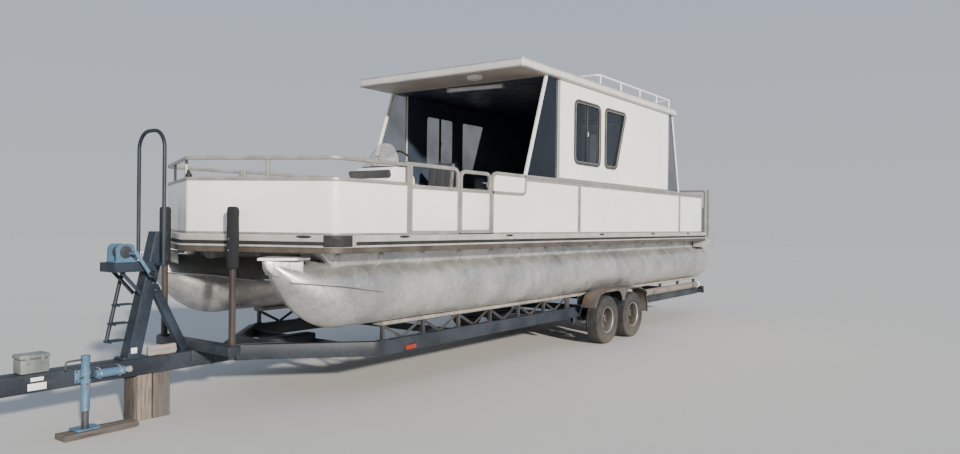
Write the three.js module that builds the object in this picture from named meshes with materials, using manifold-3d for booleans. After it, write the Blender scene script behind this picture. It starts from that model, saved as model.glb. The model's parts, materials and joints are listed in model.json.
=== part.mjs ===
// A pontoon houseboat parked on its tandem-axle trailer.
// Millimetres, +Z up, +X to the bow, +Y to port. The origin is on the ground under the middle of the outline.
// Stations are counted aft from the bow corners of the fence, and heights of the boat up from its deck.

import * as THREE from 'three';
import { mergeVertices } from 'three/addons/utils/BufferGeometryUtils.js';
import Module from 'manifold-3d';

const wasm = await Module();
wasm.setup();

// driving dimensions
const gap = 0.3; // between pieces that touch
const cornerX = 3891.75; // where the bow corners of the fence are along X
const deckZ = 1530; // top of the deck above the ground
const fenceHalf = 1245; // outer face of the fence from the centreline
const bowRise = 592; // how far the bow point is ahead of the corners
const bowCornerRadius = 150;
const deckEnd = 9050; // last station of the main deck

const rim = { out: 50, height: 154, strip: 55, channel: 35, lip: 14, wall: 60, recess: 12 };
const floorThick = 25;
const carpetPatch = { proud: 3, inset: 80, fore: 2290, aft: [7330, 8980], half: 1150 };
const crossmember = { width: 50, spacing: 600, first: 150, count: 15 };
const bowBeam = { from: -320, to: -270, half: 560 };
const keel = { from: -500, to: 200, half: 25, up: 10 };
const platform = { end: 9620, half: 1240, top: -80, thick: 30, under: 40 };
const platformBeam = { bottom: -265, from: 8950, to: 9600, inner: 1062, rearHalf: 1230, rearFrom: 9540 };
const pod = { from: 9300, in: 20, up: 40 };

const tube = { radius: 300, y: 890, height: -530, base: 330, stemTop: -423, rear: 9390, capLength: 85 };
const riser = { half: 150, from: 850, to: 9180, frontTop: 22, frontBottom: 160, frontEnd: 800 };
const nosePlate = { from: -533, to: -130, half: 190, top: -185, bottom: -195 };
// the spray strake of a float: stations, heights and how far out its edge is from the middle of the float
const strake = { thick: 10, width: 75,
  path: [[-300, -385, 170], [-180, -402, 236], [60, -425, 308], [330, -467, 330], [620, -515, 316]] };

const fence = { thick: 32, tube: 38, sill: 20, panelRail: 450, top: 680, stile: 40, doubledAt: 865, doubled: 100 };
// posts behind the two slanted faces of the bow, at shares of the half width from the bow point
const bowPost = { shares: [-0.62, -0.08, 0.535], behind: 10, thick: 24, half: 19 };
const sheet = { inset: 6, thick: 4, slack: 0.3, bottom: 10, end: 7, lap: 12 };
const gateAt = { from: 1697, to: 2267, play: 7, bottom: 9 };
const sideFence = { end: 8881, loopEnd: 2958, sillBottom: 606, posts: [4257, 7787], post: 78, sheetTop: 640 };
const rakedPost = { width: 45, front: [2958, 3402], rear: [7738, 7414] };
const sternFence = { station: 9172, thick: 32, top: 772, gateHalf: 300, outer: 1205, round: 60, play: 7, bottom: 9 };
// the corner posts stand just behind the stern fence and are held to it by short ties
const sternPost = { from: 9252, to: 9295, inner: 1203, tieHalf: 15, ties: [60, 690] };
const hinge = { radius: 6.5, length: 35, offset: 6, tab: 15, tabHalf: 3 }; // knuckles of the gates and the door

const cabin = { front: 3685, rear: 7254, thick: 40, top: 1903 };
const windowBand = [902, 1702];
const sliderWindow = { from: 4097, to: 4816, radius: 90 };
const rakedWindow = { from: 4965, top: 5624, bottom: 5324, radius: 75 };
const windowFrame = { face: 34, lip: 22, proud: 7, pane: 6, paneIn: 20, lap: 5, back: 4 };
const mullion = { half: 15, inner: 22, outer: 4, short: 20 };
const quarterGlass = { thick: 6, inset: 12 };
const doorway = { half: 300, bottom: 30, top: 1810, play: 7 };
const doorPane = { side: 110, bottom: 1000, top: 130, radius: 50, lap: 6, from: 24, to: 18 };
const doorHandle = { proud: 34, from: 75, to: 50, bottom: 930, top: 1040 };
const roofSlab = { from: 2795, to: 7490, half: 1285, thick: 102, corner: 30, edge: 90, proud: 3 };
const roofRail = { y: 1222, tube: 24, height: 150, posts: [4800, 5490, 6150, 6780, 7345] };

const helm = { y: -690, half: 330, from: 2350, to: 2880, top: 800, low: 0.3, cowl: 580, front: 130, rear: 110 };
const windshield = { foot: 210, middle: 150, half: 300, lean: 170, narrow: 0.2, height: 310, thick: 6 };
const column = { radius: 20, end: 235 };
const wheelRim = { station: 2985, height: 870, radius: 180, thick: 14, tilt: 25,
  hub: 40, hubRadius: 34, hubBack: 6, spoke: [24, 10] };
const seat = { station: 3560, half: 240, cushion: 470, thick: 110, depth: 230, foot: 150, footThick: 12, post: 38,
  back: [[170, 410], [250, 410], [320, 960], [240, 960]] };

const tilt = { station: 9890, z: 1380 };
const transom = { from: tilt.station - 140, to: tilt.station - 80, half: 230, bottom: 960, top: 1345 };
const clamp = { half: 95, ear: 25, bottom: 1010, thick: 40, down: 5 };
const swivel = { half: 70, radius: 24, armHalf: 60, armLow: -60, armTop: 10 };
const steerStation = tilt.station + 85;
const head = { base: 40, cowl: 95, height: 500, front: 85, rear: 330, half: 165, barrelLow: -330, barrel: 38 };
const gearcase = { radius: 50, nose: 90, front: 40 };
const propeller = { station: steerStation + 235, z: 640, radius: 150, hub: 90, shaft: 12, root: 30, pitch: 0.4 };
const plateZ = [802, 815]; // the flat plate over the propeller

const rail = { outer: 950, width: 65, bottom: 375, top: 515, bend: 820, end: 9530 };
const tongue = { half: 75, meet: -180, front: -2350, coupler: -2520 };
const bars = { height: 80, width: 50, stations: [820, 2300, 3900, 5485, 7000, 9400] };
const bolster = { half: 45, beyond: 60, top: rail.top + 79 }; // carries the bow stops
const tailBar = { width: 40, beyond: 130, bottom: 395, top: 465 };
const bunk = { y: 890, half: 70, from: 880, to: 9600, thick: 38 };
const truss = { from: 900, to: 4500, bays: 12, rearFrom: 4560, rearSpacing: 805, postHalf: [15, 20], webHalf: 9 };
const roadWheel = { stations: [5110, 5945], y: 1165, radius: 331.5, width: 205, rim: 178, segments: 24, bore: 20.5 };
const axle = { half: 35, tubeHalf: 1040, springHalf: 90,
  drum: 118, drumY: [1010, 1122], spindle: 20, spindleY: [1100, 1196] };
const fender = { from: 4650, to: 6395, inner: 1080, outer: 1295, wall: 4,
  skirt: 575, arch: 722, archHalf: 378, lip: 18 };
const bowStop = { y: { port: 505, starboard: 440 }, half: 45, padHalf: 48, post: 22, padBottom: 1230, top: 1763 };
const stand = { station: -1078, topStation: -845, top: 1545, half: 60 };
const shelf = { from: -1275, to: -930, half: 115, bottom: 1222, top: 1297 };
const roller = { station: -842, z: 1330, radius: 52, half: 70 };
const ladder = { port: 223, starboard: -151, tube: 16, top: 2392, station: -930, round: 150,
  leg: [[-1200, 635], [-1070, 1210]], treads: [650, 790, 940], tie: [1268, 1293] };
const jack = { station: -1500, y: 122, radius: 34, top: 610, foot: 62 };
const sidePipe = { y: 1015, z: 565, radius: 55, from: 6900, to: 9300 };

// places and plain solids

const at = (station) => cornerX - station;

function slab(s0, s1, y0, y1, z0, z1) {
  const box = new THREE.BoxGeometry(Math.abs(s1 - s0), Math.abs(y1 - y0), z1 - z0);
  return box.translate(at((s0 + s1) / 2), (y0 + y1) / 2, (z0 + z1) / 2);
}

function solid(geometry) {
  const plain = geometry.clone();
  plain.deleteAttribute('normal');
  plain.deleteAttribute('uv');
  const merged = mergeVertices(plain, 1e-3);
  const triVerts = new Uint32Array(merged.index.array);
  return new wasm.Manifold(new wasm.Mesh({ numProp: 3, vertProperties: merged.attributes.position.array, triVerts }));
}

function surface(manifold) {
  const mesh = manifold.getMesh();
  const geometry = new THREE.BufferGeometry();
  geometry.setAttribute('position', new THREE.BufferAttribute(mesh.vertProperties, 3));
  geometry.setIndex(new THREE.BufferAttribute(mesh.triVerts, 1));
  return geometry;
}

const fuse = (parts) => surface(parts.map(solid).reduce((a, b) => a.add(b)));
const cut = (body, tools) => surface(tools.map(solid).reduce((a, b) => a.subtract(b), solid(body)));

// outlines: corners of a polygon eased by a curve of the given radius
function eased(points, radius, steps = 4) {
  const out = [];
  points.forEach(([x, y], i) => {
    const r = Array.isArray(radius) ? radius[i] : radius;
    const corner = new THREE.Vector2(x, y);
    if (!r) {
      out.push(corner);
      return;
    }
    const before = new THREE.Vector2(...points.at(i - 1)).sub(corner).normalize();
    const after = new THREE.Vector2(...points[(i + 1) % points.length]).sub(corner).normalize();
    const reach = r / Math.tan(before.angleTo(after) / 2);
    const a = corner.clone().addScaledVector(before, reach);
    const b = corner.clone().addScaledVector(after, reach);
    out.push(...new THREE.QuadraticBezierCurve(a, corner, b).getPoints(steps));
  });
  return out;
}

function extrude(points, holes, depth) {
  const prism = (outline, from, length) => new THREE.ExtrudeGeometry(
    new THREE.Shape(outline), { depth: length, bevelEnabled: false }).translate(0, 0, from);
  const body = prism(points, 0, depth);
  return holes.length ? cut(body, holes.map((hole) => prism(hole, -1, depth + 2))) : body;
}

// a plate seen from the side: points are [station, height above the deck]
function sidePlate(points, y0, y1, holes = []) {
  const place = (list) => list.map((p) => new THREE.Vector2(at(p.x ?? p[0]), deckZ + (p.y ?? p[1])));
  const body = extrude(place(points), holes.map(place), Math.abs(y1 - y0));
  return body.rotateX(Math.PI / 2).translate(0, Math.max(y0, y1), 0);
}

// a plate seen from above: points are [station, y]
function planPlate(points, z0, z1, holes = []) {
  const place = (list) => list.map((p) => new THREE.Vector2(at(p.x ?? p[0]), p.y ?? p[1]));
  return extrude(place(points), holes.map(place), z1 - z0).translate(0, 0, z0);
}

// a plate seen from ahead: points are [y, height above the deck]
function crossPlate(points, s0, s1, holes = []) {
  const place = (list) => list.map((p) => new THREE.Vector2(p.x ?? p[0], deckZ + (p.y ?? p[1])));
  const turn = new THREE.Matrix4().makeBasis(
    new THREE.Vector3(0, 1, 0), new THREE.Vector3(0, 0, 1), new THREE.Vector3(1, 0, 0));
  return extrude(place(points), holes.map(place), s1 - s0).applyMatrix4(turn).translate(at(s1), 0, 0);
}

const rectangle = (a0, b0, a1, b1) => [[a0, b0], [a1, b0], [a1, b1], [a0, b1]];

// a round bar between two points given as [station, y, z]
function roundBar(from, to, radius, sides = 10) {
  const a = new THREE.Vector3(at(from[0]), from[1], from[2]);
  const b = new THREE.Vector3(at(to[0]), to[1], to[2]);
  const turn = new THREE.Quaternion().setFromUnitVectors(
    new THREE.Vector3(0, 1, 0), b.clone().sub(a).normalize());
  const bar = new THREE.CylinderGeometry(radius, radius, a.distanceTo(b), sides);
  return bar.applyQuaternion(turn).translate(...a.add(b).multiplyScalar(0.5).toArray());
}

// a route through given points, each of them kept as a section of the tube along it
class Route extends THREE.Curve {
  constructor(points) {
    super();
    this.points = points;
  }

  getPoint(t) {
    return this.points[Math.round(t * (this.points.length - 1))].clone();
  }

  getSpacedPoints() {
    return this.points;
  }

  getTangentAt(t) {
    const i = Math.round(t * (this.points.length - 1));
    const here = this.points[i];
    const ahead = (this.points[i + 1] ?? here).clone().sub(here).normalize();
    const behind = here.clone().sub(this.points[i - 1] ?? here).normalize();
    return ahead.add(behind).normalize();
  }
}

function tubeAlong(points, radius, sides = 8) {
  const ring = new THREE.Shape(Array.from({ length: sides }, (_, i) => new THREE.Vector2(
    radius * Math.cos((2 * Math.PI * i) / sides), radius * Math.sin((2 * Math.PI * i) / sides))));
  const route = new Route(points.map(([s, y, z]) => new THREE.Vector3(at(s), y, z)));
  return new THREE.ExtrudeGeometry(ring, { steps: points.length - 1, extrudePath: route, bevelEnabled: false });
}

// a body through rings of points, closed by a fan at each end
function loft(rings) {
  const count = rings[0].length;
  const centre = (ring) => ring.reduce((sum, p) => sum.add(p), new THREE.Vector3()).divideScalar(count);
  const points = rings.flat().concat(centre(rings[0]), centre(rings.at(-1)));
  const faces = [];
  for (let i = 0; i < count; i += 1) {
    const next = (i + 1) % count;
    const last = (rings.length - 1) * count;
    faces.push(points.length - 2, i, next, points.length - 1, last + next, last + i);
    for (let ring = 0; ring < last; ring += count) {
      faces.push(ring + i, ring + count + next, ring + next, ring + i, ring + count + i, ring + count + next);
    }
  }
  const geometry = new THREE.BufferGeometry();
  geometry.setAttribute('position', new THREE.Float32BufferAttribute(points.flatMap((p) => p.toArray()), 3));
  geometry.setIndex(faces);
  return geometry;
}

// finishes
const finish = (color, roughness, metalness) => ({ color, roughness, metalness });
const weatheredAluminium = finish(0xb9bcbd, 0.5, 0.75);
const railAluminium = finish(0x9fa2a3, 0.45, 0.7);
const whitePanel = finish(0xf2efe9, 0.45, 0);
const carpet = finish(0x5d6468, 0.95, 0);
const tintedGlass = finish(0x1c2a36, 0.08, 0);
const clearPlastic = finish(0xcfd4d2, 0.1, 0);
const blackRubber = finish(0x1b1b1c, 0.9, 0);
const blackPaint = finish(0x1c2228, 0.5, 0.2);
const greyPaint = finish(0x43494e, 0.55, 0.3);
const galvanized = finish(0x8b9296, 0.5, 0.6);
const steelRim = finish(0x6d6c69, 0.5, 0.5);
const wornFender = finish(0x4a4038, 0.7, 0.3);
const bluePaint = finish(0x5d7f93, 0.5, 0.3);
const timber = finish(0x5a5048, 0.9, 0);
const darkVinyl = finish(0x2b2d30, 0.7, 0);
const engineShell = finish(0x24272b, 0.35, 0.1);
const palePipe = finish(0xb7b3a8, 0.6, 0);

const boat = new THREE.Group();

function add(name, geometry, look) {
  const mesh = new THREE.Mesh(geometry, new THREE.MeshStandardMaterial(look));
  mesh.name = name;
  boat.add(mesh);
  return mesh;
}

const sides = [['port', 1], ['starboard', -1]];

// the bow stops stand against the rim of the deck
const rimSlant = Math.hypot(bowRise, fenceHalf) / fenceHalf;
function stopStation(name) {
  const rimThere = -bowRise - rim.out * rimSlant + (bowRise / fenceHalf) * (bowStop.y[name] - bowStop.padHalf);
  return rimThere - bowStop.half - gap;
}

// floats

function noseRings(y) {
  const rings = [];
  const sections = 9;
  for (let i = sections; i >= 0; i -= 1) {
    // k runs from 0 where the nose joins the round tube to 1 at the stem
    const k = Math.sin((Math.PI / 2) * (i / sections));
    const bottom = -tube.radius + 626 * (1 - (1 - k * k) ** 0.68);
    const top = tube.radius + 24 * k * k;
    const half = tube.radius * (1 - k ** 2.2) ** 0.8 + 7 * k;
    rings.push(floatRing(tube.base + (tube.stemTop - tube.base) * k, y, half, bottom, top));
  }
  return rings;
}

// a section of the float: an oval with its own bottom, top and half width
function floatRing(station, y, half, bottom, top) {
  const count = 24;
  return Array.from({ length: count }, (_, i) => {
    const angle = (2 * Math.PI * i) / count;
    const rise = (top + bottom) / 2 + ((top - bottom) / 2) * Math.sin(angle);
    return new THREE.Vector3(at(station), y + half * Math.cos(angle), deckZ + tube.height + rise);
  });
}

function pontoon(y) {
  const { radius } = tube;
  const full = (station, share) => floatRing(station, y, radius * share, -radius * share, radius * share);
  const cap = [[0, 1], [0.4, 0.96], [0.75, 0.84], [1, 0.55]].map(([part, share]) => full(
    tube.rear + tube.capLength * part, share));
  const hull = loft([...noseRings(y), ...cap]);
  const inTube = tube.height + Math.sqrt(tube.radius ** 2 - riser.half ** 2) - 12;
  const front = sidePlate([[riser.frontTop, -rim.height - gap], [riser.frontBottom, inTube],
    [riser.frontEnd, inTube], [riser.frontEnd, -rim.height - gap]], y - riser.half, y + riser.half);
  const long = slab(riser.from, riser.to, y - riser.half, y + riser.half, deckZ + inTube, deckZ - rim.height - gap);
  const shoulder = nosePlate.from + 270;
  const plate = planPlate(eased([[nosePlate.from, y], [shoulder, y + nosePlate.half], [nosePlate.to, y + nosePlate.half],
    [nosePlate.to, y - nosePlate.half], [shoulder, y - nosePlate.half]], [14, 60, 12, 12, 60]),
    deckZ + nosePlate.bottom, deckZ + nosePlate.top);
  const web = slab(-400, nosePlate.to, y - 22, y + 22, deckZ + nosePlate.bottom - 85, deckZ + nosePlate.bottom + 1);
  const fins = [1, -1].map((out) => strakeFin(y, out));
  return fuse([hull, front, long, plate, web, ...fins]);
}

// a spray fin that runs back and down along the shoulder of the float
function strakeFin(y, out) {
  const rings = strake.path.map(([station, height, reach]) => {
    const inner = reach - strake.width;
    return [[inner, 0], [reach, 0], [reach, strake.thick], [inner, strake.thick]].map(([dy, dz]) => new THREE.Vector3(
      at(station), y + out * dy, deckZ + height + dz));
  });
  return loft(out > 0 ? rings : rings.map((list) => list.toReversed()));
}

for (const [name, side] of sides) {
  add(`pontoon_${name}`, pontoon(side * tube.y), weatheredAluminium);
}

// deck

// the outline of the deck drawn in by an inset, as [station, y] from the port side round the bow
function deckLine(inset, end, radius = bowCornerRadius) {
  const tip = -bowRise + inset * rimSlant;
  const corner = inset * (rimSlant - bowRise / fenceHalf);
  const half = fenceHalf - inset;
  const round = radius - inset;
  return eased([[end, half], [corner, half], [tip, 0], [corner, -half], [end, -half]],
    [0, round, Math.max(round - 90, 10), round, 0], 5);
}

function ringPlate(outer, inner, end, z0, z1) {
  return planPlate(deckLine(outer, end), z0, z1, [deckLine(inner, end - (inner - outer)).reverse()]);
}

function deckFrame() {
  const inner = -rim.out + rim.wall;
  const channelTop = deckZ - rim.strip;
  const channelBottom = channelTop - rim.channel;
  const lipBottom = channelBottom - rim.lip;
  const ends = inner - 8;
  const beams = Array.from({ length: crossmember.count }, (_, i) => {
    const station = crossmember.first + i * crossmember.spacing;
    return slab(station - crossmember.width / 2, station + crossmember.width / 2, -fenceHalf + ends, fenceHalf - ends,
      deckZ - rim.height, deckZ - floorThick - gap);
  });
  const under = deckZ - floorThick - gap;
  const nose = slab(bowBeam.from, bowBeam.to, -bowBeam.half, bowBeam.half, deckZ - rim.height, under);
  const spine = slab(keel.from, keel.to, -keel.half, keel.half, deckZ - rim.height + keel.up, under);
  const plate = slab(deckEnd - platform.under, platform.end, -platform.half, platform.half,
    deckZ + platform.top - platform.thick, deckZ + platform.top);
  const beamTop = deckZ - rim.height + 4;
  const { bottom, from, to, inner: beamInner, rearHalf, rearFrom } = platformBeam;
  const sideBeams = sides.map(([, side]) => slab(from, to, side * beamInner, side * platform.half,
    deckZ + bottom, beamTop));
  const rearBeam = slab(rearFrom, to, -rearHalf, rearHalf, deckZ + bottom, beamTop);
  const box = slab(pod.from, transom.from + 10, pod.in - transom.half, transom.half - pod.in, transom.bottom + pod.up,
    deckZ + bottom + pod.up);
  const board = slab(transom.from, transom.to, -transom.half, transom.half, transom.bottom, transom.top);
  return fuse([
    ringPlate(-rim.out, inner, deckEnd, channelTop, deckZ),
    ringPlate(-rim.out + rim.recess, inner, deckEnd, channelBottom - 1, channelTop + 1),
    ringPlate(-rim.out, inner, deckEnd, lipBottom, channelBottom),
    ringPlate(-rim.out + rim.recess, inner, deckEnd, deckZ - rim.height, lipBottom + 1),
    ...beams, nose, spine, plate, ...sideBeams, rearBeam, box, board]);
}

add('deck_frame', deckFrame(), weatheredAluminium);
const floorInset = -rim.out + rim.wall;
// the floor with a carpet laid on the fore deck and one on the after deck
const { proud, inset, fore, aft, half: carpetHalf } = carpetPatch;
add('deck_floor', fuse([planPlate(deckLine(floorInset + gap, deckEnd - rim.wall - gap), deckZ - floorThick, deckZ),
  planPlate(deckLine(inset, fore), deckZ - 1, deckZ + proud),
  slab(...aft, -carpetHalf, carpetHalf, deckZ - 1, deckZ + proud)]), carpet);

// fences

const slot = (points, low, high) => planPlate(points, deckZ + low, deckZ + high);

// knuckles on a pin at [station, y], each held by a tab that runs [along, across] to its leaf or post
function knuckles([station, y], [along, across], heights) {
  const half = hinge.tabHalf;
  return heights.flatMap((height) => {
    const low = deckZ + height;
    const tab = slab(station - (along ? 0 : half), station + (along ? along * hinge.tab : hinge.offset + 1),
      y - (across ? 0 : half), y + (across ? across * hinge.tab : hinge.offset + 1), low, low + hinge.length);
    return [roundBar([station, y, low], [station, y, low + hinge.length], hinge.radius, 10), tab];
  });
}

// heights of the knuckles on the leaf, and of those on the post just above them
const lowered = (heights) => heights.map((height) => height + hinge.length + gap);
const gateKnuckles = [60, 490];
const doorKnuckles = [200, 860, 1500];
const gatePin = [gateAt.from + gateAt.play / 2, fenceHalf - fence.thick - hinge.offset];
const sternPin = [sternFence.station - hinge.offset, sternFence.gateHalf - sternFence.play / 2];
const doorPin = [cabin.rear + hinge.offset, doorway.play / 2 - doorway.half];

// a strip round the bow between two insets, open at the given end station
function bowStrip(inset, width, end, low, high) {
  return slot([...deckLine(inset, end), ...deckLine(inset + width, end).reverse()], low, high);
}

function sheetSolid(grow) {
  return bowStrip(sheet.inset - grow, sheet.thick + 2 * grow, gateAt.from - sheet.end + grow,
    sheet.bottom - grow, fence.panelRail + grow);
}

// one side of the bow fence: half of each rail round the bow, its posts and the straight frame up to the gate
function bowFence(side) {
  const { thick, sill, panelRail, top, stile, doubledAt, doubled } = fence;
  const half = fence.tube / 2;
  const bends = [[gap, sill], [panelRail - half, panelRail + half], [top - fence.tube, top]].map(
    ([low, high]) => bowStrip(0, thick, doubledAt + doubled / 2, low, high));
  const inside = [doubledAt + doubled, gateAt.from - stile];
  const windows = [rectangle(inside[0], sill, inside[1], panelRail - half),
    eased(rectangle(inside[0], panelRail + half, inside[1], top - fence.tube), [0, 0, 55, 0])];
  const outline = eased(rectangle(doubledAt, gap, gateAt.from, top), [0, 0, 85, 0]);
  const straight = sidePlate(outline, side * fenceHalf, side * (fenceHalf - thick), windows);
  const posts = bowPost.shares.filter((share) => share * side > 0).map((share) => {
    const y = share * fenceHalf;
    const station = bowPost.behind - bowRise * (1 - Math.abs(share));
    return slab(station, station + bowPost.thick, y - bowPost.half, y + bowPost.half, deckZ + gap, deckZ + top - 2);
  });
  const otherSide = slab(-2 * bowRise, doubledAt + doubled, (side * gap) / 2, -2 * side * fenceHalf,
    deckZ - 1, deckZ + top + 1);
  const hinges = side > 0 ? knuckles(gatePin, [-1, 0], lowered(gateKnuckles)) : [];
  return fuse([cut(fuse([...bends, straight, ...posts]), [otherSide, sheetSolid(sheet.slack)]), ...hinges]);
}

for (const [name, side] of sides) {
  add(`fence_bow_${name}`, bowFence(side), railAluminium);
}
add('panel_bow', sheetSolid(0), whitePanel);

// where a raked post stands at a height above the deck
function rakeAt([low, high], height) {
  return low + ((high - low) * (height - fence.top)) / (cabin.top - fence.top);
}

function rakedPostPlate(ends, side) {
  const half = rakedPost.width / 2;
  const low = fence.top - 30;
  const high = cabin.top - gap;
  return sidePlate([[rakeAt(ends, low) - half, low], [rakeAt(ends, low) + half, low],
    [rakeAt(ends, high) + half, high], [rakeAt(ends, high) - half, high]],
  side * fenceHalf, side * (fenceHalf - fence.thick));
}

const sideStart = { port: gateAt.to, starboard: gateAt.from + gap };

function sideSheet(name, side, grow) {
  const outer = side * (fenceHalf - sheet.inset + grow);
  const inner = side * (fenceHalf - sheet.inset - sheet.thick - grow);
  return slab(sideStart[name] + 18 - grow, sideFence.end - 31 + grow, outer, inner,
    deckZ + sheet.bottom - grow, deckZ + sideFence.sheetTop + grow);
}

function sideFenceFrame(name, side) {
  const start = sideStart[name];
  const half = fence.tube / 2;
  const [first, second] = sideFence.posts;
  const post = sideFence.post / 2;
  const { loopEnd, sillBottom } = sideFence;
  const inside = start + fence.stile;
  const rear = sideFence.end - fence.stile;
  const holes = [
    eased([[inside, fence.sill], [first - post, fence.sill], [first - post, sillBottom], [loopEnd + 12, sillBottom],
      [loopEnd + 12, fence.panelRail + 30], [loopEnd - 40, fence.panelRail - half], [inside, fence.panelRail - half]],
    [0, 0, 0, 0, 25, 60, 0]),
    rectangle(first + post, fence.sill, second - post, sillBottom),
    rectangle(second + post, fence.sill, rear, sillBottom + 30),
    eased(rectangle(inside, fence.panelRail + half, loopEnd - 20, fence.top - fence.tube), [0, 45, 45, 0])];
  const plate = sidePlate(eased(rectangle(start, gap, sideFence.end, fence.top), [0, 0, 85, 55]),
    side * fenceHalf, side * (fenceHalf - fence.thick), holes);
  const whole = fuse([plate, rakedPostPlate(rakedPost.front, side), rakedPostPlate(rakedPost.rear, side)]);
  return cut(whole, [sideSheet(name, side, sheet.slack)]);
}

for (const [name, side] of sides) {
  add(`fence_${name}`, sideFenceFrame(name, side), railAluminium);
  add(`panel_${name}`, sideSheet(name, side, 0), whitePanel);
}

// a framed gate leaf or fence section: a ring of tube with its thin panel and an open slot on top
function leafPlate(make, a0, a1, low, panelTop, top, radius) {
  const t = fence.tube;
  const outline = eased(rectangle(a0, low, a1, top), [0, 0, radius, radius]);
  const open = eased(rectangle(a0 + t, panelTop + t / 2, a1 - t, top - t), [0, 0, radius * 0.6, radius * 0.6]);
  const below = rectangle(a0 + t, low + t, a1 - t, panelTop - t / 2);
  return make(outline, [open, below]);
}

function gatePort() {
  const { from, to, play, bottom } = gateAt;
  const inner = fenceHalf - fence.thick;
  const frame = leafPlate((outline, holes) => sidePlate(outline, fenceHalf, inner, holes),
    from + play, to - play, bottom, fence.panelRail, fence.top - 18, 75);
  const leaf = slab(from + play + sheet.lap, to - play - sheet.lap, fenceHalf - sheet.inset,
    fenceHalf - sheet.inset - sheet.thick, deckZ + bottom + sheet.lap, deckZ + fence.panelRail);
  return fuse([frame, leaf, ...knuckles(gatePin, [1, 0], gateKnuckles)]);
}

add('gate_port', gatePort(), railAluminium);

// stern fence: a section each side of the gate, and corner posts that rise from the platform
function sternSection(side) {
  const s0 = sternFence.station;
  const s1 = s0 + sternFence.thick;
  const a = sternFence.gateHalf;
  const b = sternFence.outer;
  const low = platform.top + gap;
  const frame = leafPlate((outline, holes) => crossPlate(outline, s0, s1, holes),
    Math.min(side * a, side * b), Math.max(side * a, side * b), low, fence.panelRail, sternFence.top, sternFence.round);
  const leaf = slab(s1 - sheet.inset - sheet.thick, s1 - sheet.inset, side * (a + sheet.lap), side * (b - sheet.lap),
    deckZ + low + sheet.lap, deckZ + fence.panelRail);
  const { from, to, inner, tieHalf, ties } = sternPost;
  const post = slab(from, to, side * inner, side * fenceHalf, deckZ + low, deckZ + sternFence.top);
  const held = ties.map((height) => slab(s1 - 10, from + 5, side * (b - 25), side * (b + 12),
    deckZ + height - tieHalf, deckZ + height + tieHalf));
  const hinges = side > 0 ? knuckles(sternPin, [0, 1], lowered(gateKnuckles)) : [];
  return fuse([frame, leaf, post, ...held, ...hinges]);
}

function sternGate() {
  const { station, thick, gateHalf, top, play, bottom: low } = sternFence;
  const a = gateHalf - play;
  const frame = leafPlate((outline, holes) => crossPlate(outline, station, station + thick, holes),
    -a, a, low, fence.panelRail, top - 20, sternFence.round);
  const back = station + thick - sheet.inset;
  const leaf = slab(back - sheet.thick, back, sheet.lap - a, a - sheet.lap,
    deckZ + low + sheet.lap, deckZ + fence.panelRail);
  return fuse([frame, leaf, ...knuckles(sternPin, [0, -1], gateKnuckles)]);
}

for (const [name, side] of sides) {
  add(`fence_stern_${name}`, sternSection(side), railAluminium);
}
add('gate_stern', sternGate(), railAluminium);

// cabin

const sliderHole = eased([[sliderWindow.from, windowBand[0]], [sliderWindow.to, windowBand[0]],
  [sliderWindow.to, windowBand[1]], [sliderWindow.from, windowBand[1]]], sliderWindow.radius);
const rakedHole = eased([[rakedWindow.from, windowBand[0]], [rakedWindow.bottom, windowBand[0]],
  [rakedWindow.top, windowBand[1]], [rakedWindow.from, windowBand[1]]], rakedWindow.radius);

// an outline moved in (or out, below zero) by a distance, its points taken along their mean normals
function drawnIn(points, distance) {
  return points.map((p, i) => {
    const before = points.at(i - 1);
    const after = points[(i + 1) % points.length];
    const normal = (a, b) => new THREE.Vector2(a.y - b.y, b.x - a.x).normalize();
    const first = normal(before, p);
    const mean = first.clone().add(normal(p, after)).normalize();
    return p.clone().addScaledVector(mean, distance / Math.max(mean.dot(first), 0.5));
  });
}

function cabinWall(side) {
  const outline = rectangle(cabin.front, fence.top + gap, cabin.rear, cabin.top - gap);
  return sidePlate(outline, side * fenceHalf, side * (fenceHalf - cabin.thick), [sliderHole, rakedHole]);
}

function windowUnit(hole, side, split) {
  const { face, lip, proud, pane, paneIn, lap, back } = windowFrame;
  const inside = side * (fenceHalf - cabin.thick + back);
  const out = side * (fenceHalf + gap);
  const inner = drawnIn(hole, face);
  const ring = sidePlate(drawnIn(hole, gap), inside, side * (fenceHalf + gap + 2), [inner]);
  const flange = sidePlate(drawnIn(hole, -lip), out, side * (fenceHalf + gap + proud), [inner]);
  const glass = sidePlate(drawnIn(hole, face - lap), side * (fenceHalf - paneIn), side * (fenceHalf - paneIn + pane));
  const parts = [ring, flange, glass];
  if (split) {
    const middle = (sliderWindow.from + sliderWindow.to) / 2;
    const { half, inner: from, outer: to, short } = mullion;
    parts.push(slab(middle - half, middle + half, side * (fenceHalf - from), side * (fenceHalf - to),
      deckZ + windowBand[0] + short, deckZ + windowBand[1] - short));
  }
  return fuse(parts);
}

// the tinted pane between a raked post and the end of the cabin wall
function quarterPane(ends, wallStation, side) {
  const towards = Math.sign(wallStation - ends[1]);
  const low = fence.top + gap;
  const high = cabin.top - gap;
  const edge = (height) => rakeAt(ends, height) + towards * (rakedPost.width / 2 + 2 * gap);
  const points = [[edge(low), low], [edge(high), high], [wallStation - towards * gap, high],
    [wallStation - towards * gap, low]];
  const outer = side * (fenceHalf - quarterGlass.inset);
  return sidePlate(points, outer, outer - side * quarterGlass.thick);
}

for (const [name, side] of sides) {
  add(`cabin_wall_${name}`, cabinWall(side), whitePanel);
  add(`window_slider_${name}`, windowUnit(sliderHole, side, true), tintedGlass);
  add(`window_raked_${name}`, windowUnit(rakedHole, side, false), tintedGlass);
  add(`quarter_glass_front_${name}`, quarterPane(rakedPost.front, cabin.front, side), tintedGlass);
  add(`quarter_glass_rear_${name}`, quarterPane(rakedPost.rear, cabin.rear, side), tintedGlass);
}

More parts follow.
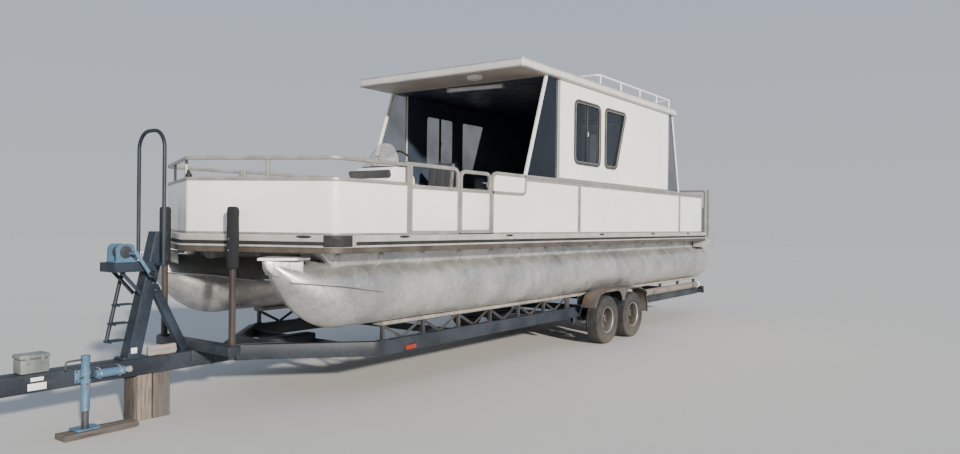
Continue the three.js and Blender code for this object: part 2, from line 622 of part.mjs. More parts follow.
const wallHalf = fenceHalf - cabin.thick - gap;
const rearWall = crossPlate(rectangle(-wallHalf, gap, wallHalf, cabin.top - gap), cabin.rear - cabin.thick, cabin.rear,
  [rectangle(-doorway.half, doorway.bottom, doorway.half, doorway.top)]);
// the tabs on the aft face of the wall reach forward to it
const doorTabs = (across) => (across < 0 ? lowered(doorKnuckles) : doorKnuckles).map((height) => slab(
  cabin.rear - 2, doorPin[0] + 3, doorPin[1], doorPin[1] + across * hinge.tab,
  deckZ + height, deckZ + height + hinge.length));
const doorPins = (heights) => heights.map((height) => roundBar([...doorPin, deckZ + height],
  [...doorPin, deckZ + height + hinge.length], hinge.radius - 1.5, 10));
add('cabin_wall_rear', fuse([rearWall, ...doorTabs(-1), ...doorPins(lowered(doorKnuckles))]), whitePanel);

function cabinDoor() {
  const half = doorway.half - doorway.play;
  const low = doorway.bottom + doorway.play;
  const high = doorway.top - doorway.play;
  const pane = eased(rectangle(doorPane.side - half, doorPane.bottom, half - doorPane.side, high - doorPane.top),
    doorPane.radius);
  const leaf = crossPlate(rectangle(-half, low, half, high), cabin.rear - cabin.thick, cabin.rear, [pane]);
  const glass = crossPlate(drawnIn(pane, -doorPane.lap), cabin.rear - doorPane.from, cabin.rear - doorPane.to);
  const handle = slab(cabin.rear - 2, cabin.rear + doorHandle.proud, half - doorHandle.from, half - doorHandle.to,
    deckZ + doorHandle.bottom, deckZ + doorHandle.top);
  return fuse([leaf, glass, handle, ...doorTabs(1), ...doorPins(doorKnuckles)]);
}

add('cabin_door', cabinDoor(), whitePanel);

const roofOutline = eased(rectangle(roofSlab.from, -roofSlab.half, roofSlab.to, roofSlab.half), roofSlab.corner, 3);
const roofTop = deckZ + cabin.top + roofSlab.thick;
const roofSkin = eased(rectangle(roofSlab.from + roofSlab.edge, roofSlab.edge - roofSlab.half, roofSlab.to - roofSlab.edge,
  roofSlab.half - roofSlab.edge), roofSlab.corner, 3);
add('roof', fuse([planPlate(roofOutline, deckZ + cabin.top, roofTop),
  planPlate(roofSkin, roofTop - 1, roofTop + roofSlab.proud)]), whitePanel);

function roofRailing() {
  const base = roofTop + gap;
  const half = roofRail.tube / 2;
  const [first, last] = [roofRail.posts[0], roofRail.posts.at(-1)];
  const { y } = roofRail;
  const loop = (grow) => eased(rectangle(first - grow, -y - grow, last + grow, y + grow), 50 + grow, 4);
  const top = planPlate(loop(half), base + roofRail.height - roofRail.tube, base + roofRail.height, [loop(-half)]);
  const posts = sides.flatMap(([, side]) => roofRail.posts.map((station, i) => {
    const inward = i === 0 ? 45 : i === roofRail.posts.length - 1 ? -45 : 0; // off the round corners
    return slab(station + inward - half, station + inward + half, side * roofRail.y - half, side * roofRail.y + half,
      base, base + roofRail.height - 2);
  }));
  return fuse([top, ...posts]);
}

add('roof_rail', roofRailing(), railAluminium);

// helm

const helmSide = [[helm.from, helm.low], [helm.to, helm.low], [helm.to, helm.top - helm.front],
  [helm.to - helm.rear, helm.top], [helm.from + helm.front, helm.top], [helm.from, helm.cowl]];
// the axis of the steering wheel leans back by its tilt; the column runs down it from behind the hub
const lean = THREE.MathUtils.degToRad(wheelRim.tilt);
const columnEnds = [wheelRim.hub / 2 + wheelRim.hubBack + gap, column.end].map((run) => [
  wheelRim.station - run * Math.cos(lean), helm.y, deckZ + wheelRim.height - run * Math.sin(lean)]);
add('helm_console', fuse([sidePlate(helmSide, helm.y - helm.half, helm.y + helm.half),
  roundBar(...columnEnds, column.radius, 12)]), darkVinyl);

function windshieldPane() {
  const { foot, middle, half, narrow, height, thick } = windshield;
  const bend = [[foot, -half], [middle, 0], [foot, half]];
  const rings = [0, 1].map((level) => bend.map(([s, y]) => [
    helm.from + s + windshield.lean * level, helm.y + y * (1 - narrow * level)]));
  const z0 = deckZ + helm.top + gap;
  const z1 = z0 + height;
  const line = ([a, b, c]) => new THREE.QuadraticBezierCurve(
    new THREE.Vector2(...a), new THREE.Vector2(2 * b[0] - (a[0] + c[0]) / 2, b[1]), new THREE.Vector2(...c),
  ).getPoints(8);
  const low = line(rings[0]);
  const high = line(rings[1]);
  const section = (i) => [[low[i], z0, 0], [high[i], z1, 0], [high[i], z1, thick], [low[i], z0, thick]].map(
    ([p, z, back]) => new THREE.Vector3(at(p.x + back), p.y, z));
  return loft(low.map((_, i) => section(i)));
}

add('windshield', windshieldPane(), clearPlastic);

function steeringWheel() {
  const { radius, thick, hub, hubRadius, hubBack, spoke } = wheelRim;
  const ring = new THREE.TorusGeometry(radius, thick, 6, 24);
  const spokes = [0, 1, 2].map((i) => {
    const bar = new THREE.BoxGeometry(radius, ...spoke).translate(radius / 2, 0, 0);
    return bar.rotateZ(Math.PI / 2 + (i * 2 * Math.PI) / 3);
  });
  const middle = new THREE.CylinderGeometry(hubRadius, hubRadius, hub, 16).rotateX(Math.PI / 2);
  return fuse([ring, middle.translate(0, 0, -hubBack), ...spokes]);
}

const steering = add('steering_wheel', steeringWheel(), blackRubber);
steering.position.set(at(wheelRim.station), helm.y, deckZ + wheelRim.height);
steering.rotation.y = lean - Math.PI / 2;

function helmSeat() {
  const { station, half, cushion: top, thick, depth, foot: footHalf, footThick, post: radius } = seat;
  const y0 = helm.y - half;
  const y1 = helm.y + half;
  const foot = slab(station - footHalf, station + footHalf, helm.y - footHalf, helm.y + footHalf,
    deckZ + gap, deckZ + footThick);
  const post = roundBar([station, helm.y, deckZ + 5], [station, helm.y, deckZ + top - thick + 30], radius, 12);
  const cushion = slab(station - depth, station + depth, y0, y1, deckZ + top - thick, deckZ + top);
  const back = sidePlate(seat.back.map(([s, height]) => [station + s, height]), y0, y1);
  return fuse([foot, post, cushion, back]);
}

add('helm_seat', helmSeat(), darkVinyl);

// outboard motor

function motorClamp() {
  const face = transom.to + gap;
  const top = tilt.z - clamp.down;
  const { half, ear, bottom, thick } = clamp;
  const jaws = slab(face, face + thick, -half, half, bottom, top - 5);
  const hook = slab(transom.from - 6, face + 10, -half, half, transom.top + gap, top);
  const behind = tilt.station + 25;
  const ears = [-half, half - ear].map((y) => sidePlate([[face + 10, bottom - deckZ], [behind, tilt.z - 20 - deckZ],
    [behind, tilt.z + 10 - deckZ], [face + 10, tilt.z - deckZ]], y, y + ear));
  return fuse([jaws, hook, ...ears]);
}

add('motor_clamp', motorClamp(), engineShell);

function motorSwivel() {
  const { half, radius, armHalf, armLow, armTop } = swivel;
  const hub = roundBar([tilt.station, gap - half, tilt.z], [tilt.station, half - gap, tilt.z], radius, 14);
  const arm = slab(tilt.station + 5, steerStation - 20, -armHalf, armHalf, tilt.z + armLow, tilt.z + armTop);
  const barrel = roundBar([steerStation, 0, tilt.z + head.barrelLow], [steerStation, 0, tilt.z + head.base - gap],
    head.barrel, 16);
  return fuse([hub, arm, barrel]);
}

add('motor_swivel', motorSwivel(), engineShell);

// leg, plate, gear case with its shaft and nose, and the bracket that turns on the barrel
function motorLeg() {
  const z = (height) => height - deckZ;
  const front = steerStation + head.barrel + 5;
  const legTop = tilt.z + head.base + 20;
  const leg = sidePlate(eased([[front, z(legTop)], [steerStation + 190, z(legTop)], [steerStation + 150, z(plateZ[0])],
    [steerStation + 160, z(430)], [steerStation + 60, z(400)], [steerStation - 20, z(560)], [front, z(plateZ[0])]],
  [0, 0, 60, 30, 20, 40, 60]), -32, 32);
  const plate = planPlate(eased([[steerStation - 30, -60], [steerStation + 260, -105], [steerStation + 260, 105],
    [steerStation - 30, 60]], 30), ...plateZ);
  const hubFace = propeller.station - propeller.hub / 2;
  const { radius, front: ahead, nose: length } = gearcase;
  const casing = roundBar([steerStation - ahead, 0, propeller.z], [hubFace - 5, 0, propeller.z], radius, 16);
  const shaft = roundBar([hubFace - 10, 0, propeller.z], [propeller.station, 0, propeller.z], propeller.shaft, 12);
  const nose = new THREE.ConeGeometry(radius, length, 16).rotateZ(-Math.PI / 2).translate(
    at(steerStation - ahead - length / 2 + 1), 0, propeller.z);
  const top = slab(steerStation - 60, steerStation + 210, -70, 70, tilt.z + head.base, tilt.z + head.cowl + 10);
  const arms = slab(front, steerStation + 90, -40, 40, tilt.z + head.barrelLow, legTop);
  return [leg, plate, casing, shaft, nose, top, arms];
}

// the cowl: its side view cut to its plan, which is narrow ahead
function motorCowl() {
  const z = (height) => height - deckZ;
  const base = tilt.z + head.cowl;
  const { front, rear, half, height } = head;
  const ahead = steerStation - front;
  const body = sidePlate(eased([[ahead + 20, z(base)], [steerStation + rear - 30, z(base)],
    [steerStation + rear, z(base + 0.6 * height)], [steerStation + rear - 90, z(base + height)],
    [ahead + 50, z(base + height)], [ahead, z(base + 0.6 * height)]], [30, 50, 70, 90, 70, 60]), -half, half);
  const plan = planPlate(eased([[ahead, -60], [steerStation + 40, -half], [steerStation + rear, -half],
    [steerStation + rear, half], [steerStation + 40, half], [ahead, 60]], [40, 90, 90, 90, 90, 40]),
  base - 1, base + height + 1);
  return surface(solid(body).intersect(solid(plan)));
}

add('motor_head', fuse([...motorLeg(), motorCowl()]), engineShell);

function propellerSolid() {
  const { hub, radius, shaft, station, z, root, pitch } = propeller;
  const body = new THREE.CylinderGeometry(40, 46, hub, 16).rotateZ(Math.PI / 2);
  const reach = (radius - root) / 2;
  const blades = [0, 1, 2].map((i) => {
    const blade = new THREE.CylinderGeometry(reach, reach, 8, 14).rotateZ(Math.PI / 2 + pitch);
    return blade.translate(0, 0, root + reach).rotateX((i * 2 * Math.PI) / 3);
  });
  const bore = new THREE.CylinderGeometry(shaft + 0.6, shaft + 0.6, hub, 12).rotateZ(Math.PI / 2);
  return cut(fuse([body, ...blades]), [bore.translate(hub / 2 - 10, 0, 0)]).translate(at(station), 0, z);
}

add('propeller', propellerSolid(), engineShell);

// trailer

function trailerFrame() {
  const { outer, width, bottom, top, bend, end } = rail;
  const tongueBeam = slab(tongue.front, bend + 20, -tongue.half, tongue.half, bottom, top);
  const rails = sides.map(([, side]) => {
    const inner = outer - width;
    const slope = (outer - tongue.half) / (bend - tongue.meet);
    const shift = width * Math.hypot(1, slope) / slope - width / slope;
    return planPlate([[end, side * outer], [bend, side * outer], [tongue.meet, side * (tongue.half - 5)],
      [tongue.meet + 150, side * (tongue.half - 5)], [bend + shift, side * inner], [end, side * inner]], bottom, top);
  });
  const cross = bars.stations.map((station) => slab(station, station + bars.width, -outer + 20, outer - 20,
    bottom + 2, bottom + bars.height));
  const carrier = slab(stopStation('starboard') - bolster.half, stopStation('port') + bolster.half,
    -bowStop.y.starboard - bolster.beyond, bowStop.y.port + bolster.beyond, top - 5, bolster.top);
  const coupler = planPlate(eased([[tongue.front + 60, -tongue.half], [tongue.coupler, -45], [tongue.coupler, 45],
    [tongue.front + 60, tongue.half]], [0, 35, 35, 0]), bottom + 40, top - 12);
  const tail = slab(end - tailBar.width, end, -outer - tailBar.beyond, outer + tailBar.beyond,
    tailBar.bottom, tailBar.top);
  return fuse([tongueBeam, ...rails, ...cross, carrier, coupler, tail]);
}

add('trailer_frame', trailerFrame(), greyPaint);

// the bunk: a carpeted plank under the float on a lattice of posts and diagonals
function bunkTruss(side) {
  const y = side * bunk.y;
  const top = deckZ + tube.height - tube.radius - gap;
  const plankBottom = top - bunk.thick;
  const low = rail.top + gap;
  const plank = slab(bunk.from, bunk.to, y - bunk.half, y + bunk.half, plankBottom, top);
  const mid = side * (rail.outer - rail.width / 2);
  const step = (truss.to - truss.from) / truss.bays;
  const posts = [0, 1].flatMap((half) => Array.from({ length: 7 }, (_, i) => {
    const station = half ? truss.rearFrom + i * truss.rearSpacing : truss.from + 20 + i * 2 * step;
    const [along, across] = truss.postHalf;
    return slab(station - along, station + along, mid - across, mid + across, low, plankBottom + 2);
  }));
  const webs = Array.from({ length: truss.bays }, (_, i) => {
    const lowEnd = truss.from + (i + (i % 2 ? 0 : 1)) * step;
    const highEnd = truss.from + (i + (i % 2 ? 1 : 0)) * step;
    const lean = Math.sign(highEnd - lowEnd) * 7;
    const half = truss.webHalf;
    const high = plankBottom + 2 - deckZ;
    return sidePlate([[lowEnd - half, low - deckZ], [lowEnd + half, low - deckZ], [highEnd + half + lean, high],
      [highEnd - half + lean, high]], mid - half, mid + half);
  });
  return fuse([plank, ...posts, ...webs]);
}

for (const [name, side] of sides) {
  add(`bunk_${name}`, bunkTruss(side), galvanized);
}

function axleBeam(station) {
  const z = roadWheel.radius;
  const { half, tubeHalf, springHalf, drum, drumY, spindle, spindleY } = axle;
  const beam = slab(station - half, station + half, -tubeHalf, tubeHalf, z - half, z + half);
  const ends = sides.flatMap(([, side]) => [
    slab(station - springHalf, station + springHalf, side * rail.outer, side * (rail.outer - rail.width), z + half - 12,
      rail.bottom - gap),
    roundBar([station, side * drumY[0], z], [station, side * drumY[1], z], drum, 18),
    roundBar([station, side * spindleY[0], z], [station, side * spindleY[1], z], spindle, 16)]);
  return fuse([beam, ...ends]);
}

roadWheel.stations.forEach((station, i) => add(`axle_${i === 0 ? 'front' : 'rear'}`, axleBeam(station), greyPaint));

function tyreSolid() {
  const w = roadWheel.width / 2;
  const r = roadWheel.radius;
  const profile = [[roadWheel.rim, w - 22], [roadWheel.rim + 18, w - 8], [r - 75, w], [r - 22, w - 6], [r - 6, w - 20],
    [r, w - 40]];
  const points = [...profile, ...profile.toReversed().map(([radius, y]) => [radius, -y]), profile[0]];
  return new THREE.LatheGeometry(points.map(([x, y]) => new THREE.Vector2(x, y)).reverse(), roadWheel.segments);
}

// the rim: a barrel with a dished disc that has eight openings, and a bore for the spindle
function rimSolid() {
  const r = roadWheel.rim - gap;
  const profile = [[0, -38], [62, -34], [118, -10], [r - 26, -30], [r, -84], [r, 84], [r - 24, 64], [r - 24, -12],
    [118, 8], [62, -6], [0, -8]];
  const points = profile.map(([x, y]) => new THREE.Vector2(x, y));
  const body = new THREE.LatheGeometry(points, roadWheel.segments);
  const windows = Array.from({ length: 8 }, (_, i) => {
    const hole = new THREE.CylinderGeometry(15, 15, 80, 6).scale(1.1, 1, 1.5).translate(0, -15, 108);
    return hole.rotateY((i * Math.PI) / 4);
  });
  return { body, windows };
}

function wheelPair(name, station, side) {
  const centre = [at(station), side * roadWheel.y, roadWheel.radius];
  const place = (geometry) => {
    const turned = side > 0 ? geometry : geometry.rotateX(Math.PI);
    return turned.translate(...centre);
  };
  add(`tyre_${name}`, place(tyreSolid()), blackRubber);
  const { body, windows } = rimSolid();
  const cap = new THREE.CylinderGeometry(40, 44, 60, 16).translate(0, 12, 0);
  const bore = new THREE.CylinderGeometry(roadWheel.bore, roadWheel.bore, 100, 16).translate(0, -50 + 32.5, 0);
  add(`rim_${name}`, place(cut(fuse([body, cap]), [...windows, bore])), steelRim);
}

for (const [name, side] of sides) {
  wheelPair(`front_${name}`, roadWheel.stations[0], side);
  wheelPair(`rear_${name}`, roadWheel.stations[1], side);
}

// the fender: a curved skin over both wheels, with a skirt that an opening for each wheel is cut from
function fenderSolid(side) {
  const { from, to, inner, outer, wall, skirt, arch, archHalf, lip } = fender;
  const z = (height) => height - deckZ;
  const path = [[from, 530], [from + 100, 700], [from + 400, 756], [to - 420, 746], [to - 90, 680],
    [to - 5, 460], [to, 340]];
  const middle = (path.length - 1) / 2;
  const radii = [0, 160, 200, 200, 160, 100, 0];
  const drawn = (list, less) => eased(list.map(([s, h]) => [s, z(h)]), radii.map((r) => Math.max(r - less, 0)), 4);
  const over = drawn(path, 0);
  const under = drawn(path.map(([s, h], i) => [s + Math.sign(middle - i) * wall,
    i > 0 && i < path.length - 1 ? h - wall : h]), wall);
  const skin = sidePlate([...over, ...under.toReversed()], side * inner, side * outer);
  const face = sidePlate(over, side * (outer - wall), side * outer);
  const below = slab(from - 10, to + 10, side * (outer - 20), side * (outer + 20), 300, skirt);
  const [front, rear] = roadWheel.stations;
  const openings = [[from + lip + 8, front + archHalf], [rear - archHalf, to - lip]].map(([s0, s1]) => sidePlate(
    eased(rectangle(s0, z(skirt - 100), s1, z(arch)), [0, 0, 190, 190]), side * (outer - 20), side * (outer + 20)));
  const mid = (front + rear) / 2;
  const brackets = [[from + 10, 545, inner + 60], [mid - 20, 500, outer - 8], [to - 42, 440, inner + 60]].map(
    ([s, low, reach]) => slab(s, s + 36, side * (rail.outer + gap), side * reach, low, low + 14));
  const stay = slab(mid - 4, mid + 4, side * inner, side * (outer - 10), 505, arch + 28);
  return fuse([skin, cut(face, [...openings, below]), ...brackets, stay]);
}

for (const [name, side] of sides) {
  add(`fender_${name}`, fenderSolid(side), wornFender);
}

// winch stand with its shelf, bow roller and brace
function winchStand() {
  const base = rail.top + gap;
  const z = (height) => height - deckZ;
  const post = sidePlate([[stand.station - 60, z(base)], [stand.station + 60, z(base)],
    [stand.topStation + 55, z(stand.top)], [stand.topStation - 55, z(stand.top)]], -stand.half, stand.half);
  const foot = slab(stand.station - 100, stand.station + 120, -72, 72, base, base + 14);
  const brace = sidePlate([[-640, z(base)], [-560, z(base)], [-840, z(1110)], [-930, z(1070)]], -30, 30);
  const tray = slab(shelf.from, shelf.to, -shelf.half, shelf.half, shelf.bottom, shelf.top);
  const drum = roundBar([roller.station, -roller.half, roller.z], [roller.station, roller.half, roller.z],
    roller.radius, 18);
  const arm = slab(shelf.to, roller.station, -roller.half + 15, roller.half - 15, roller.z - 40, roller.z + 30);
  return [post, foot, brace, tray, drum, arm];
}

function winch() {
  const base = shelf.top + gap;
  const plate = slab(-1250, -1060, -70, 70, base, base + 10);
  const cheeks = [-70, 52].map((y) => sidePlate(eased(rectangle(-1240, base + 5 - deckZ, -1080, base + 150 - deckZ),
    [0, 0, 60, 60]), y, y + 18));
  const drum = roundBar([-1160, -60, base + 85], [-1160, 60, base + 85], 52, 18);
  const shaft = roundBar([-1130, 60, base + 70], [-1130, 178, base + 70], 14, 10);
  const crank = roundBar([-1136, 170, base + 80], [-1010, 170, base - 95], 13, 10);
  const grip = roundBar([-1012, 162, base - 90], [-1012, 260, base - 90], 17, 10);
  return fuse([plate, ...cheeks, drum, shaft, crank, grip]);
}

add('winch', winch(), bluePaint);

// ladder: a hoop over the shelf whose starboard tube runs on down as a leg, with treads to the post
function boardingLadder() {
  const { port, starboard, tube: radius, top, station, round, leg, treads, tie } = ladder;
  const arc = (y, inward) => Array.from({ length: 7 }, (_, i) => {
    const angle = (Math.PI / 2) * (i / 6);
    return [station, y + inward * round * (1 - Math.cos(angle)), top - radius - round * (1 - Math.sin(angle))];
  });
  const hoop = tubeAlong([...leg.map(([s, z]) => [s, starboard, z]), [station, starboard, 1330], ...arc(starboard, 1),
    ...arc(port, -1).reverse(), [station, port, tie[0]]], radius, 8);
  const [[legFoot, low], [legHead, high]] = leg;
  const base = rail.top + gap;
  const steps = treads.map((z) => {
    const legStation = legFoot + (legHead - legFoot) * (z - low) / (high - low);
    const postStation = stand.station + (stand.topStation - stand.station) * (z - base) / (stand.top - base);
    return slab(legStation - 20, postStation - 20, starboard - radius, -30, z - 8, z + 8);
  });
  return [hoop, ...steps, slab(station - 20, station + 20, starboard, port, ...tie)];
}

add('winch_stand', fuse([...winchStand(), ...boardingLadder()]), blackPaint);

function jackSolid() {
  const { station, y, radius, top, foot } = jack;
  const side = tongue.half + gap;
  const sleeve = roundBar([station, y, 190], [station, y, top], radius, 20);
  const ram = roundBar([station, y, foot], [station, y, 200], radius - 8, 20);
  const pad = slab(station - 95, station + 95, y - 75, y + 75, foot - 12, foot + 4);
  const bracket = slab(station - 60, station + 60, side, y, rail.bottom + 20, rail.top - 20);
  const handle = roundBar([station, y, top - 30], [station - 150, y + 20, top - 30], 9, 8);
  return fuse([sleeve, ram, pad, bracket, handle]);
}

add('jack', jackSolid(), bluePaint);

for (const [name, side] of sides) {
  const { half, padHalf, top, padBottom, post: thick } = bowStop;
  const station = stopStation(name);
  const y = side * bowStop.y[name];
  const post = slab(station - thick, station + thick, y - thick, y + thick, bolster.top + gap, padBottom + 5);
  const pad = sidePlate(eased(rectangle(station - half, padBottom - deckZ, station + half, top - deckZ), [0, 0, 40, 40], 6),
    y - padHalf, y + padHalf);
  add(`bow_stop_${name}`, fuse([post, pad]), blackRubber);
}

function pipeSolid() {
  const { y, z, radius, from, to } = sidePipe;
  const body = roundBar([from, y, z], [to - 40, y, z], radius, 20);
  const cap = roundBar([to - 60, y, z], [to, y, z], radius + 6, 20);
  const hangers = [from + 250, to - 350].map((s) => slab(s, s + 40, rail.outer + gap, y - radius + 12, rail.top - 40, z));
  return fuse([body, cap, ...hangers]);
}

add('side_pipe', pipeSolid(), palePipe);

// timber under the tongue and under the jack's foot
const props = [[-1090, -1040, -75, 0], [-1045, -915, -70, 60], [-920, -757, -60, 70]]; // from, to, starboard face, port face
add('timber_props', fuse(props.map((plan) => slab(...plan, 0, rail.bottom - gap))), timber);
add('timber_plank', slab(jack.station - 190, jack.station + 380, jack.y - 70, jack.y + 90,
  0, jack.foot - 12 - gap), timber);

export default boat;
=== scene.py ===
import json
import math

import bmesh
import bpy
import numpy as np
from mathutils import Matrix, Vector
from mathutils.geometry import tessellate_polygon


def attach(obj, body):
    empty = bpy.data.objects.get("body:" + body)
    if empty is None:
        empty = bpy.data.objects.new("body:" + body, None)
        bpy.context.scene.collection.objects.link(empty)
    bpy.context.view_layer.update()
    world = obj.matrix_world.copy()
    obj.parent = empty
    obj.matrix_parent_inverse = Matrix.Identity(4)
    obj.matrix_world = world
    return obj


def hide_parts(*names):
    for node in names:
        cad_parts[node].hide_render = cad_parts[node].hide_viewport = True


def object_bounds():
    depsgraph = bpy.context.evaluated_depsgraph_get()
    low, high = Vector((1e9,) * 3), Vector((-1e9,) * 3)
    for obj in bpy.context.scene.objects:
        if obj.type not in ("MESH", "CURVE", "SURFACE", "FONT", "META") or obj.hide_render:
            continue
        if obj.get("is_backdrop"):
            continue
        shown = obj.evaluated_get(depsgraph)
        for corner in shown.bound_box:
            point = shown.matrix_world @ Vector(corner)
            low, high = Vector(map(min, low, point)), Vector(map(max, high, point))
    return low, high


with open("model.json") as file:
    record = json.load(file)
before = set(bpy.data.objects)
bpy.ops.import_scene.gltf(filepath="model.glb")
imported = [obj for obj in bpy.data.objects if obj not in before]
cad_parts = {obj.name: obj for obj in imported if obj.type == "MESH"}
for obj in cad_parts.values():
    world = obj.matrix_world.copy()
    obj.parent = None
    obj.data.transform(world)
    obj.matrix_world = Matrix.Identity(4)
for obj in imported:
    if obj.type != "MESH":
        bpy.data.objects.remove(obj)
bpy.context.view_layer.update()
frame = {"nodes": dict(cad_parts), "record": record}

# Lengths are metres, +X to the bow, +Y to port. Stations run aft from the bow corners of the fence.
boat = {
    "corner": 3.89175,     # where the bow corners of the fence are along X
    "deck": 1.53,          # top of the deck
    "fenceHalf": 1.245,    # outer face of the fence
    "bowRise": 0.592,      # how far the bow point is ahead of the corners
    "rimOut": 0.05,
    "rimLow": 1.376,       # underside of the rim
}
sides = (("port", 1), ("starboard", -1))


def at(station):
    return boat["corner"] - station


# Shapes
# Each shape is a pair: an array of points and a list of faces.


def gridFaces(rows, columns, closedRows=False, closedColumns=False):
    # Quads of a grid whose points are stored row by row.
    r = np.arange(rows if closedRows else rows - 1)
    c = np.arange(columns if closedColumns else columns - 1)
    r, c = [a.ravel() for a in np.meshgrid(r, c, indexing="ij")]
    rn, cn = (r + 1) % rows, (c + 1) % columns
    return np.stack([r * columns + c, r * columns + cn, rn * columns + cn, rn * columns + c], 1).tolist()


def gridShape(points, closedRows=False, closedColumns=False, caps=False):
    # A surface through a grid of points; caps close the first and last row with one face each.
    points = np.asarray(points, float)
    rows, columns = points.shape[:2]
    faces = gridFaces(rows, columns, closedRows, closedColumns)
    if caps:
        faces.append(list(range(columns))[::-1])
        faces.append(list(range((rows - 1) * columns, rows * columns)))
    return points.reshape(-1, 3), faces


def join(shapes):
    # Several shapes as one, the faces counted on from shape to shape.
    points, faces, start = [], [], 0
    for p, f in shapes:
        points.append(np.asarray(p, float))
        faces += [[i + start for i in face] for face in f]
        start += len(p)
    return np.concatenate(points), faces


def moved(shape, by):
    return np.asarray(shape[0]) + np.asarray(by, float), shape[1]


def turned(shape, axis, degrees, centre=(0, 0, 0)):
    turn = np.array(Matrix.Rotation(math.radians(degrees), 3, axis))
    centre = np.asarray(centre, float)
    return (np.asarray(shape[0]) - centre) @ turn.T + centre, shape[1]


def mirrored(shape, signs=(1, -1, 1)):
    # The same shape on the other side of the centreline, or turned by other signs, its faces pointing out again.
    return np.asarray(shape[0], float) * signs, [face[::-1] for face in shape[1]]


def facing(shape, side):
    # A shape of the port side for either side.
    return shape if side > 0 else mirrored(shape)


def onBothSides(shape):
    return join([shape, mirrored(shape)])


def eased(points, radius, steps=5, closed=False):
    # A route whose corners are eased by a curve that starts and ends one radius from the corner. There may be
    # one radius for each corner.
    points = np.asarray(points, float)
    radii = np.broadcast_to(radius, len(points))
    t = np.linspace(0, 1, steps + 1)[:, None]
    out, last = [], len(points) - 1
    for i, corner in enumerate(points):
        if not radii[i] or (not closed and i in (0, last)):
            out.append(corner[None])
            continue
        before, after = points[i - 1] - corner, points[(i + 1) % len(points)] - corner
        lengths = [np.linalg.norm(before), np.linalg.norm(after)]
        r = min(radii[i], lengths[0] * 0.49, lengths[1] * 0.49)
        a, b = corner + before / lengths[0] * r, corner + after / lengths[1] * r
        out.append((1 - t) ** 2 * a + 2 * t * (1 - t) * corner + t ** 2 * b)
    return np.concatenate(out)


def sweep(route, section, closed=False, up=(0, 0, 1)):
    # A flat section carried along a route: side = tangent x up, top = side x tangent.
    route, section = np.asarray(route, float), np.asarray(section, float)
    ahead = np.roll(route, -1, 0) - np.roll(route, 1, 0)
    if not closed:
        ahead[0], ahead[-1] = route[1] - route[0], route[-1] - route[-2]
    ahead /= np.linalg.norm(ahead, axis=1)[:, None]
    side = np.cross(ahead, up)
    side /= np.linalg.norm(side, axis=1)[:, None]
    top = np.cross(side, ahead)
    points = route[:, None] + side[:, None] * section[None, :, :1] + top[:, None] * section[None, :, 1:]
    return gridShape(points[:, ::-1], closedRows=closed, closedColumns=True, caps=not closed)


def circle(radius, count=12, squash=1.0):
    angle = np.arange(count) * 2 * np.pi / count
    return np.stack([np.cos(angle) * radius, np.sin(angle) * radius * squash], 1)


def roundedBox(width, height, radius, steps=2):
    # Outline of a rectangle with round corners, centred.
    w, h = width / 2 - radius, height / 2 - radius
    angle = np.linspace(0, np.pi / 2, steps + 1)
    corner = np.stack([np.cos(angle), np.sin(angle)], 1) * radius
    parts = []
    for turn, (x, y) in enumerate(((w, h), (-w, h), (-w, -h), (w, -h))):
        c, s = math.cos(turn * math.pi / 2), math.sin(turn * math.pi / 2)
        parts.append(corner @ np.array([[c, s], [-s, c]]) + (x, y))
    return np.concatenate(parts)


def tube(points, radius, sides=12, ease=0.0, closed=False, up=(0, 0, 1)):
    route = eased(points, ease, closed=closed) if ease else np.asarray(points, float)
    return sweep(route, circle(radius, sides), closed, up)


def onPlane(outline, level, axis):
    # A flat outline set across an axis: its two columns are the other two axes in order.
    a, b = np.asarray(outline, float).T
    flat = np.full(len(a), float(level))
    return np.column_stack({"x": (flat, a, b), "y": (a, flat, b), "z": (a, b, flat)}[axis])


def block(low, high, edge=0.004):
    # A box with its upright edges and its rims rounded off: rings of a rounded outline, drawn in at each end.
    low, high = np.asarray(low, float), np.asarray(high, float)
    size, middle = high - low, (low + high) / 2
    edge = min(edge, size.min() * 0.45)
    rings = []
    for z, drawn in ((0, edge), (edge * 0.3, edge * 0.3), (edge, 0), (size[2] - edge, 0),
                     (size[2] - edge * 0.3, edge * 0.3), (size[2], edge)):
        outline = roundedBox(size[0] - 2 * drawn, size[1] - 2 * drawn, max(edge - drawn * 0.5, edge * 0.3))
        rings.append(onPlane(outline + middle[:2], low[2] + z, "z"))
    return gridShape(rings, closedColumns=True, caps=True)


def lathe(profile, centre, axis="Y", count=48, closed=True):
    # A profile of (radius, along) turned round an axis through the centre.
    profile = np.asarray(profile, float)
    angle = np.arange(count) * 2 * np.pi / count
    r, a = profile[:, 0], profile[:, 1]
    ring = np.stack([np.outer(np.cos(angle), r), np.tile(a, (count, 1)), np.outer(np.sin(angle), r)], -1)
    order = {"Y": (0, 1, 2), "X": (1, 0, 2), "Z": (0, 2, 1)}[axis]
    points = ring[..., order] + np.asarray(centre, float)
    shape = gridShape(points, closedRows=True, closedColumns=closed)
    return shape if axis == "Y" else (shape[0], [face[::-1] for face in shape[1]])


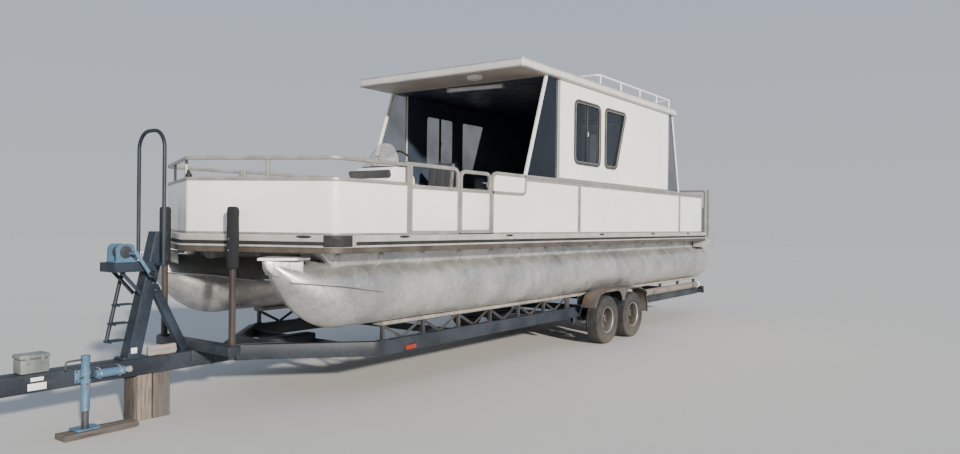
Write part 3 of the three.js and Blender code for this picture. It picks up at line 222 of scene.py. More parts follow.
def bolts(places, axis, radius=0.009, height=0.006, count=8):
    # Low domed heads at many places, each facing along the axis.
    axis = np.asarray(axis, float)
    side = np.cross(axis, (0, 0, 1) if abs(axis[2]) < 0.9 else (1, 0, 0))
    side /= np.linalg.norm(side)
    other = np.cross(axis, side)
    angle = np.arange(count) * 2 * np.pi / count
    rings = [(1.0, -0.2), (1.0, 0.35), (0.62, 0.85), (0.25, 1.0)]
    head = np.concatenate([
        radius * r * (np.cos(angle)[:, None] * side + np.sin(angle)[:, None] * other) + axis * height * h
        for r, h in rings])
    faces = gridFaces(len(rings), count, closedColumns=True)
    faces.append(list(range((len(rings) - 1) * count, len(rings) * count)))
    places = np.asarray(places, float).reshape(-1, 3)
    points = (places[:, None] + head[None]).reshape(-1, 3)
    size = len(head)
    return points, [[i + n * size for i in face] for n in range(len(places)) for face in faces]


# Finished pieces


def faceOut(mesh):
    work = bmesh.new()
    work.from_mesh(mesh)
    bmesh.ops.remove_doubles(work, verts=work.verts, dist=1e-5)
    bmesh.ops.recalc_face_normals(work, faces=work.faces)
    work.to_mesh(mesh)
    work.free()


def meshFrom(name, shape):
    mesh = bpy.data.meshes.new(name)
    mesh.from_pydata([tuple(p) for p in np.asarray(shape[0]).tolist()], [], shape[1])
    faceOut(mesh)
    return mesh


def linked(name, data):
    thing = bpy.data.objects.new(name, data)
    bpy.context.scene.collection.objects.link(thing)
    return thing


def piece(name, shape, look, body="root", instead=(), smooth=35, edge=0.0):
    return finished(name, meshFrom(name, shape), look, body, instead, smooth, edge)


def finished(name, mesh, look, body, instead, smooth, edge, subdivide=0):
    # Makes the object and gives it its material, its finish, its body and the CAD nodes that it stands for.
    thing, material = linked(name, mesh), materials[look]
    mesh.materials.clear()
    mesh.materials.append(material)
    mesh.shade_smooth()
    if smooth < 180:
        mesh.set_sharp_from_angle(angle=math.radians(smooth))
    if edge:
        rounding = thing.modifiers.new("edges", "BEVEL")
        rounding.width, rounding.segments, rounding.limit_method = edge, 2, "ANGLE"
        rounding.angle_limit, rounding.use_clamp_overlap = math.radians(40), False
        rounding.harden_normals = False
    if subdivide:
        finer = thing.modifiers.new("finer", "SUBSURF")
        finer.levels = finer.render_levels = subdivide
    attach(thing, body)
    if instead:
        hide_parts(*instead)
    return thing


bodyOfNode = {node: body for body, nodes in frame["record"]["behaviour"]["bodies"].items() for node in nodes}


def softened(node, look, edge, smooth=35):
    # The node's own shape with its edges rounded: a merged copy, flat faces joined, then a bevel.
    source = frame["nodes"][node].data.copy()
    work = bmesh.new()
    work.from_mesh(source)
    bmesh.ops.remove_doubles(work, verts=work.verts, dist=1e-5)
    bmesh.ops.dissolve_limit(work, angle_limit=math.radians(0.5), verts=work.verts, edges=work.edges)
    work.to_mesh(source)
    work.free()
    source.name = f"{node}_eased"
    return finished(f"{node}_eased", source, look, bodyOfNode[node], (node,), smooth, edge)


# Effects used by several materials


def newGroup(name, inputs, outputs):
    group = bpy.data.node_groups.new(name, "ShaderNodeTree")
    for label, kind, value in inputs:
        socket = group.interface.new_socket(label, in_out="INPUT", socket_type=kind)
        socket.default_value = value
    for label, kind in outputs:
        group.interface.new_socket(label, in_out="OUTPUT", socket_type=kind)
    return group, group.nodes.new("NodeGroupInput"), group.nodes.new("NodeGroupOutput")


def node(tree, kind, settings=None, **links):
    # A node with its settings; each link is a socket name and a socket or a plain value.
    made = tree.nodes.new(kind)
    for key, value in (settings or {}).items():
        setattr(made, key, value)
    for key, value in links.items():
        socket = made.inputs[int(key[1:])] if key[0] == "i" and key[1:].isdigit() else made.inputs[key]
        if isinstance(value, bpy.types.NodeSocket):
            tree.links.new(value, socket)
        else:
            socket.default_value = value
    return made


def scaledPlace(tree, stretch):
    # Object coordinates, stretched along each axis.
    place = tree.nodes.new("ShaderNodeTexCoord")
    return node(tree, "ShaderNodeMapping", Vector=place.outputs["Object"], Scale=stretch).outputs["Vector"]


def noise(tree, vector, scale, detail=4.0, rough=0.55):
    made = node(tree, "ShaderNodeTexNoise", Vector=vector, Scale=scale, Detail=detail, Roughness=rough)
    return made.outputs["Fac"]


def between(tree, value, low, high, outLow=0.0, outHigh=1.0):
    made = node(tree, "ShaderNodeMapRange", {"interpolation_type": "SMOOTHSTEP"}, i0=value, i1=low, i2=high,
                i3=outLow, i4=outHigh)
    return made.outputs[0]


def calc(tree, operation, a, b=0.0):
    return node(tree, "ShaderNodeMath", {"operation": operation}, i0=a, i1=b).outputs[0]


def mixColour(tree, mask, a, b, blend="MIX"):
    made = tree.nodes.new("ShaderNodeMix")
    made.data_type, made.blend_type = "RGBA", blend
    for socket, value in zip((made.inputs[0], made.inputs[6], made.inputs[7]), (mask, a, b)):
        if isinstance(value, bpy.types.NodeSocket):
            tree.links.new(value, socket)
        else:
            socket.default_value = value
    return made.outputs[2]


def makeMottle():
    # Cloudy light and dark patches with finer specks inside them.
    group, given, out = newGroup("mottle", [("Scale", "NodeSocketFloat", 3.0), ("Specks", "NodeSocketFloat", 0.3)],
                                 [("Mask", "NodeSocketFloat")])
    place = scaledPlace(group, (1, 1, 1))
    broad = noise(group, place, given.outputs["Scale"], 5.0)
    fine = noise(group, place, calc(group, "MULTIPLY", given.outputs["Scale"], 14.0), 3.0)
    specks = calc(group, "MULTIPLY", calc(group, "SUBTRACT", fine, 0.5), given.outputs["Specks"])
    group.links.new(between(group, calc(group, "ADD", broad, specks), 0.3, 0.7), out.inputs[0])
    return group


def makeRuns():
    # Dirt that has run down: noise that is narrow across and long upright, faded by a broader one.
    group, given, out = newGroup("runs", [("Scale", "NodeSocketFloat", 12.0)], [("Mask", "NodeSocketFloat")])
    streaks = noise(group, scaledPlace(group, (1, 1, 0.07)), given.outputs["Scale"], 4.0, 0.6)
    where = noise(group, scaledPlace(group, (1, 1, 1)), 1.3, 2.0)
    mask = calc(group, "MULTIPLY", between(group, streaks, 0.5, 0.75), between(group, where, 0.35, 0.65))
    group.links.new(mask, out.inputs[0])
    return group


def makeLowDust():
    # Dust and splash that thin out with height above the ground.
    group, given, out = newGroup("lowDust", [("Top", "NodeSocketFloat", 0.6), ("Amount", "NodeSocketFloat", 0.7)],
                                 [("Mask", "NodeSocketFloat")])
    place = scaledPlace(group, (1, 1, 1))
    height = node(group, "ShaderNodeSeparateXYZ", Vector=place).outputs["Z"]
    ragged = calc(group, "MULTIPLY_ADD", noise(group, place, 7.0, 5.0), -0.35)
    group.links.new(given.outputs["Top"], group.nodes[-1].inputs[2])
    low = node(group, "ShaderNodeMapRange", {"interpolation_type": "SMOOTHSTEP"}, i0=height, i1=ragged, i2=0.0,
               i3=0.0, i4=given.outputs["Amount"])
    group.links.new(low.outputs[0], out.inputs[0])
    return group


def makeRust():
    # Rust spots whose cover is set by the amount, with their own brown to orange colour.
    group, given, out = newGroup("rust", [("Scale", "NodeSocketFloat", 6.0), ("Amount", "NodeSocketFloat", 0.4)],
                                 [("Mask", "NodeSocketFloat"), ("Colour", "NodeSocketColor")])
    place = scaledPlace(group, (1, 1, 1))
    spots = noise(group, place, given.outputs["Scale"], 8.0, 0.62)
    edge = calc(group, "SUBTRACT", 0.78, calc(group, "MULTIPLY", given.outputs["Amount"], 0.5))
    sharp = node(group, "ShaderNodeMapRange", i0=spots, i1=edge, i2=calc(group, "ADD", edge, 0.07))
    tone = node(group, "ShaderNodeValToRGB", i0=noise(group, place, 23.0, 5.0))
    ramp = tone.color_ramp.elements
    ramp[0].position, ramp[0].color = 0.3, (0.045, 0.022, 0.014, 1)
    ramp[1].position, ramp[1].color = 0.72, (0.15, 0.068, 0.036, 1)
    group.links.new(sharp.outputs[0], out.inputs[0])
    group.links.new(tone.outputs[0], out.inputs[1])
    return group


def makeGrit():
    # Height of a fine uneven surface.
    group, given, out = newGroup("grit", [("Scale", "NodeSocketFloat", 60.0)], [("Height", "NodeSocketFloat")])
    group.links.new(noise(group, scaledPlace(group, (1, 1, 1)), given.outputs["Scale"], 5.0, 0.6), out.inputs[0])
    return group


groups = {"mottle": makeMottle(), "runs": makeRuns(), "lowDust": makeLowDust(), "rust": makeRust(),
          "grit": makeGrit()}
print("effects", len(groups))


# Materials


def effect(tree, name, **values):
    made = tree.nodes.new("ShaderNodeGroup")
    made.node_tree = groups[name]
    for label, value in values.items():
        made.inputs[label].default_value = value
    return made.outputs


def newMaterial(name, slot, roughness=0.5, metallic=0.0, **fixed):
    material = bpy.data.materials.new(name)
    material.use_nodes = True
    material["slot"] = slot
    tree = material.node_tree
    shader = tree.nodes["Principled BSDF"]
    shader.inputs["Roughness"].default_value = roughness
    shader.inputs["Metallic"].default_value = metallic
    for label, value in fixed.items():
        shader.inputs[label.replace("_", " ")].default_value = value
    return material, tree, shader


def bumpFrom(tree, shader, height, strength, distance=0.002):
    bump = node(tree, "ShaderNodeBump", Height=height, Strength=strength, Distance=distance)
    tree.links.new(bump.outputs[0], shader.inputs["Normal"])


def rgb(r, g, b):
    return (r, g, b, 1)


def makeCoated(name, look):
    # Paint, plastic or bare metal: two tones of mottle, runs of dirt, rust and low dust over them.
    material, tree, shader = newMaterial(name, look["slot"], look["roughness"], look.get("metallic", 0.0),
                                         Specular_IOR_Level=look.get("gloss", 0.5))
    colour = mixColour(tree, effect(tree, "mottle", Scale=look.get("patch", 3.0), Specks=look.get("specks", 0.3))[0],
                       rgb(*look["dark"]), rgb(*look["light"]))
    if look.get("runs"):
        mask = calc(tree, "MULTIPLY", effect(tree, "runs", Scale=look.get("runScale", 12.0))[0], look["runs"])
        colour = mixColour(tree, mask, colour, rgb(*look.get("dirt", (0.16, 0.14, 0.11))))
    if look.get("rust"):
        mask, tone = effect(tree, "rust", Scale=look.get("rustScale", 6.0), Amount=look["rust"])
        colour = mixColour(tree, mask, colour, tone)
        dull = between(tree, mask, 0.0, 1.0, look["roughness"], 0.9)
        tree.links.new(dull, shader.inputs["Roughness"])
        if look.get("metallic"):
            tree.links.new(between(tree, mask, 0.0, 1.0, look["metallic"], 0.0), shader.inputs["Metallic"])
    if look.get("dust"):
        mask = effect(tree, "lowDust", Top=look.get("dustTop", 0.6), Amount=look["dust"])[0]
        colour = mixColour(tree, mask, colour, rgb(*look.get("dustTone", (0.34, 0.29, 0.22))))
    tree.links.new(colour, shader.inputs["Base Color"])
    if not look.get("rust"):
        rough = between(tree, effect(tree, "mottle", Scale=look.get("patch", 3.0) * 2.5, Specks=0.5)[0], 0, 1,
                        max(look["roughness"] - 0.09, 0.05), min(look["roughness"] + 0.12, 1))
        tree.links.new(rough, shader.inputs["Roughness"])
    bumpFrom(tree, shader, effect(tree, "grit", Scale=look.get("grit", 70.0))[0], look.get("relief", 0.12))
    return material


looks = {
    "floatMetal": dict(slot="weathered_aluminium", light=(0.62, 0.61, 0.58), dark=(0.4, 0.4, 0.4), roughness=0.42,
                       metallic=0.75, patch=2.2, specks=0.5, runs=0.45, runScale=9.0, dirt=(0.2, 0.19, 0.17),
                       relief=0.2, grit=40.0),
    "frameMetal": dict(slot="weathered_aluminium", light=(0.36, 0.35, 0.33), dark=(0.24, 0.235, 0.225), roughness=0.5,
                       metallic=0.6, patch=5.0, runs=0.4, relief=0.15),
    "railMetal": dict(slot="rail_aluminium", light=(0.33, 0.32, 0.3), dark=(0.24, 0.23, 0.215), roughness=0.42,
                      metallic=0.3, patch=6.0, runs=0.2, relief=0.08),
    "bronzeFrame": dict(slot="rail_aluminium", light=(0.075, 0.07, 0.063), dark=(0.045, 0.042, 0.038), roughness=0.4,
                        metallic=0.3, patch=6.0, runs=0.15, relief=0.06),
    "whiteSheet": dict(slot="white_panel", light=(0.86, 0.845, 0.81), dark=(0.8, 0.78, 0.74), roughness=0.38,
                       patch=1.2, specks=0.15, runs=0.16, runScale=10.0, dirt=(0.5, 0.46, 0.4), relief=0.05,
                       grit=25.0),
    "roofSheet": dict(slot="white_panel", light=(0.66, 0.64, 0.6), dark=(0.55, 0.53, 0.49), roughness=0.5, patch=1.6,
                      specks=0.3, runs=0.35, dirt=(0.3, 0.28, 0.25), relief=0.08),
    "rimMetal": dict(slot="weathered_aluminium", light=(0.6, 0.58, 0.55), dark=(0.46, 0.44, 0.41), roughness=0.42,
                     metallic=0.45, patch=4.0, specks=0.5, runs=0.5, runScale=16.0, dirt=(0.17, 0.13, 0.1),
                     relief=0.12),
    # the wall under the rim is a darker, browner copy of the rim's aluminium: painted shade under the rolled lip
    "shadedRimWall": dict(slot="weathered_aluminium", light=(0.11, 0.09, 0.072), dark=(0.06, 0.05, 0.042), roughness=0.5,
                    metallic=0.3, patch=4.0, specks=0.5, runs=0.4, runScale=16.0, dirt=(0.05, 0.04, 0.03),
                    relief=0.15),
    "soffit": dict(slot="white_panel", light=(0.5, 0.42, 0.36), dark=(0.42, 0.35, 0.3), roughness=0.5, patch=1.5,
                   relief=0.05),
    # dark navy lining inside the cabin: painted shade on white panels
    "paintedShadeLining": dict(slot="white_panel", light=(0.05, 0.064, 0.09), dark=(0.034, 0.044, 0.064), roughness=0.4,
                       patch=2.0, relief=0.1),
    "whitePost": dict(slot="rail_aluminium", light=(0.86, 0.85, 0.82), dark=(0.78, 0.77, 0.74), roughness=0.35,
                      metallic=0.1, patch=5.0, runs=0.1, relief=0.05),
    "trimMetal": dict(slot="weathered_aluminium", light=(0.5, 0.49, 0.47), dark=(0.38, 0.37, 0.355), roughness=0.45,
                      metallic=0.5, patch=5.0, runs=0.3, relief=0.1),
    "palePlastic": dict(slot="pale_pipe", light=(0.7, 0.69, 0.66), dark=(0.6, 0.59, 0.56), roughness=0.45, patch=5.0,
                        relief=0.05),
    "whitePlastic": dict(slot="pale_pipe", light=(0.84, 0.83, 0.8), dark=(0.76, 0.75, 0.72), roughness=0.4, patch=5.0,
                         relief=0.04),
    "seatVinyl": dict(slot="dark_vinyl", light=(0.06, 0.063, 0.068), dark=(0.035, 0.037, 0.04), roughness=0.5,
                      relief=0.35, grit=240.0, patch=4.0),
    "rubber": dict(slot="black_rubber", light=(0.02, 0.02, 0.021), dark=(0.01, 0.01, 0.011), roughness=0.75,
                   relief=0.3, grit=160.0, patch=6.0),
    "engineShell": dict(slot="engine_shell", light=(0.045, 0.05, 0.056), dark=(0.028, 0.031, 0.036), roughness=0.3,
                        relief=0.03, patch=3.0),
    # near-black, darker than the grey paint it stands for: dark paint with painted shade in it
    "trailerPaintAndShade": dict(slot="grey_paint", light=(0.034, 0.041, 0.052), dark=(0.015, 0.019, 0.026), roughness=0.5,
                         rust=0.24, rustScale=5.0, dust=0.1, dustTop=0.6, patch=2.5, relief=0.25, gloss=0.3),
    "bunkSteel": dict(slot="galvanized", light=(0.07, 0.072, 0.076), dark=(0.032, 0.034, 0.038), roughness=0.5,
                      metallic=0.2, rust=0.36, rustScale=8.0, patch=4.0, relief=0.2),
    "tyreRubber": dict(slot="tyre", light=(0.04, 0.039, 0.038), dark=(0.02, 0.02, 0.02), roughness=0.8, dust=0.3,
                       dustTop=0.5, dustTone=(0.17, 0.14, 0.11), relief=0.3, grit=120.0, patch=8.0),
    # two copies of one steel: the darker one on the disc, barrel and hub is painted shade in the wheel's recess, the
    # lighter one on the lip and nuts is a painted highlight
    "rimSteelShaded": dict(slot="steel_rim", light=(0.1, 0.088, 0.078), dark=(0.045, 0.04, 0.037), roughness=0.5,
                     metallic=0.2, rust=0.4, rustScale=12.0, dust=0.2, dustTop=0.5, relief=0.2),
    "rimSteelLit": dict(slot="steel_rim", light=(0.36, 0.35, 0.33), dark=(0.22, 0.215, 0.2), roughness=0.42, metallic=0.4,
                    rust=0.4, rustScale=14.0, dust=0.2, dustTop=0.5, relief=0.15),
    "fenderPaint": dict(slot="worn_fender", light=(0.12, 0.1, 0.085), dark=(0.055, 0.048, 0.044), roughness=0.55,
                        rust=0.46, rustScale=5.0, dust=0.3, dustTop=0.8, relief=0.35),
    "standPaint": dict(slot="black_paint", light=(0.026, 0.037, 0.055), dark=(0.012, 0.016, 0.024), roughness=0.45,
                       rust=0.2, rustScale=9.0, relief=0.15, gloss=0.3),
    "boxPaint": dict(slot="galvanized", light=(0.2, 0.22, 0.21), dark=(0.12, 0.135, 0.13), roughness=0.5,
                     metallic=0.1, rust=0.25, patch=6.0, relief=0.1),
    "bunkCloth": dict(slot="galvanized", light=(0.3, 0.28, 0.25), dark=(0.19, 0.175, 0.155), roughness=0.9, patch=9.0,
                      runs=0.4, relief=0.5, grit=260.0),
    "winchPaint": dict(slot="blue_paint", light=(0.095, 0.185, 0.285), dark=(0.055, 0.11, 0.18), roughness=0.45,
                       rust=0.3, rustScale=14.0, relief=0.15),
    "rustedPost": dict(slot="black_rubber", light=(0.06, 0.046, 0.038), dark=(0.03, 0.024, 0.021), roughness=0.6,
                       rust=0.3, rustScale=9.0, patch=5.0, relief=0.2),
    "webbing": dict(slot="black_paint", light=(0.05, 0.052, 0.055), dark=(0.025, 0.026, 0.028), roughness=0.85,
                    relief=0.5, grit=300.0, patch=8.0),
    "redLens": dict(slot="clear_plastic", light=(0.3, 0.03, 0.02), dark=(0.2, 0.016, 0.012), roughness=0.2, patch=9.0,
                    relief=0.3, grit=190.0),
    "pipePlastic": dict(slot="pale_pipe", light=(0.2, 0.175, 0.15), dark=(0.12, 0.105, 0.09), roughness=0.6, runs=0.4,
                        dust=0.2, dustTop=0.8, relief=0.1),
}
materials = {name: makeCoated(name, look) for name, look in looks.items()}


def makeTint():
    # Dark tinted glass with a faint film of dust.
    material, tree, shader = newMaterial("tintGlass", "tinted_glass", 0.06, IOR=1.5, Alpha=1.0)
    film = effect(tree, "runs", Scale=7.0)[0]
    tree.links.new(mixColour(tree, film, rgb(0.012, 0.018, 0.028), rgb(0.04, 0.05, 0.062)),
                   shader.inputs["Base Color"])
    tree.links.new(between(tree, film, 0, 1, 0.05, 0.22), shader.inputs["Roughness"])
    tree.links.new(between(tree, effect(tree, "mottle", Scale=1.5, Specks=0.1)[0], 0, 1, 0.42, 0.52),
                   shader.inputs["Alpha"])
    return material


def makeClear():
    # Clear plastic that shows mostly by its gloss and a little haze.
    material, tree, shader = newMaterial("clearPane", "clear_plastic", 0.08, IOR=1.49)
    haze = effect(tree, "mottle", Scale=5.0, Specks=0.4)[0]
    tree.links.new(mixColour(tree, haze, rgb(0.36, 0.35, 0.34), rgb(0.6, 0.59, 0.56)), shader.inputs["Base Color"])
    tree.links.new(between(tree, haze, 0, 1, 0.42, 0.58), shader.inputs["Alpha"])
    return material


def makeCarpet(name, slot, light, dark, scale):
    # Low loop pile: small round bumps with a little colour in each, and painted shade that darkens the gaps between
    # the bumps.
    material, tree, shader = newMaterial(name, slot, 0.95)
    loops = node(tree, "ShaderNodeTexVoronoi", Vector=scaledPlace(tree, (1, 1, 1)), Scale=scale)
    base = mixColour(tree, effect(tree, "mottle", Scale=1.5, Specks=0.6)[0], rgb(*dark), rgb(*light))
    # painted shade: darker away from the middle of each loop, in step with the bump height
    tone = mixColour(tree, between(tree, loops.outputs["Distance"], 0.0, 0.6), base, rgb(*[c * 0.6 for c in dark]))
    tree.links.new(tone, shader.inputs["Base Color"])
    bumpFrom(tree, shader, calc(tree, "SUBTRACT", 1.0, loops.outputs["Distance"]), 0.6, 0.004)
    return material


def makeTimber(name, stretch, tone=1.0):
    # Rough sawn wood: rings cut lengthwise as stretched noise, dark checks and grey weathering.
    material, tree, shader = newMaterial(name, "timber", 0.9)
    grain = noise(tree, scaledPlace(tree, stretch), 55.0, 6.0, 0.7)
    checks = noise(tree, scaledPlace(tree, [c if c == 1 else c * 0.5 for c in stretch]), 26.0, 3.0, 0.5)
    colour = mixColour(tree, between(tree, grain, 0.35, 0.68), rgb(0.045 * tone, 0.036 * tone, 0.03 * tone),
                       rgb(0.15 * tone, 0.115 * tone, 0.09 * tone))
    colour = mixColour(tree, between(tree, checks, 0.66, 0.7), colour, rgb(0.012, 0.01, 0.009))
    colour = mixColour(tree, effect(tree, "mottle", Scale=4.0, Specks=0.5)[0], colour,
                       rgb(0.09 * tone, 0.082 * tone, 0.078 * tone))
    tree.links.new(colour, shader.inputs["Base Color"])
    bumpFrom(tree, shader, grain, 0.7, 0.004)
    return material


materials.update(
    tint=makeTint(), clear=makeClear(),
    carpet=makeCarpet("deckCarpet", "carpet", (0.2, 0.21, 0.22), (0.12, 0.13, 0.14), 180.0),
    padCloth=makeCarpet("padCloth", "black_rubber", (0.03, 0.03, 0.032), (0.014, 0.014, 0.016), 260.0),
    timber=makeTimber("timberUpright", (1, 1, 0.06)), timberDark=makeTimber("timberDark", (1, 1, 0.06), 0.45),
    timberPale=makeTimber("timberPale", (1, 1, 0.06), 1.8), paleBoard=makeTimber("paleBoard", (0.06, 1, 1), 3.0),
    timberAlong=makeTimber("timberAlong", (0.06, 1, 1)),
)
print("materials", len(materials))


# Camera, light and floor

view = {
    "place": (8.30675, 5.865, 1.648),
    "right": (-0.5815, 0.8135, 0.0123),
    "up": (0.0029, -0.0131, 0.9999),
    "back": (0.8135, 0.5814, 0.0053),
    "lens": 28.275,
    "sensor": 36.0,
}
light = {
    "sun": dict(strength=7.0, colour=(1.0, 0.93, 0.83), towards=(-0.42, -0.86, -0.3), spread=2.5),
    "sky": dict(strength=0.8, low=(0.72, 0.75, 0.79), high=(0.5, 0.62, 0.82)),
    "floor": dict(tone=(0.56, 0.545, 0.515), size=120.0),
}


def makeCamera():
    data = bpy.data.cameras.new("camera")
    data.lens, data.sensor_width, data.clip_end = view["lens"], view["sensor"], 300.0
    camera = linked("camera", data)
    columns = [Vector(view[k]).normalized() for k in ("right", "up", "back")]
    turn = Matrix(columns).transposed().to_4x4()
    camera.matrix_world = Matrix.Translation(view["place"]) @ turn
    bpy.context.scene.camera = camera


def makeLight():
    sun = bpy.data.lights.new("sun", "SUN")
    sun.energy, sun.color = light["sun"]["strength"], light["sun"]["colour"]
    sun.angle = math.radians(light["sun"]["spread"])
    lamp = linked("sun", sun)
    lamp.rotation_mode = "QUATERNION"
    lamp.rotation_quaternion = Vector(light["sun"]["towards"]).to_track_quat("-Z", "Y")
    world = bpy.data.worlds.new("sky")
    bpy.context.scene.world = world
    world.use_nodes = True
    tree = world.node_tree
    height = node(tree, "ShaderNodeSeparateXYZ", Vector=tree.nodes.new("ShaderNodeTexCoord").outputs["Generated"])
    sky = mixColour(tree, between(tree, height.outputs["Z"], -0.05, 0.6), rgb(*light["sky"]["low"]),
                    rgb(*light["sky"]["high"]))
    back = tree.nodes["Background"]
    back.inputs["Strength"].default_value = light["sky"]["strength"]
    tree.links.new(sky, back.inputs["Color"])


def makeFloor():
    half = light["floor"]["size"] / 2
    mesh = bpy.data.meshes.new("floor")
    mesh.from_pydata([(-half, -half, 0), (half, -half, 0), (half, half, 0), (-half, half, 0)], [], [(0, 1, 2, 3)])
    floor = linked("floor", mesh)
    material = bpy.data.materials.new("floor")
    material.use_nodes = True
    tree = material.node_tree
    tone = light["floor"]["tone"]
    patch = mixColour(tree, effect(tree, "mottle", Scale=0.25, Specks=0.2)[0], rgb(*[c * 0.96 for c in tone]),
                      rgb(*tone))
    tree.links.new(patch, tree.nodes["Principled BSDF"].inputs["Base Color"])
    tree.nodes["Principled BSDF"].inputs["Roughness"].default_value = 0.9
    mesh.materials.append(material)
    floor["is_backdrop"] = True


makeCamera()
makeLight()
makeFloor()
print("camera, light and floor")


# More shapes for this boat


def prism(outline, low, high, axis="z"):
    return gridShape([onPlane(outline, v, axis) for v in (low, high)], closedColumns=True, caps=True)


def ring(outer, inner, low, high, axis="y"):
    # A flat frame between two outlines with the same number of points.
    loops = [onPlane(outer, low, axis), onPlane(outer, high, axis), onPlane(inner, high, axis),
             onPlane(inner, low, axis)]
    return gridShape(loops, closedRows=True, closedColumns=True)


def inset(outline, distance):
    # A closed outline drawn in along its mean normals, whichever way round it runs.
    outline = np.asarray(outline, float)
    before, after = outline - np.roll(outline, 1, 0), np.roll(outline, -1, 0) - outline
    normals = [np.column_stack([-d[:, 1], d[:, 0]]) / np.linalg.norm(d, axis=1)[:, None] for d in (before, after)]
    mean = normals[0] + normals[1]
    mean /= np.linalg.norm(mean, axis=1)[:, None]
    area = np.sum(outline[:, 0] * np.roll(outline[:, 1], -1) - np.roll(outline[:, 0], -1) * outline[:, 1])
    reach = np.maximum(np.sum(mean * normals[0], axis=1), 0.5)
    return outline + mean * (np.sign(area) * distance / reach)[:, None]


def loftX(rows, radius=0.004):
    # Rounded rectangles across X joined into one body: each row is station, half width, bottom, top.
    rings = []
    for station, half, low, high in rows:
        outline = roundedBox(2 * half, high - low, min(radius, half * 0.9, (high - low) * 0.45))
        rings.append(onPlane(outline + (0, (low + high) / 2), at(station), "x"))
    return gridShape(rings, closedColumns=True, caps=True)


def closedSkins(first, second):
    # Two grids with the same numbers of rows and columns, joined by a band of quads along their borders.
    rows, columns = first.shape[:2]
    edge = np.concatenate([np.arange(columns), np.arange(1, rows) * columns + columns - 1,
                           (rows - 1) * columns + np.arange(columns - 2, -1, -1),
                           np.arange(rows - 2, 0, -1) * columns])
    following, size = np.roll(edge, -1), rows * columns
    band = np.stack([edge, following, following + size, edge + size], 1).tolist()
    points, faces = join([gridShape(first), gridShape(second)])
    return points, faces + band


def rectangle(a0, b0, a1, b1, radius=0.0, steps=5):
    corners = [(a0, b0), (a1, b0), (a1, b1), (a0, b1)]
    return eased(corners, radius, steps, closed=True) if radius else np.array(corners, float)


def resampled(route, count):
    # The same route with evenly spaced points.
    route = np.asarray(route, float)
    run = np.concatenate([[0], np.cumsum(np.linalg.norm(np.diff(route, axis=0), axis=1))])
    where = np.linspace(0, run[-1], count)
    return np.column_stack([np.interp(where, run, column) for column in route.T])


def cuboid(front, rear, y0, y1, low, high, edge=0.004):
    # A block between two stations, two sides and two heights.
    return block((at(rear), y0, low), (at(front), y1, high), edge)


def stationed(points):
    # Points given as (station, y, z) brought into place.
    points = np.array(points, float)
    points[..., 0] = at(points[..., 0])
    return points


def sawn(low, high, grainAxis, seed):
    # A sawn block: its rounded section runs along the grain, and every ring is shifted by sums of sines.
    low, high = np.asarray(low, float), np.asarray(high, float)
    across = [axis for axis in range(3) if axis != grainAxis]
    size = (high - low)[across]
    section = roundedBox(size[0] - 0.006, size[1] - 0.006, 0.007)
    outline = resampled(np.concatenate([section, section[:1]]), 97)[:-1]
    t = np.linspace(0, 1, 46)
    angle = np.arctan2(outline[:, 1], outline[:, 0])
    wave = (0.0011 * np.sin(angle * 17 + seed)[None, :] + 0.0009 * np.sin(angle * 31 + seed * 2.3 + 2 * t[:, None])
            + 0.0007 * np.sin(angle[None, :] * 5 + t[:, None] * 9 + seed))
    ends = 1 - 0.02 * (np.clip(0.02 - t, 0, 1) + np.clip(t - 0.98, 0, 1))[:, None] / 0.02
    rows = outline[None] * (ends[..., None] + wave[..., None] / (size.min() / 2))
    points = np.empty((46, 96, 3))
    points[..., across[0]] = rows[..., 0] + (low + high)[across[0]] / 2
    points[..., across[1]] = rows[..., 1] + (low + high)[across[1]] / 2
    points[..., grainAxis] = low[grainAxis] + (high - low)[grainAxis] * t[:, None]
    return gridShape(points, closedColumns=True, caps=True)


# Floats

floats = {
    "radius": 0.3, "y": 0.89, "z": 1.0,
    "base": 0.33, "stem": -0.423,          # stations where the nose starts and where it ends
    "rear": 9.39, "cap": 0.085, "dent": 0.0025, "bead": 0.003,
    "seams": (0.34, 1.62, 2.95, 4.3, 5.66, 7.02, 8.3, 9.3),
    "around": 80,
    "plate": [(-0.533, 0), (-0.263, 0.19), (-0.13, 0.19)], "plateTop": 1.345,          # station and half width
    # the web and the ribs under the plate as (station, half width, underside)
    "web": [(-0.47, 0.012, 1.3), (-0.45, 0.03, 1.25), (-0.4, 0.05, 1.2), (-0.18, 0.15, 1.15)],
    "ribs": [(-0.4, 0.053, 1.2), (-0.34, 0.079, 1.187), (-0.28, 0.107, 1.173), (-0.186, 0.15, 1.15)],
    # the strake as (station, height, distance from the middle of the float)
    "strake": [(-0.3, 1.15, 0.135), (-0.18, 1.133, 0.2), (0.06, 1.11, 0.272), (0.33, 1.068, 0.294),
               (0.62, 1.02, 0.28)],
    "riser": dict(half=0.146, rib=0.152, low=1.25, front=0.022, slope=0.16, rear=9.18, first=0.15, step=0.6),
}


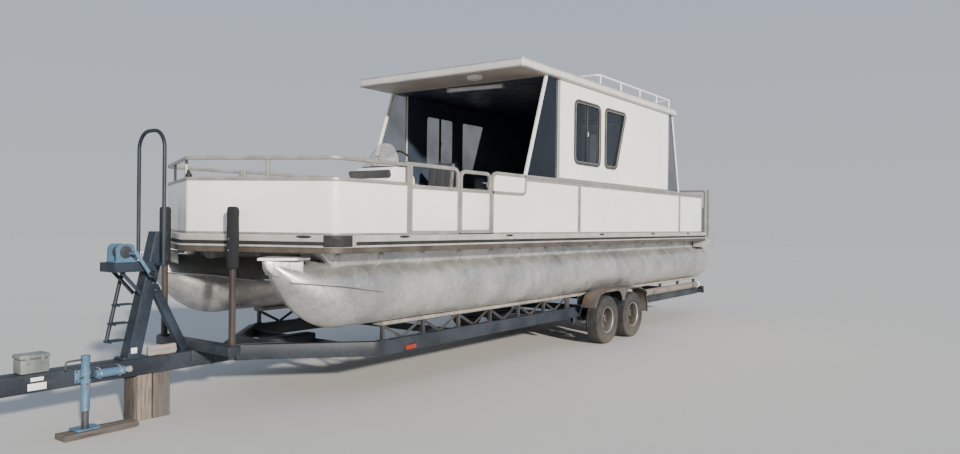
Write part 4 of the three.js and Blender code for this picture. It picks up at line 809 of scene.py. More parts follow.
def floatSurface():
    # Sections run from the stem to the stern; each is an oval pinched to an edge as it nears the stem.
    f = floats
    k = np.sin(np.linspace(np.pi / 2, 0, 46))[:-1]
    near = np.concatenate([seam + np.linspace(-0.02, 0.02, 7) for seam in f["seams"]])
    straight = np.unique(np.concatenate([np.linspace(f["base"], f["rear"], 90), near]))
    t = np.linspace(0, 1, 14)[1:]
    share = np.concatenate([np.ones(len(straight)), 1 - 0.45 * t ** 3.4, [0.53, 0.35, 0.15, 0.03]])
    end = f["rear"] + f["cap"]
    station = np.concatenate([f["base"] + (f["stem"] - f["base"]) * k, straight, f["rear"] + f["cap"] * t,
                              end - np.array([0.0, 0.006, 0.01, 0.011])])
    k = np.concatenate([k, np.zeros(len(share))])
    share = np.concatenate([np.ones(45), share])
    bead = sum(np.exp(-((station - seam) / 0.006) ** 2) for seam in f["seams"]) * f["bead"]
    bottom = share * (-f["radius"] - bead) + 0.626 * (1 - (1 - k ** 2) ** 0.68)
    top = share * (f["radius"] + bead) + 0.024 * k ** 2
    half = share * (f["radius"] + bead) * (1 - k ** 2.2) ** 0.8 + 0.007 * k
    angle = np.arange(f["around"]) * 2 * np.pi / f["around"]
    pinch = 1 + 0.7 * k[:, None]
    across = np.sign(np.cos(angle)) * np.abs(np.cos(angle)) ** pinch
    dent = f["dent"] * np.sin(station * 5.1)[:, None] * np.sin(angle * 3 + station[:, None] * 1.7)
    dent *= (share * (1 - k))[:, None]
    y = (half[:, None] + dent) * across
    z = (top + bottom)[:, None] / 2 + ((top - bottom)[:, None] / 2 + dent) * np.sin(angle)
    points = np.stack([np.broadcast_to(at(station)[:, None], y.shape), y + f["y"], z + f["z"]], -1)
    return gridShape(points, closedColumns=True, caps=True)


def nosePlate():
    # The thin pointed plate on top of the nose, with a turned-down edge and a ribbed box under it.
    f = floats
    top, under = f["plateTop"], f["plateTop"] - 0.007
    right = [(at(s), half) for s, half in f["plate"]]
    outline = eased(right + [(x, -y) for x, y in right[:0:-1]], [0.012, 0.03, 0.02, 0.02, 0.03], 4, closed=True)
    outline = outline + (0, f["y"])
    lip = ring(outline, inset(outline, 0.004), 1.322, top, "z")
    web = loftX([(s, half, low, under - 0.001) for s, half, low in f["web"]])
    ribs = [loftX([(s - 0.005, half, low, under), (s + 0.005, half + 0.004, low, under)])
            for s, half, low in f["ribs"]]
    return join([prism(outline, under, top), lip, moved(join([web, *ribs]), (0, f["y"], 0))])


def strakes():
    # A flat bar on each shoulder of the float that starts near the stem and runs back and down.
    station, height, away = eased(floats["strake"], 0.1, 4).T
    routes = [stationed(np.column_stack([station, floats["y"] + side * away, height])) for side in (1, -1)]
    return join([sweep(route, roundedBox(0.088, 0.012, 0.004)) for route in routes])


def risers():
    # The channel that carries the deck on the float, with ribs at the crossmembers and their bolts.
    r, y, top = floats["riser"], floats["y"], boat["rimLow"] - 0.001
    outline = [(at(r["front"]), top), (at(r["slope"]), r["low"]), (at(0.8), r["low"]), (at(r["rear"]), r["low"]),
               (at(r["rear"]), top)]
    body = prism(outline, y - r["half"], y + r["half"], "y")
    ribs, heads = [], []
    for station in np.arange(r["first"], 8.6, r["step"]):
        # the first rib stands behind the slope of the channel
        station += 0.0 if station > 0.2 else 0.05
        ribs.append(cuboid(station - 0.02, station + 0.045, y - r["rib"], y + r["rib"], 1.262, top))
        heads += [(at(station + 0.012), y + r["rib"], z) for z in (1.29, 1.35)]
    return join([body, *ribs]), bolts(heads, (0, 1, 0))


hull = floatSurface()
body, heads = risers()
for name, side in sides:
    piece(f"float_{name}", facing(hull, side), "floatMetal", instead=(f"pontoon_{name}",), smooth=40)
    piece(f"float_{name}_riser", facing(body, side), "floatMetal", edge=0.003)
    piece(f"float_{name}_bolts", facing(heads, side), "frameMetal")
    piece(f"float_{name}_strakes", facing(strakes(), side), "floatMetal")
    piece(f"float_{name}_nose", facing(nosePlate(), side), "floatMetal", edge=0.002)
print("floats")


# Wheels

wheels = {
    "stations": (5.11, 5.945), "y": 1.165, "radius": 0.3315, "half": 0.1025, "bead": 0.178,
    "blocks": 62, "groove": 0.0065, "lines": (-0.046, -0.016, 0.016, 0.046),            # the tyre's tread
    "openings": 8, "nuts": 5, "nutCircle": 0.059,
    "disc": dict(low=0.05, high=0.1535, middle=0.1075, oval=(0.027, 0.0235)),
    # radius and distance out from the wheel's middle plane
    "lip": [(0.1772, 0.078), (0.1777, 0.0845), (0.1735, 0.0855), (0.1665, 0.0792), (0.166, 0.0755), (0.171, 0.0775)],
    "barrel": [(0.1777, 0.084), (0.1735, 0.0845), (0.168, 0.079), (0.163, 0.066), (0.157, 0.05), (0.1535, 0.01),
               (0.1535, -0.03), (0.16, -0.05), (0.168, -0.079), (0.1735, -0.0845), (0.1777, -0.084), (0.1777, -0.07),
               (0.1766, -0.05), (0.1766, 0.05), (0.1777, 0.07)],
    "hub": [(0.0, -0.014), (0.05, -0.014), (0.052, -0.006), (0.046, -0.003), (0.041, 0.004), (0.04, 0.03),
            (0.036, 0.038), (0.026, 0.0415), (0.0, 0.0418)],
}


def tyreShape():
    # Rows run round the wheel and columns from bead to bead; grooves are taken out of the tread.
    w = wheels
    profile = resampled(eased([(w["bead"], 0.0805), (0.196, 0.0945), (0.2565, w["half"]), (0.3095, 0.0965),
                               (0.3255, 0.0825), (w["radius"], 0.0625), (w["radius"], -0.0625), (0.3255, -0.0825),
                               (0.3095, -0.0965), (0.2565, -w["half"]), (0.196, -0.0945), (w["bead"], -0.0805)],
                              0.012, 3), 58)
    count = w["blocks"] * 5
    turn = np.arange(count) * 2 * np.pi / count
    r, y = profile[:, 0][None, :], profile[:, 1][None, :]
    tread = np.clip((r - 0.312) / 0.012, 0, 1)
    along = np.zeros_like(y)
    for line in w["lines"]:
        along = np.maximum(along, np.exp(-((y - line) / 0.0032) ** 4))
    phase = (turn[:, None] * w["blocks"] / (2 * np.pi) + 0.5 * np.sign(y) * (np.abs(y) > 0.03) + y * 9) % 1
    cuts = (phase < 0.21) * (np.abs(y) > 0.016)
    rings = 0.0012 * (np.exp(-((r - 0.222) / 0.003) ** 2) + np.exp(-((r - 0.285) / 0.003) ** 2)) * (1 - tread)
    r = r - tread * w["groove"] * np.maximum(along, cuts)
    y = y + np.sign(y) * rings * 0.6 * (np.abs(y) < w["half"] - 0.001)
    points = np.stack([r * np.cos(turn)[:, None], np.broadcast_to(y, (count, len(profile))),
                       r * np.sin(turn)[:, None]], -1)
    return gridShape(points, closedRows=True, closedColumns=True)


def rimDisc():
    # Eight equal sectors, each a band between its own outline and its oval opening whose edge is rolled in.
    w = wheels
    low, high, mid, (wide, tall) = w["disc"].values()
    step = 2 * np.pi / w["openings"]
    count = 48
    corners = [math.atan2(r * math.sin(step / 2), r * math.cos(step / 2) - mid) for r in (low, high)]
    ray = np.unique(np.round(np.concatenate([np.arange(count) * 2 * np.pi / count, corners,
                                             [2 * np.pi - c for c in corners]]), 6))
    ux, uy = np.cos(ray), np.sin(ray)
    # how far each ray runs from the middle of the oval: to the sector's straight sides, then to its two arcs
    slope = math.tan(step / 2)
    with np.errstate(divide="ignore", invalid="ignore"):
        toSides = np.where(np.abs(uy) > slope * ux, slope * mid / (np.abs(uy) - slope * ux), np.inf)
    toSides = np.where(toSides > 0, toSides, np.inf)
    toHigh = -mid * ux + np.sqrt(high ** 2 - (mid * uy) ** 2)
    inside = low ** 2 - (mid * uy) ** 2
    toLow = np.where((inside > 0) & (ux < 0), -mid * ux - np.sqrt(np.maximum(inside, 0)), np.inf)
    far = np.minimum(np.minimum(toSides, toHigh), toLow)
    oval = 1 / np.sqrt((ux / wide) ** 2 + (uy / tall) ** 2)
    levels = np.array([0.0, 0.0, 0.05, 0.2, 0.6, 1.0, 1.0, 0.6, 0.2, 0.06, 0.05])
    drop = np.array([0.016, 0.006, 0.001, 0.0, 0.0, 0.0, 0.004, 0.004, 0.004, 0.008, 0.016])
    reach = oval + (far - oval) * levels[:, None]
    x, v = mid + reach * ux, reach * uy
    radius = np.hypot(x, v)
    height = np.interp(radius, [low, 0.066, 0.09, 0.118, 0.14, high], [-0.006, -0.004, 0.006, 0.008, -0.002, -0.014])
    sectors = []
    for i in range(w["openings"]):
        c, s = math.cos(i * step), math.sin(i * step)
        sectors.append(gridShape(np.stack([x * c - v * s, height - drop[:, None], x * s + v * c], -1),
                                 closedRows=True, closedColumns=True))
    return join(sectors)


def rimParts():
    w = wheels
    lip, barrel = [lathe(w[part], (0, 0, 0), count=72) for part in ("lip", "barrel")]
    hub = lathe(w["hub"], (0, 0, 0), count=40, closed=False)
    turn = np.arange(w["nuts"]) * 2 * np.pi / w["nuts"]
    places = np.stack([w["nutCircle"] * np.cos(turn), np.full(w["nuts"], -0.004), w["nutCircle"] * np.sin(turn)], 1)
    return lip, join([barrel, rimDisc(), hub]), bolts(places, (0, 1, 0), 0.0095, 0.014, 6)


def placedWheel(shape, station, side):
    shape = shape if side > 0 else turned(shape, "X", 180)
    return moved(shape, (at(station), side * wheels["y"], wheels["radius"]))


tyre, (lip, disc, nuts) = tyreShape(), rimParts()
for end, station in zip(("front", "rear"), wheels["stations"]):
    for name, side in sides:
        label, body = f"{end}_{name}", f"wheel_{end}_{name}"
        piece(f"tyre_{label}_tread", placedWheel(tyre, station, side), "tyreRubber", body, (f"tyre_{label}",), 30)
        # the lip and nuts take the lit copy of the rim steel as a painted highlight, the disc the shaded copy as
        # painted shade
        piece(f"rim_{label}_lip", placedWheel(lip, station, side), "rimSteelLit", body)
        piece(f"rim_{label}_disc", placedWheel(disc, station, side), "rimSteelShaded", body, (f"rim_{label}",), 35)
        piece(f"rim_{label}_nuts", placedWheel(nuts, station, side), "rimSteelLit", body)
print("wheels")


# Fenders

fender = {"from": 4.65, "to": 6.395, "inner": 1.08, "outer": 1.295, "wall": 0.004, "skirt": 0.575, "arch": 0.722,
          "archHalf": 0.378, "lip": 0.02}


def fenderTop():
    # The curved top line as (station, height) from the front edge over to the rear edge.
    a, b = fender["from"], fender["to"]
    return eased([(a, 0.53), (a + 0.1, 0.7), (a + 0.4, 0.756), (b - 0.42, 0.746), (b - 0.09, 0.68), (b - 0.005, 0.46),
                  (b, 0.34)], 0.2, 6)


def fenderSkin():
    # The top line carried across the fender, with a rolled bead along its outer and inner edges.
    f, line = fender, fenderTop()
    ahead = np.gradient(line, axis=0)
    ahead /= np.linalg.norm(ahead, axis=1)[:, None]
    normal = np.column_stack([-ahead[:, 1], ahead[:, 0]])
    bead = [(0.0, 0.0), (0.003, 0.003), (0.0, 0.006)]
    across = [(f["inner"], -0.006)] + [(f["inner"] + y, -z) for y, z in bead]
    across += [(y, 0.0) for y in np.linspace(f["inner"] + 0.02, f["outer"] - 0.012, 6)]
    across += [(f["outer"] - 0.004, -0.001), (f["outer"], -0.006), (f["outer"] - 0.001, -0.013),
               (f["outer"] - 0.006, -0.013)]
    across.append((f["outer"] - 0.007, -0.005))
    across += [(y, -f["wall"]) for y in np.linspace(f["outer"] - 0.02, f["inner"] + 0.01, 4)]
    across = np.array(across)
    place = line[:, None] + normal[:, None] * across[None, :, 1:]
    y = np.broadcast_to(across[None, :, 0], place.shape[:2])
    return gridShape(stationed(np.stack([place[..., 0], y, place[..., 1]], -1)), closedColumns=True, caps=True)


def fenderSkirt():
    # Between the top line and the edge of the openings, which is drawn as a height over each station.
    f, line = fender, fenderTop()
    front, rear = wheels["stations"]
    spans = ((f["from"] + 0.026, front + f["archHalf"]), (rear - f["archHalf"], f["to"] - f["lip"]))
    station = np.unique(np.concatenate([np.linspace(f["from"] + 0.03, f["to"] - 0.05, 130)]
                                       + [np.linspace(b - 0.012, b + 0.012, 5) for span in spans for b in span]))
    station = station[(station > f["from"] + 0.03) & (station < f["to"] - 0.05)]
    edge = np.full(len(station), f["skirt"])
    for s0, s1 in spans:
        near = np.clip(np.minimum(station - s0, s1 - station) / 0.17, 0, 1)
        lift = f["arch"] - 0.16 + 0.16 * np.sqrt(1 - (1 - near) ** 2)
        edge = np.where((station > s0) & (station < s1), lift, edge)
    top = np.interp(station, line[:, 0], line[:, 1]) - 0.003
    edge = np.minimum(edge, top - 0.001)
    y = f["outer"] - f["wall"]
    rows = [stationed(np.column_stack([station, np.full(len(station), v), h])) for v, h in (
        (y, top), (f["outer"] - 0.001, top), (f["outer"] - 0.001, edge), (y, edge))]
    return gridShape(np.array(rows).transpose(1, 0, 2), closedColumns=True, caps=True)


def fenderStays():
    front, rear = wheels["stations"]
    mid = (front + rear) / 2
    out = [cuboid(s, s + 0.036, 0.951, reach, z, z + 0.012, 0.003) for s, z, reach in (
        (fender["from"] + 0.012, 0.546, 1.14), (mid - 0.02, 0.5, 1.285), (fender["to"] - 0.044, 0.441, 1.14))]
    # a thin dark plate on the rail under the fender: a sheet put behind the wheels to give the shade there
    out.append(cuboid(fender["from"] + 0.12, fender["to"] - 0.11, 0.9515, 0.9555, 0.52, 0.701, 0.001))
    return join(out + [cuboid(mid - 0.004, mid + 0.004, 1.082, 1.284, 0.506, 0.745, 0.002)])


for name, side in sides:
    piece(f"fender_{name}_skin", facing(fenderSkin(), side), "fenderPaint", instead=(f"fender_{name}",), smooth=40)
    piece(f"fender_{name}_skirt", facing(fenderSkirt(), side), "fenderPaint", smooth=40)
    piece(f"fender_{name}_stays", facing(fenderStays(), side), "trailerPaintAndShade")
print("fenders")


# Windows

windows = {
    "low": 2.432, "high": 3.232,          # the band above the ground
    "slider": (4.097, 4.816, 0.09),       # front, rear and corner radius
    "raked": (4.965, 5.324, 5.624, 0.075),
    "wall": 1.245, "face": 0.03, "lip": 0.02, "proud": 0.0073,
}


def windowOutlines():
    w = windows
    a, b, radius = w["slider"]
    slider = eased([(at(a), w["low"]), (at(b), w["low"]), (at(b), w["high"]), (at(a), w["high"])], radius * 1.15, 9,
                   closed=True)
    a, b, c, radius = w["raked"]
    raked = eased([(at(a), w["low"]), (at(b), w["low"]), (at(c), w["high"]), (at(a), w["high"])], radius * 1.15, 9,
                  closed=True)
    return {"slider": slider, "raked": raked}


def windowFrame(hole):
    # A flange over the wall, a tube through it and a dark gasket round the pane.
    w = windows
    out = w["wall"]
    flange = ring(inset(hole, -w["lip"]), inset(hole, w["face"] - 0.011), out + 0.001, out + w["proud"])
    bead = ring(inset(hole, w["face"] - 0.012), inset(hole, w["face"] - 0.005), out - 0.012,
                out + w["proud"] + 0.0015)
    through = ring(inset(hole, 0.003), inset(hole, w["face"] - 0.004), out - 0.036, out + 0.002)
    gasket = ring(inset(hole, w["face"] - 0.008), inset(hole, w["face"] + 0.001), out - 0.022, out - 0.004)
    return join([flange, through]), bead, gasket


def sliderBars():
    # The fixed bar, the sliding sash beside it and its latch.
    w = windows
    a, b = w["slider"][:2]
    middle, low, high = (a + b) / 2, w["low"] + 0.03, w["high"] - 0.03
    out = w["wall"]
    bars = [cuboid(middle - 0.014, middle + 0.014, out - 0.022, out - 0.003, low, high, 0.003),
            cuboid(middle - 0.038, middle - 0.02, out - 0.03, out - 0.018, low, high, 0.003),
            cuboid(b - 0.062, b - 0.045, out - 0.02, out - 0.008, low, high, 0.003)]
    latch = cuboid(middle + 0.016, middle + 0.03, out - 0.02, out - 0.001, 2.8, 2.86, 0.003)
    return join(bars), latch


outlines = windowOutlines()
for name, side in sides:
    for kind, hole in outlines.items():
        unit = f"window_{kind}_{name}"
        frameRing, bead, gasket = windowFrame(hole)
        pane = prism(inset(hole, windows["face"] - 0.006), windows["wall"] - 0.02, windows["wall"] - 0.015, "y")
        piece(f"{unit}_frame", facing(frameRing, side), "bronzeFrame", instead=(unit,), edge=0.0015)
        piece(f"{unit}_bead", facing(bead, side), "railMetal", edge=0.0008)
        piece(f"{unit}_gasket", facing(gasket, side), "rubber", edge=0.001)
        piece(f"{unit}_pane", facing(pane, side), "tint")
        if kind == "slider":
            bars, latch = sliderBars()
            piece(f"{unit}_bars", facing(bars, side), "bronzeFrame")
            piece(f"{unit}_latch", facing(latch, side), "palePlastic")
print("windows")


# Roof

roofing = {"from": 2.795, "to": 7.49, "half": 1.285, "low": 3.433, "high": 3.535, "railY": 1.222, "railTop": 3.685,
           "posts": (4.8, 5.49, 6.15, 6.78, 7.345), "tube": 0.0145}


def roofRail():
    # One loop of round tube on posts, each post on a small foot with its screws.
    r = roofing
    first, last = r["posts"][0], r["posts"][-1]
    z = r["railTop"] - r["tube"]
    loop = eased([(at(first), r["railY"], z), (at(last), r["railY"], z), (at(last), -r["railY"], z),
                  (at(first), -r["railY"], z)], 0.09, 7, closed=True)
    parts, heads = [sweep(loop, circle(r["tube"], 14), closed=True)], []
    for side in (1, -1):
        for i, station in enumerate(r["posts"]):
            station += {0: 0.045, len(r["posts"]) - 1: -0.045}.get(i, 0)
            y = side * r["railY"]
            parts.append(tube([(at(station), y, r["high"]), (at(station), y, z)], r["tube"] * 0.85, 12, up=(1, 0, 0)))
            parts.append(lathe([(0, 0), (0.024, 0), (0.024, 0.003), (0.014, 0.007), (0.0, 0.007)],
                               (at(station), y, r["high"] + 0.0005), "Z", 20, closed=False))
            parts.append(lathe([(0, -0.02), (0.0143, -0.019), (0.0147, 0), (0.0143, 0.019), (0, 0.02)],
                               (at(station), y, z - 0.0004), "X", 16, False))
            heads += [(at(station) + dx, y, r["high"] + 0.003) for dx in (-0.017, 0.017)]
    return join(parts), bolts(heads, (0, 0, 1), 0.004, 0.003, 6)


def roofEdge():
    # The trim round the roof: a lip along its top edge and one along its bottom edge, with a drip channel.
    r = roofing
    a, b, half = r["from"], r["to"], r["half"]

    def loop(out, z):
        return np.column_stack([eased([(at(a) + out, half + out), (at(b) - out, half + out),
                                       (at(b) - out, -half - out), (at(a) + out, -half - out)], 0.03, 5, closed=True),
                                np.full(24, z)])
    bars = [(0.001, r["high"] - 0.007, roundedBox(0.006, 0.014, 0.0025)),
            (0.002, r["low"] + 0.009, roundedBox(0.008, 0.018, 0.0035)),
            (0.0005, r["high"] - 0.03, roundedBox(0.003, 0.004, 0.001))]
    return join([sweep(loop(out - 0.002, z), section, closed=True) for out, z, section in bars])


rail, heads = roofRail()
piece("roof_rail_tubes", rail, "whitePost", instead=("roof_rail",), smooth=40)
piece("roof_rail_screws", heads, "railMetal")
piece("roof_edge_trim", roofEdge(), "trimMetal")
print("roof")


# Fences

fence = {
    "thick": 0.032, "tube": 0.038, "sill": 0.02, "mid": 0.45, "top": 0.68, "bowEnd": 0.93,
    "bowBars": (0.47, 0.652), "bowBar": 0.033, "uprights": ((0.885, 0.9235), (0.9245, 0.963)),
    "gate": (1.697, 2.267), "rear": 8.881, "loopEnd": 2.97, "band": 0.606, "posts": (4.257, 7.787),
    "bowPosts": (-0.62, -0.08, 0.535), "sheetLow": 0.01,
    "front": (2.958, 3.402), "back": (7.738, 7.414), "cabinTop": 1.9027,     # where the raked posts stand and lean to
    "stern": 9.172, "sternTop": 0.772, "sternLow": -0.0797, "gateHalf": 0.3, "sternOuter": 1.205,
    "cornerPost": (9.252, 9.295, 1.203),
}
deck = boat["deck"]
outer = boat["fenceHalf"]
middle = outer - fence["thick"] / 2
gatePin, sternPin = (at(1.7005), 1.207), (at(9.166), 0.2965)


def bowLine(drawn, end, radius=0.15):
    # The line round the bow from the port side to the starboard side as (station, y).
    half, rise = boat["fenceHalf"], boat["bowRise"]
    slant = math.hypot(rise, half) / half
    corner, tip, y = drawn * (slant - rise / half), -rise + drawn * slant, half - drawn
    turn = (radius - drawn) / 1.582
    return eased([(end, y), (corner, y), (tip, 0), (corner, -y), (end, -y)],
                 [0, turn, max(0.06 - drawn, 0.01) / 2.106, turn, 0], 6)


def bowStrip(drawn, end, low, high, width, radius=0.006):
    # A bar carried round the bow, its outer face drawn in from the fence line.
    line = bowLine(drawn + width / 2, end)
    route = np.column_stack([at(line[:, 0]), line[:, 1], np.full(len(line), deck + (low + high) / 2)])
    return sweep(route, roundedBox(width, high - low, radius))


def tubeFrame(a0, a1, z0, z1, level, radii, axis="y", width=0.038, deep=0.032):
    # A closed frame of square tube across an axis; radii go round from the low corner at a0.
    h = width / 2
    corners = [(a0 + h, z0 + h), (a1 - h, z0 + h), (a1 - h, z1 - h), (a0 + h, z1 - h)]
    route = onPlane(eased(corners, [max(r - h, 0.006) for r in radii], 7, closed=True), level, axis)
    return sweep(route, roundedBox(width, deep, 0.006), closed=True, up={"y": (0, 1, 0), "x": (1, 0, 0)}[axis])


def knuckle(x, y, z):
    return lathe([(0, 0), (0.0058, 0), (0.0063, 0.001), (0.0063, 0.034), (0.0058, 0.035), (0, 0.035)], (x, y, z), "Z",
                 14, False)


def bowFence():
    # Rails round the bow, the doubled uprights, the frames beside the gate and the posts behind the sheet.
    f = fence
    half = f["tube"] / 2
    bar = f["bowBar"] / 2
    parts = [bowStrip(0, f["bowEnd"], low, high, f["thick"]) for low, high in (
        (0.0005, f["sill"]), *((h - bar, h + bar) for h in f["bowBars"]))]
    for share in f["bowPosts"]:
        lean = math.degrees(math.atan2(boat["bowRise"], outer)) * (1 if share > 0 else -1)
        x = at(-boat["bowRise"] * (1 - abs(share)) + 0.022)
        post = block((x - 0.012, share * outer - 0.019, deck + 0.001),
                     (x + 0.012, share * outer + 0.019, deck + f["bowBars"][1]))
        parts.append(turned(post, "Z", lean, (x, share * outer, 0)))
    inner = outer - f["thick"]
    for side in (1, -1):
        y0, y1 = sorted((side * inner, side * outer))
        for s0, s1 in f["uprights"]:
            parts.append(cuboid(s0, s1, y0 - 0.0004, y1 + 0.0004, deck + 0.0005, deck + f["top"] - 0.001))
        end = f["gate"][0]
        parts.append(tubeFrame(at(end), at(0.927), deck + 0.0005, deck + f["top"], side * middle,
                               (0.012, 0.012, 0.012, 0.11)))
        for low, high in ((f["mid"] - half, f["mid"] + half), (0.0005, f["sill"])):
            parts.append(cuboid(0.95, end - 0.03, y0 + 0.001, y1 - 0.001, deck + low, deck + high))
    for z in (0.0953, 0.5253):
        parts += [knuckle(*gatePin, deck + z), cuboid(1.686, 1.705, 1.204, 1.214, deck + z, deck + z + 0.035, 0.002)]
    return join(parts)


def sideFence(start, side):
    # The hand loop, the rail with its lower band, the posts and the sill.
    f = fence
    half = f["tube"] / 2
    y0, y1 = sorted((side * (outer - f["thick"]), side * outer))
    rear, top = f["rear"], deck + f["top"]
    parts = [tubeFrame(at(f["loopEnd"]), at(start), deck + f["mid"] - half, top, side * middle,
                       (0.1, 0.02, 0.11, 0.05)),
             cuboid(start, start + 0.038, y0, y1, deck + 0.0005, deck + f["mid"] + 0.02),
             cuboid(start, rear, y0, y1, deck + 0.0005, deck + f["sill"], 0.003),
             cuboid(f["loopEnd"] - 0.005, rear - 0.03, y0 + 0.001, y1 - 0.001, deck + f["band"], deck + 0.641, 0.003)]
    top -= half
    route = eased([(at(f["loopEnd"] - 0.04), side * middle, top), (at(rear - half), side * middle, top),
                   (at(rear - half), side * middle, deck + 0.001)], 0.05, 7)
    parts.append(sweep(route, roundedBox(f["tube"], f["thick"], 0.006), up=(0, 1, 0)))
    for s in f["posts"]:
        for s0, s1 in ((s - 0.039, s - 0.001), (s + 0.001, s + 0.039)):
            parts.append(cuboid(s0, s1, y0, y1 - 0.0005, deck + 0.001, deck + f["band"] + 0.02))
    return join(parts)


def rakedPosts(side):
    f, out = fence, []
    for foot, head in (f["front"], f["back"]):
        run = (head - foot) / (1.903 - f["top"])
        ends = [(at(foot + run * (h - f["top"])), side * middle, deck + h) for h in (0.66, f["cabinTop"] - 0.008)]
        out.append(sweep(ends, roundedBox(0.042, 0.031, 0.006), up=(0, 1, 0)))
    return join(out)


def gateLeaf():
    f = fence
    a, b = at(f["gate"][1] - 0.007), at(f["gate"][0] + 0.007)
    y0, y1 = outer - f["thick"], outer
    parts = [tubeFrame(a, b, deck + 0.009, deck + 0.662, middle, (0.014, 0.014, 0.1, 0.1)),
             block((a + 0.03, y0 + 0.001, deck + 0.431), (b - 0.03, y1 - 0.001, deck + 0.469))]
    for z in (0.06, 0.49):
        parts += [knuckle(*gatePin, deck + z), cuboid(1.696, 1.716, 1.204, 1.214, deck + z, deck + z + 0.035, 0.002)]
    latch = [block((a + 0.002, y0 - 0.014, deck + 0.5), (a + 0.034, y0 + 0.002, deck + 0.56), 0.003),
             tube([(a + 0.016, y0 - 0.012, deck + 0.53), (a + 0.016, y0 - 0.03, deck + 0.545),
                   (a + 0.07, y0 - 0.032, deck + 0.55)], 0.005, 10, 0.01)]
    sheet = block((a + 0.02, outer - 0.01, deck + 0.022), (b - 0.02, outer - 0.006, deck + 0.448), 0.001)
    return join(parts), join(latch), sheet


def sternLeaf(y0, y1, top, low):
    # A frame across the stern with its middle rail, and the sheet behind it.
    f = fence
    x0, x1 = at(f["stern"] + f["thick"]), at(f["stern"])
    tubes = tubeFrame(y0, y1, deck + low, deck + top, (x0 + x1) / 2, (0.012, 0.012, 0.06, 0.06), "x")
    rail = block((x0 + 0.001, y0 + 0.03, deck + 0.431), (x1 - 0.001, y1 - 0.03, deck + 0.469))
    sheet = block((x0 + 0.006, y0 + 0.014, deck + low + 0.012), (x0 + 0.01, y1 - 0.014, deck + 0.449), 0.001)
    return join([tubes, rail]), sheet


def cornerPost(side):
    f = fence
    s0, s1, y = f["cornerPost"]
    y0, y1 = sorted((side * y, side * outer))
    tie = sorted((side * 1.18, side * 1.217))
    post = cuboid(s0, s1, y0, y1, deck + f["sternLow"], deck + f["sternTop"])
    ties = [cuboid(9.194, s0 + 0.005, tie[0], tie[1], deck + h - 0.014, deck + h + 0.014, 0.002)
            for h in (0.06, 0.69)]
    return join([post, *ties])


piece("fence_bow_tubes", bowFence(), "railMetal", instead=("fence_bow_port", "fence_bow_starboard"))
piece("panel_bow_sheet", bowStrip(0.006, 1.69, fence["sheetLow"], fence["bowBars"][0], 0.004, 0.001), "whiteSheet",
      instead=("panel_bow",))
for name, side in sides:
    start = fence["gate"][1] if side > 0 else fence["gate"][0] + 0.0003
    piece(f"fence_{name}_tubes", sideFence(start, side), "railMetal", instead=(f"fence_{name}",))
    piece(f"fence_{name}_raked", rakedPosts(side), "whitePost", instead=(f"fence_{name}",))
    y0, y1 = sorted((side * fence["gateHalf"], side * fence["sternOuter"]))
    tubes, sheet = sternLeaf(y0, y1, fence["sternTop"], fence["sternLow"])
    parts = [tubes, cornerPost(side)]
    if side > 0:
        parts += [knuckle(*sternPin, deck + z) for z in (0.0953, 0.5253)]
    piece(f"fence_stern_{name}_tubes", join(parts), "railMetal", instead=(f"fence_stern_{name}",))
    piece(f"fence_stern_{name}_sheet", sheet, "whiteSheet", instead=(f"fence_stern_{name}",))
nav = loftX([(-0.02, 0.01, -0.004, 0.03), (-0.012, 0.014, -0.004, 0.055), (0.0, 0.018, -0.004, 0.048),
             (0.02, 0.022, -0.004, 0.01)], 0.006)
nav = moved(nav, (boat["bowRise"] - 0.03, 0, deck + fence["bowBars"][0] + 0.022))
piece("bow_light", nav, "rubber")
leaf, latch, sheet = gateLeaf()
piece("gate_port_tubes", leaf, "railMetal", "gate_port", ("gate_port",))
piece("gate_port_sheet", sheet, "whiteSheet", "gate_port", ("gate_port",))
piece("gate_port_latch", latch, "trimMetal", "gate_port", ("gate_port",))
half = fence["gateHalf"] - 0.007
leaf, sheet = sternLeaf(-half, half, fence["sternTop"] - 0.02, 0.009)
leaf = join([leaf] + [knuckle(*sternPin, deck + z) for z in (0.06, 0.49)])
piece("gate_stern_tubes", leaf, "railMetal", "gate_stern", ("gate_stern",))
piece("gate_stern_sheet", sheet, "whiteSheet", "gate_stern", ("gate_stern",))
print("fences")


# Deck rim and frame

rim = {
    "end": 9.05, "out": 0.05,
    # the rolled profile as (out from the fence line, height under the deck), inner side last
    "profile": [(-0.012, -0.0005), (0.043, -0.0005), (0.047, -0.003), (0.0485, -0.007), (0.0485, -0.023),
                (0.0465, -0.026), (0.0485, -0.029), (0.0485, -0.051), (0.047, -0.055), (0.03, -0.056), (0.03, -0.088),
                (0.047, -0.089), (0.0485, -0.092), (0.0485, -0.101), (0.046, -0.104), (0.038, -0.105),
                (0.03, -0.108), (-0.012, -0.1)],
    "wall": [(0.0, -0.1), (0.029, -0.1065), (0.036, -0.106), (0.0365, -0.148), (0.033, -0.154), (-0.004, -0.154),
             (-0.004, -0.149), (0.03, -0.146), (0.029, -0.112), (0.0, -0.106)],
    "cleats": (0.8, 2.55, 4.81, 6.55, 8.055),
}


def rimLoop(end):
    # The fence line round the whole deck, closed across the stern.
    line = bowLine(0, end)[1:-1]
    stern = eased([line[-1], (end, -outer), (end, outer), line[0]], 0.03, 4)[1:-1]
    return np.concatenate([line, stern])


def deckRim():
    # The rolled edge and the wall under it, each a profile carried round the deck.
    route = rimLoop(rim["end"] - rim["out"])
    route = np.column_stack([at(route[:, 0]), route[:, 1], np.full(len(route), deck)])
    return [sweep(route, np.array(rim[part]) * (-1, 1), closed=True) for part in ("profile", "wall")]


def rubStrip():
    # The black insert that lies in the channel of the rim.
    route = rimLoop(rim["end"] - rim["out"])
    route = np.column_stack([at(route[:, 0]), route[:, 1], np.full(len(route), deck)])
    section = [(0.029, -0.059), (0.036, -0.06), (0.041, -0.066), (0.041, -0.079), (0.036, -0.085), (0.029, -0.086)]
    return sweep(route, np.array(section) * (-1, 1), closed=True)


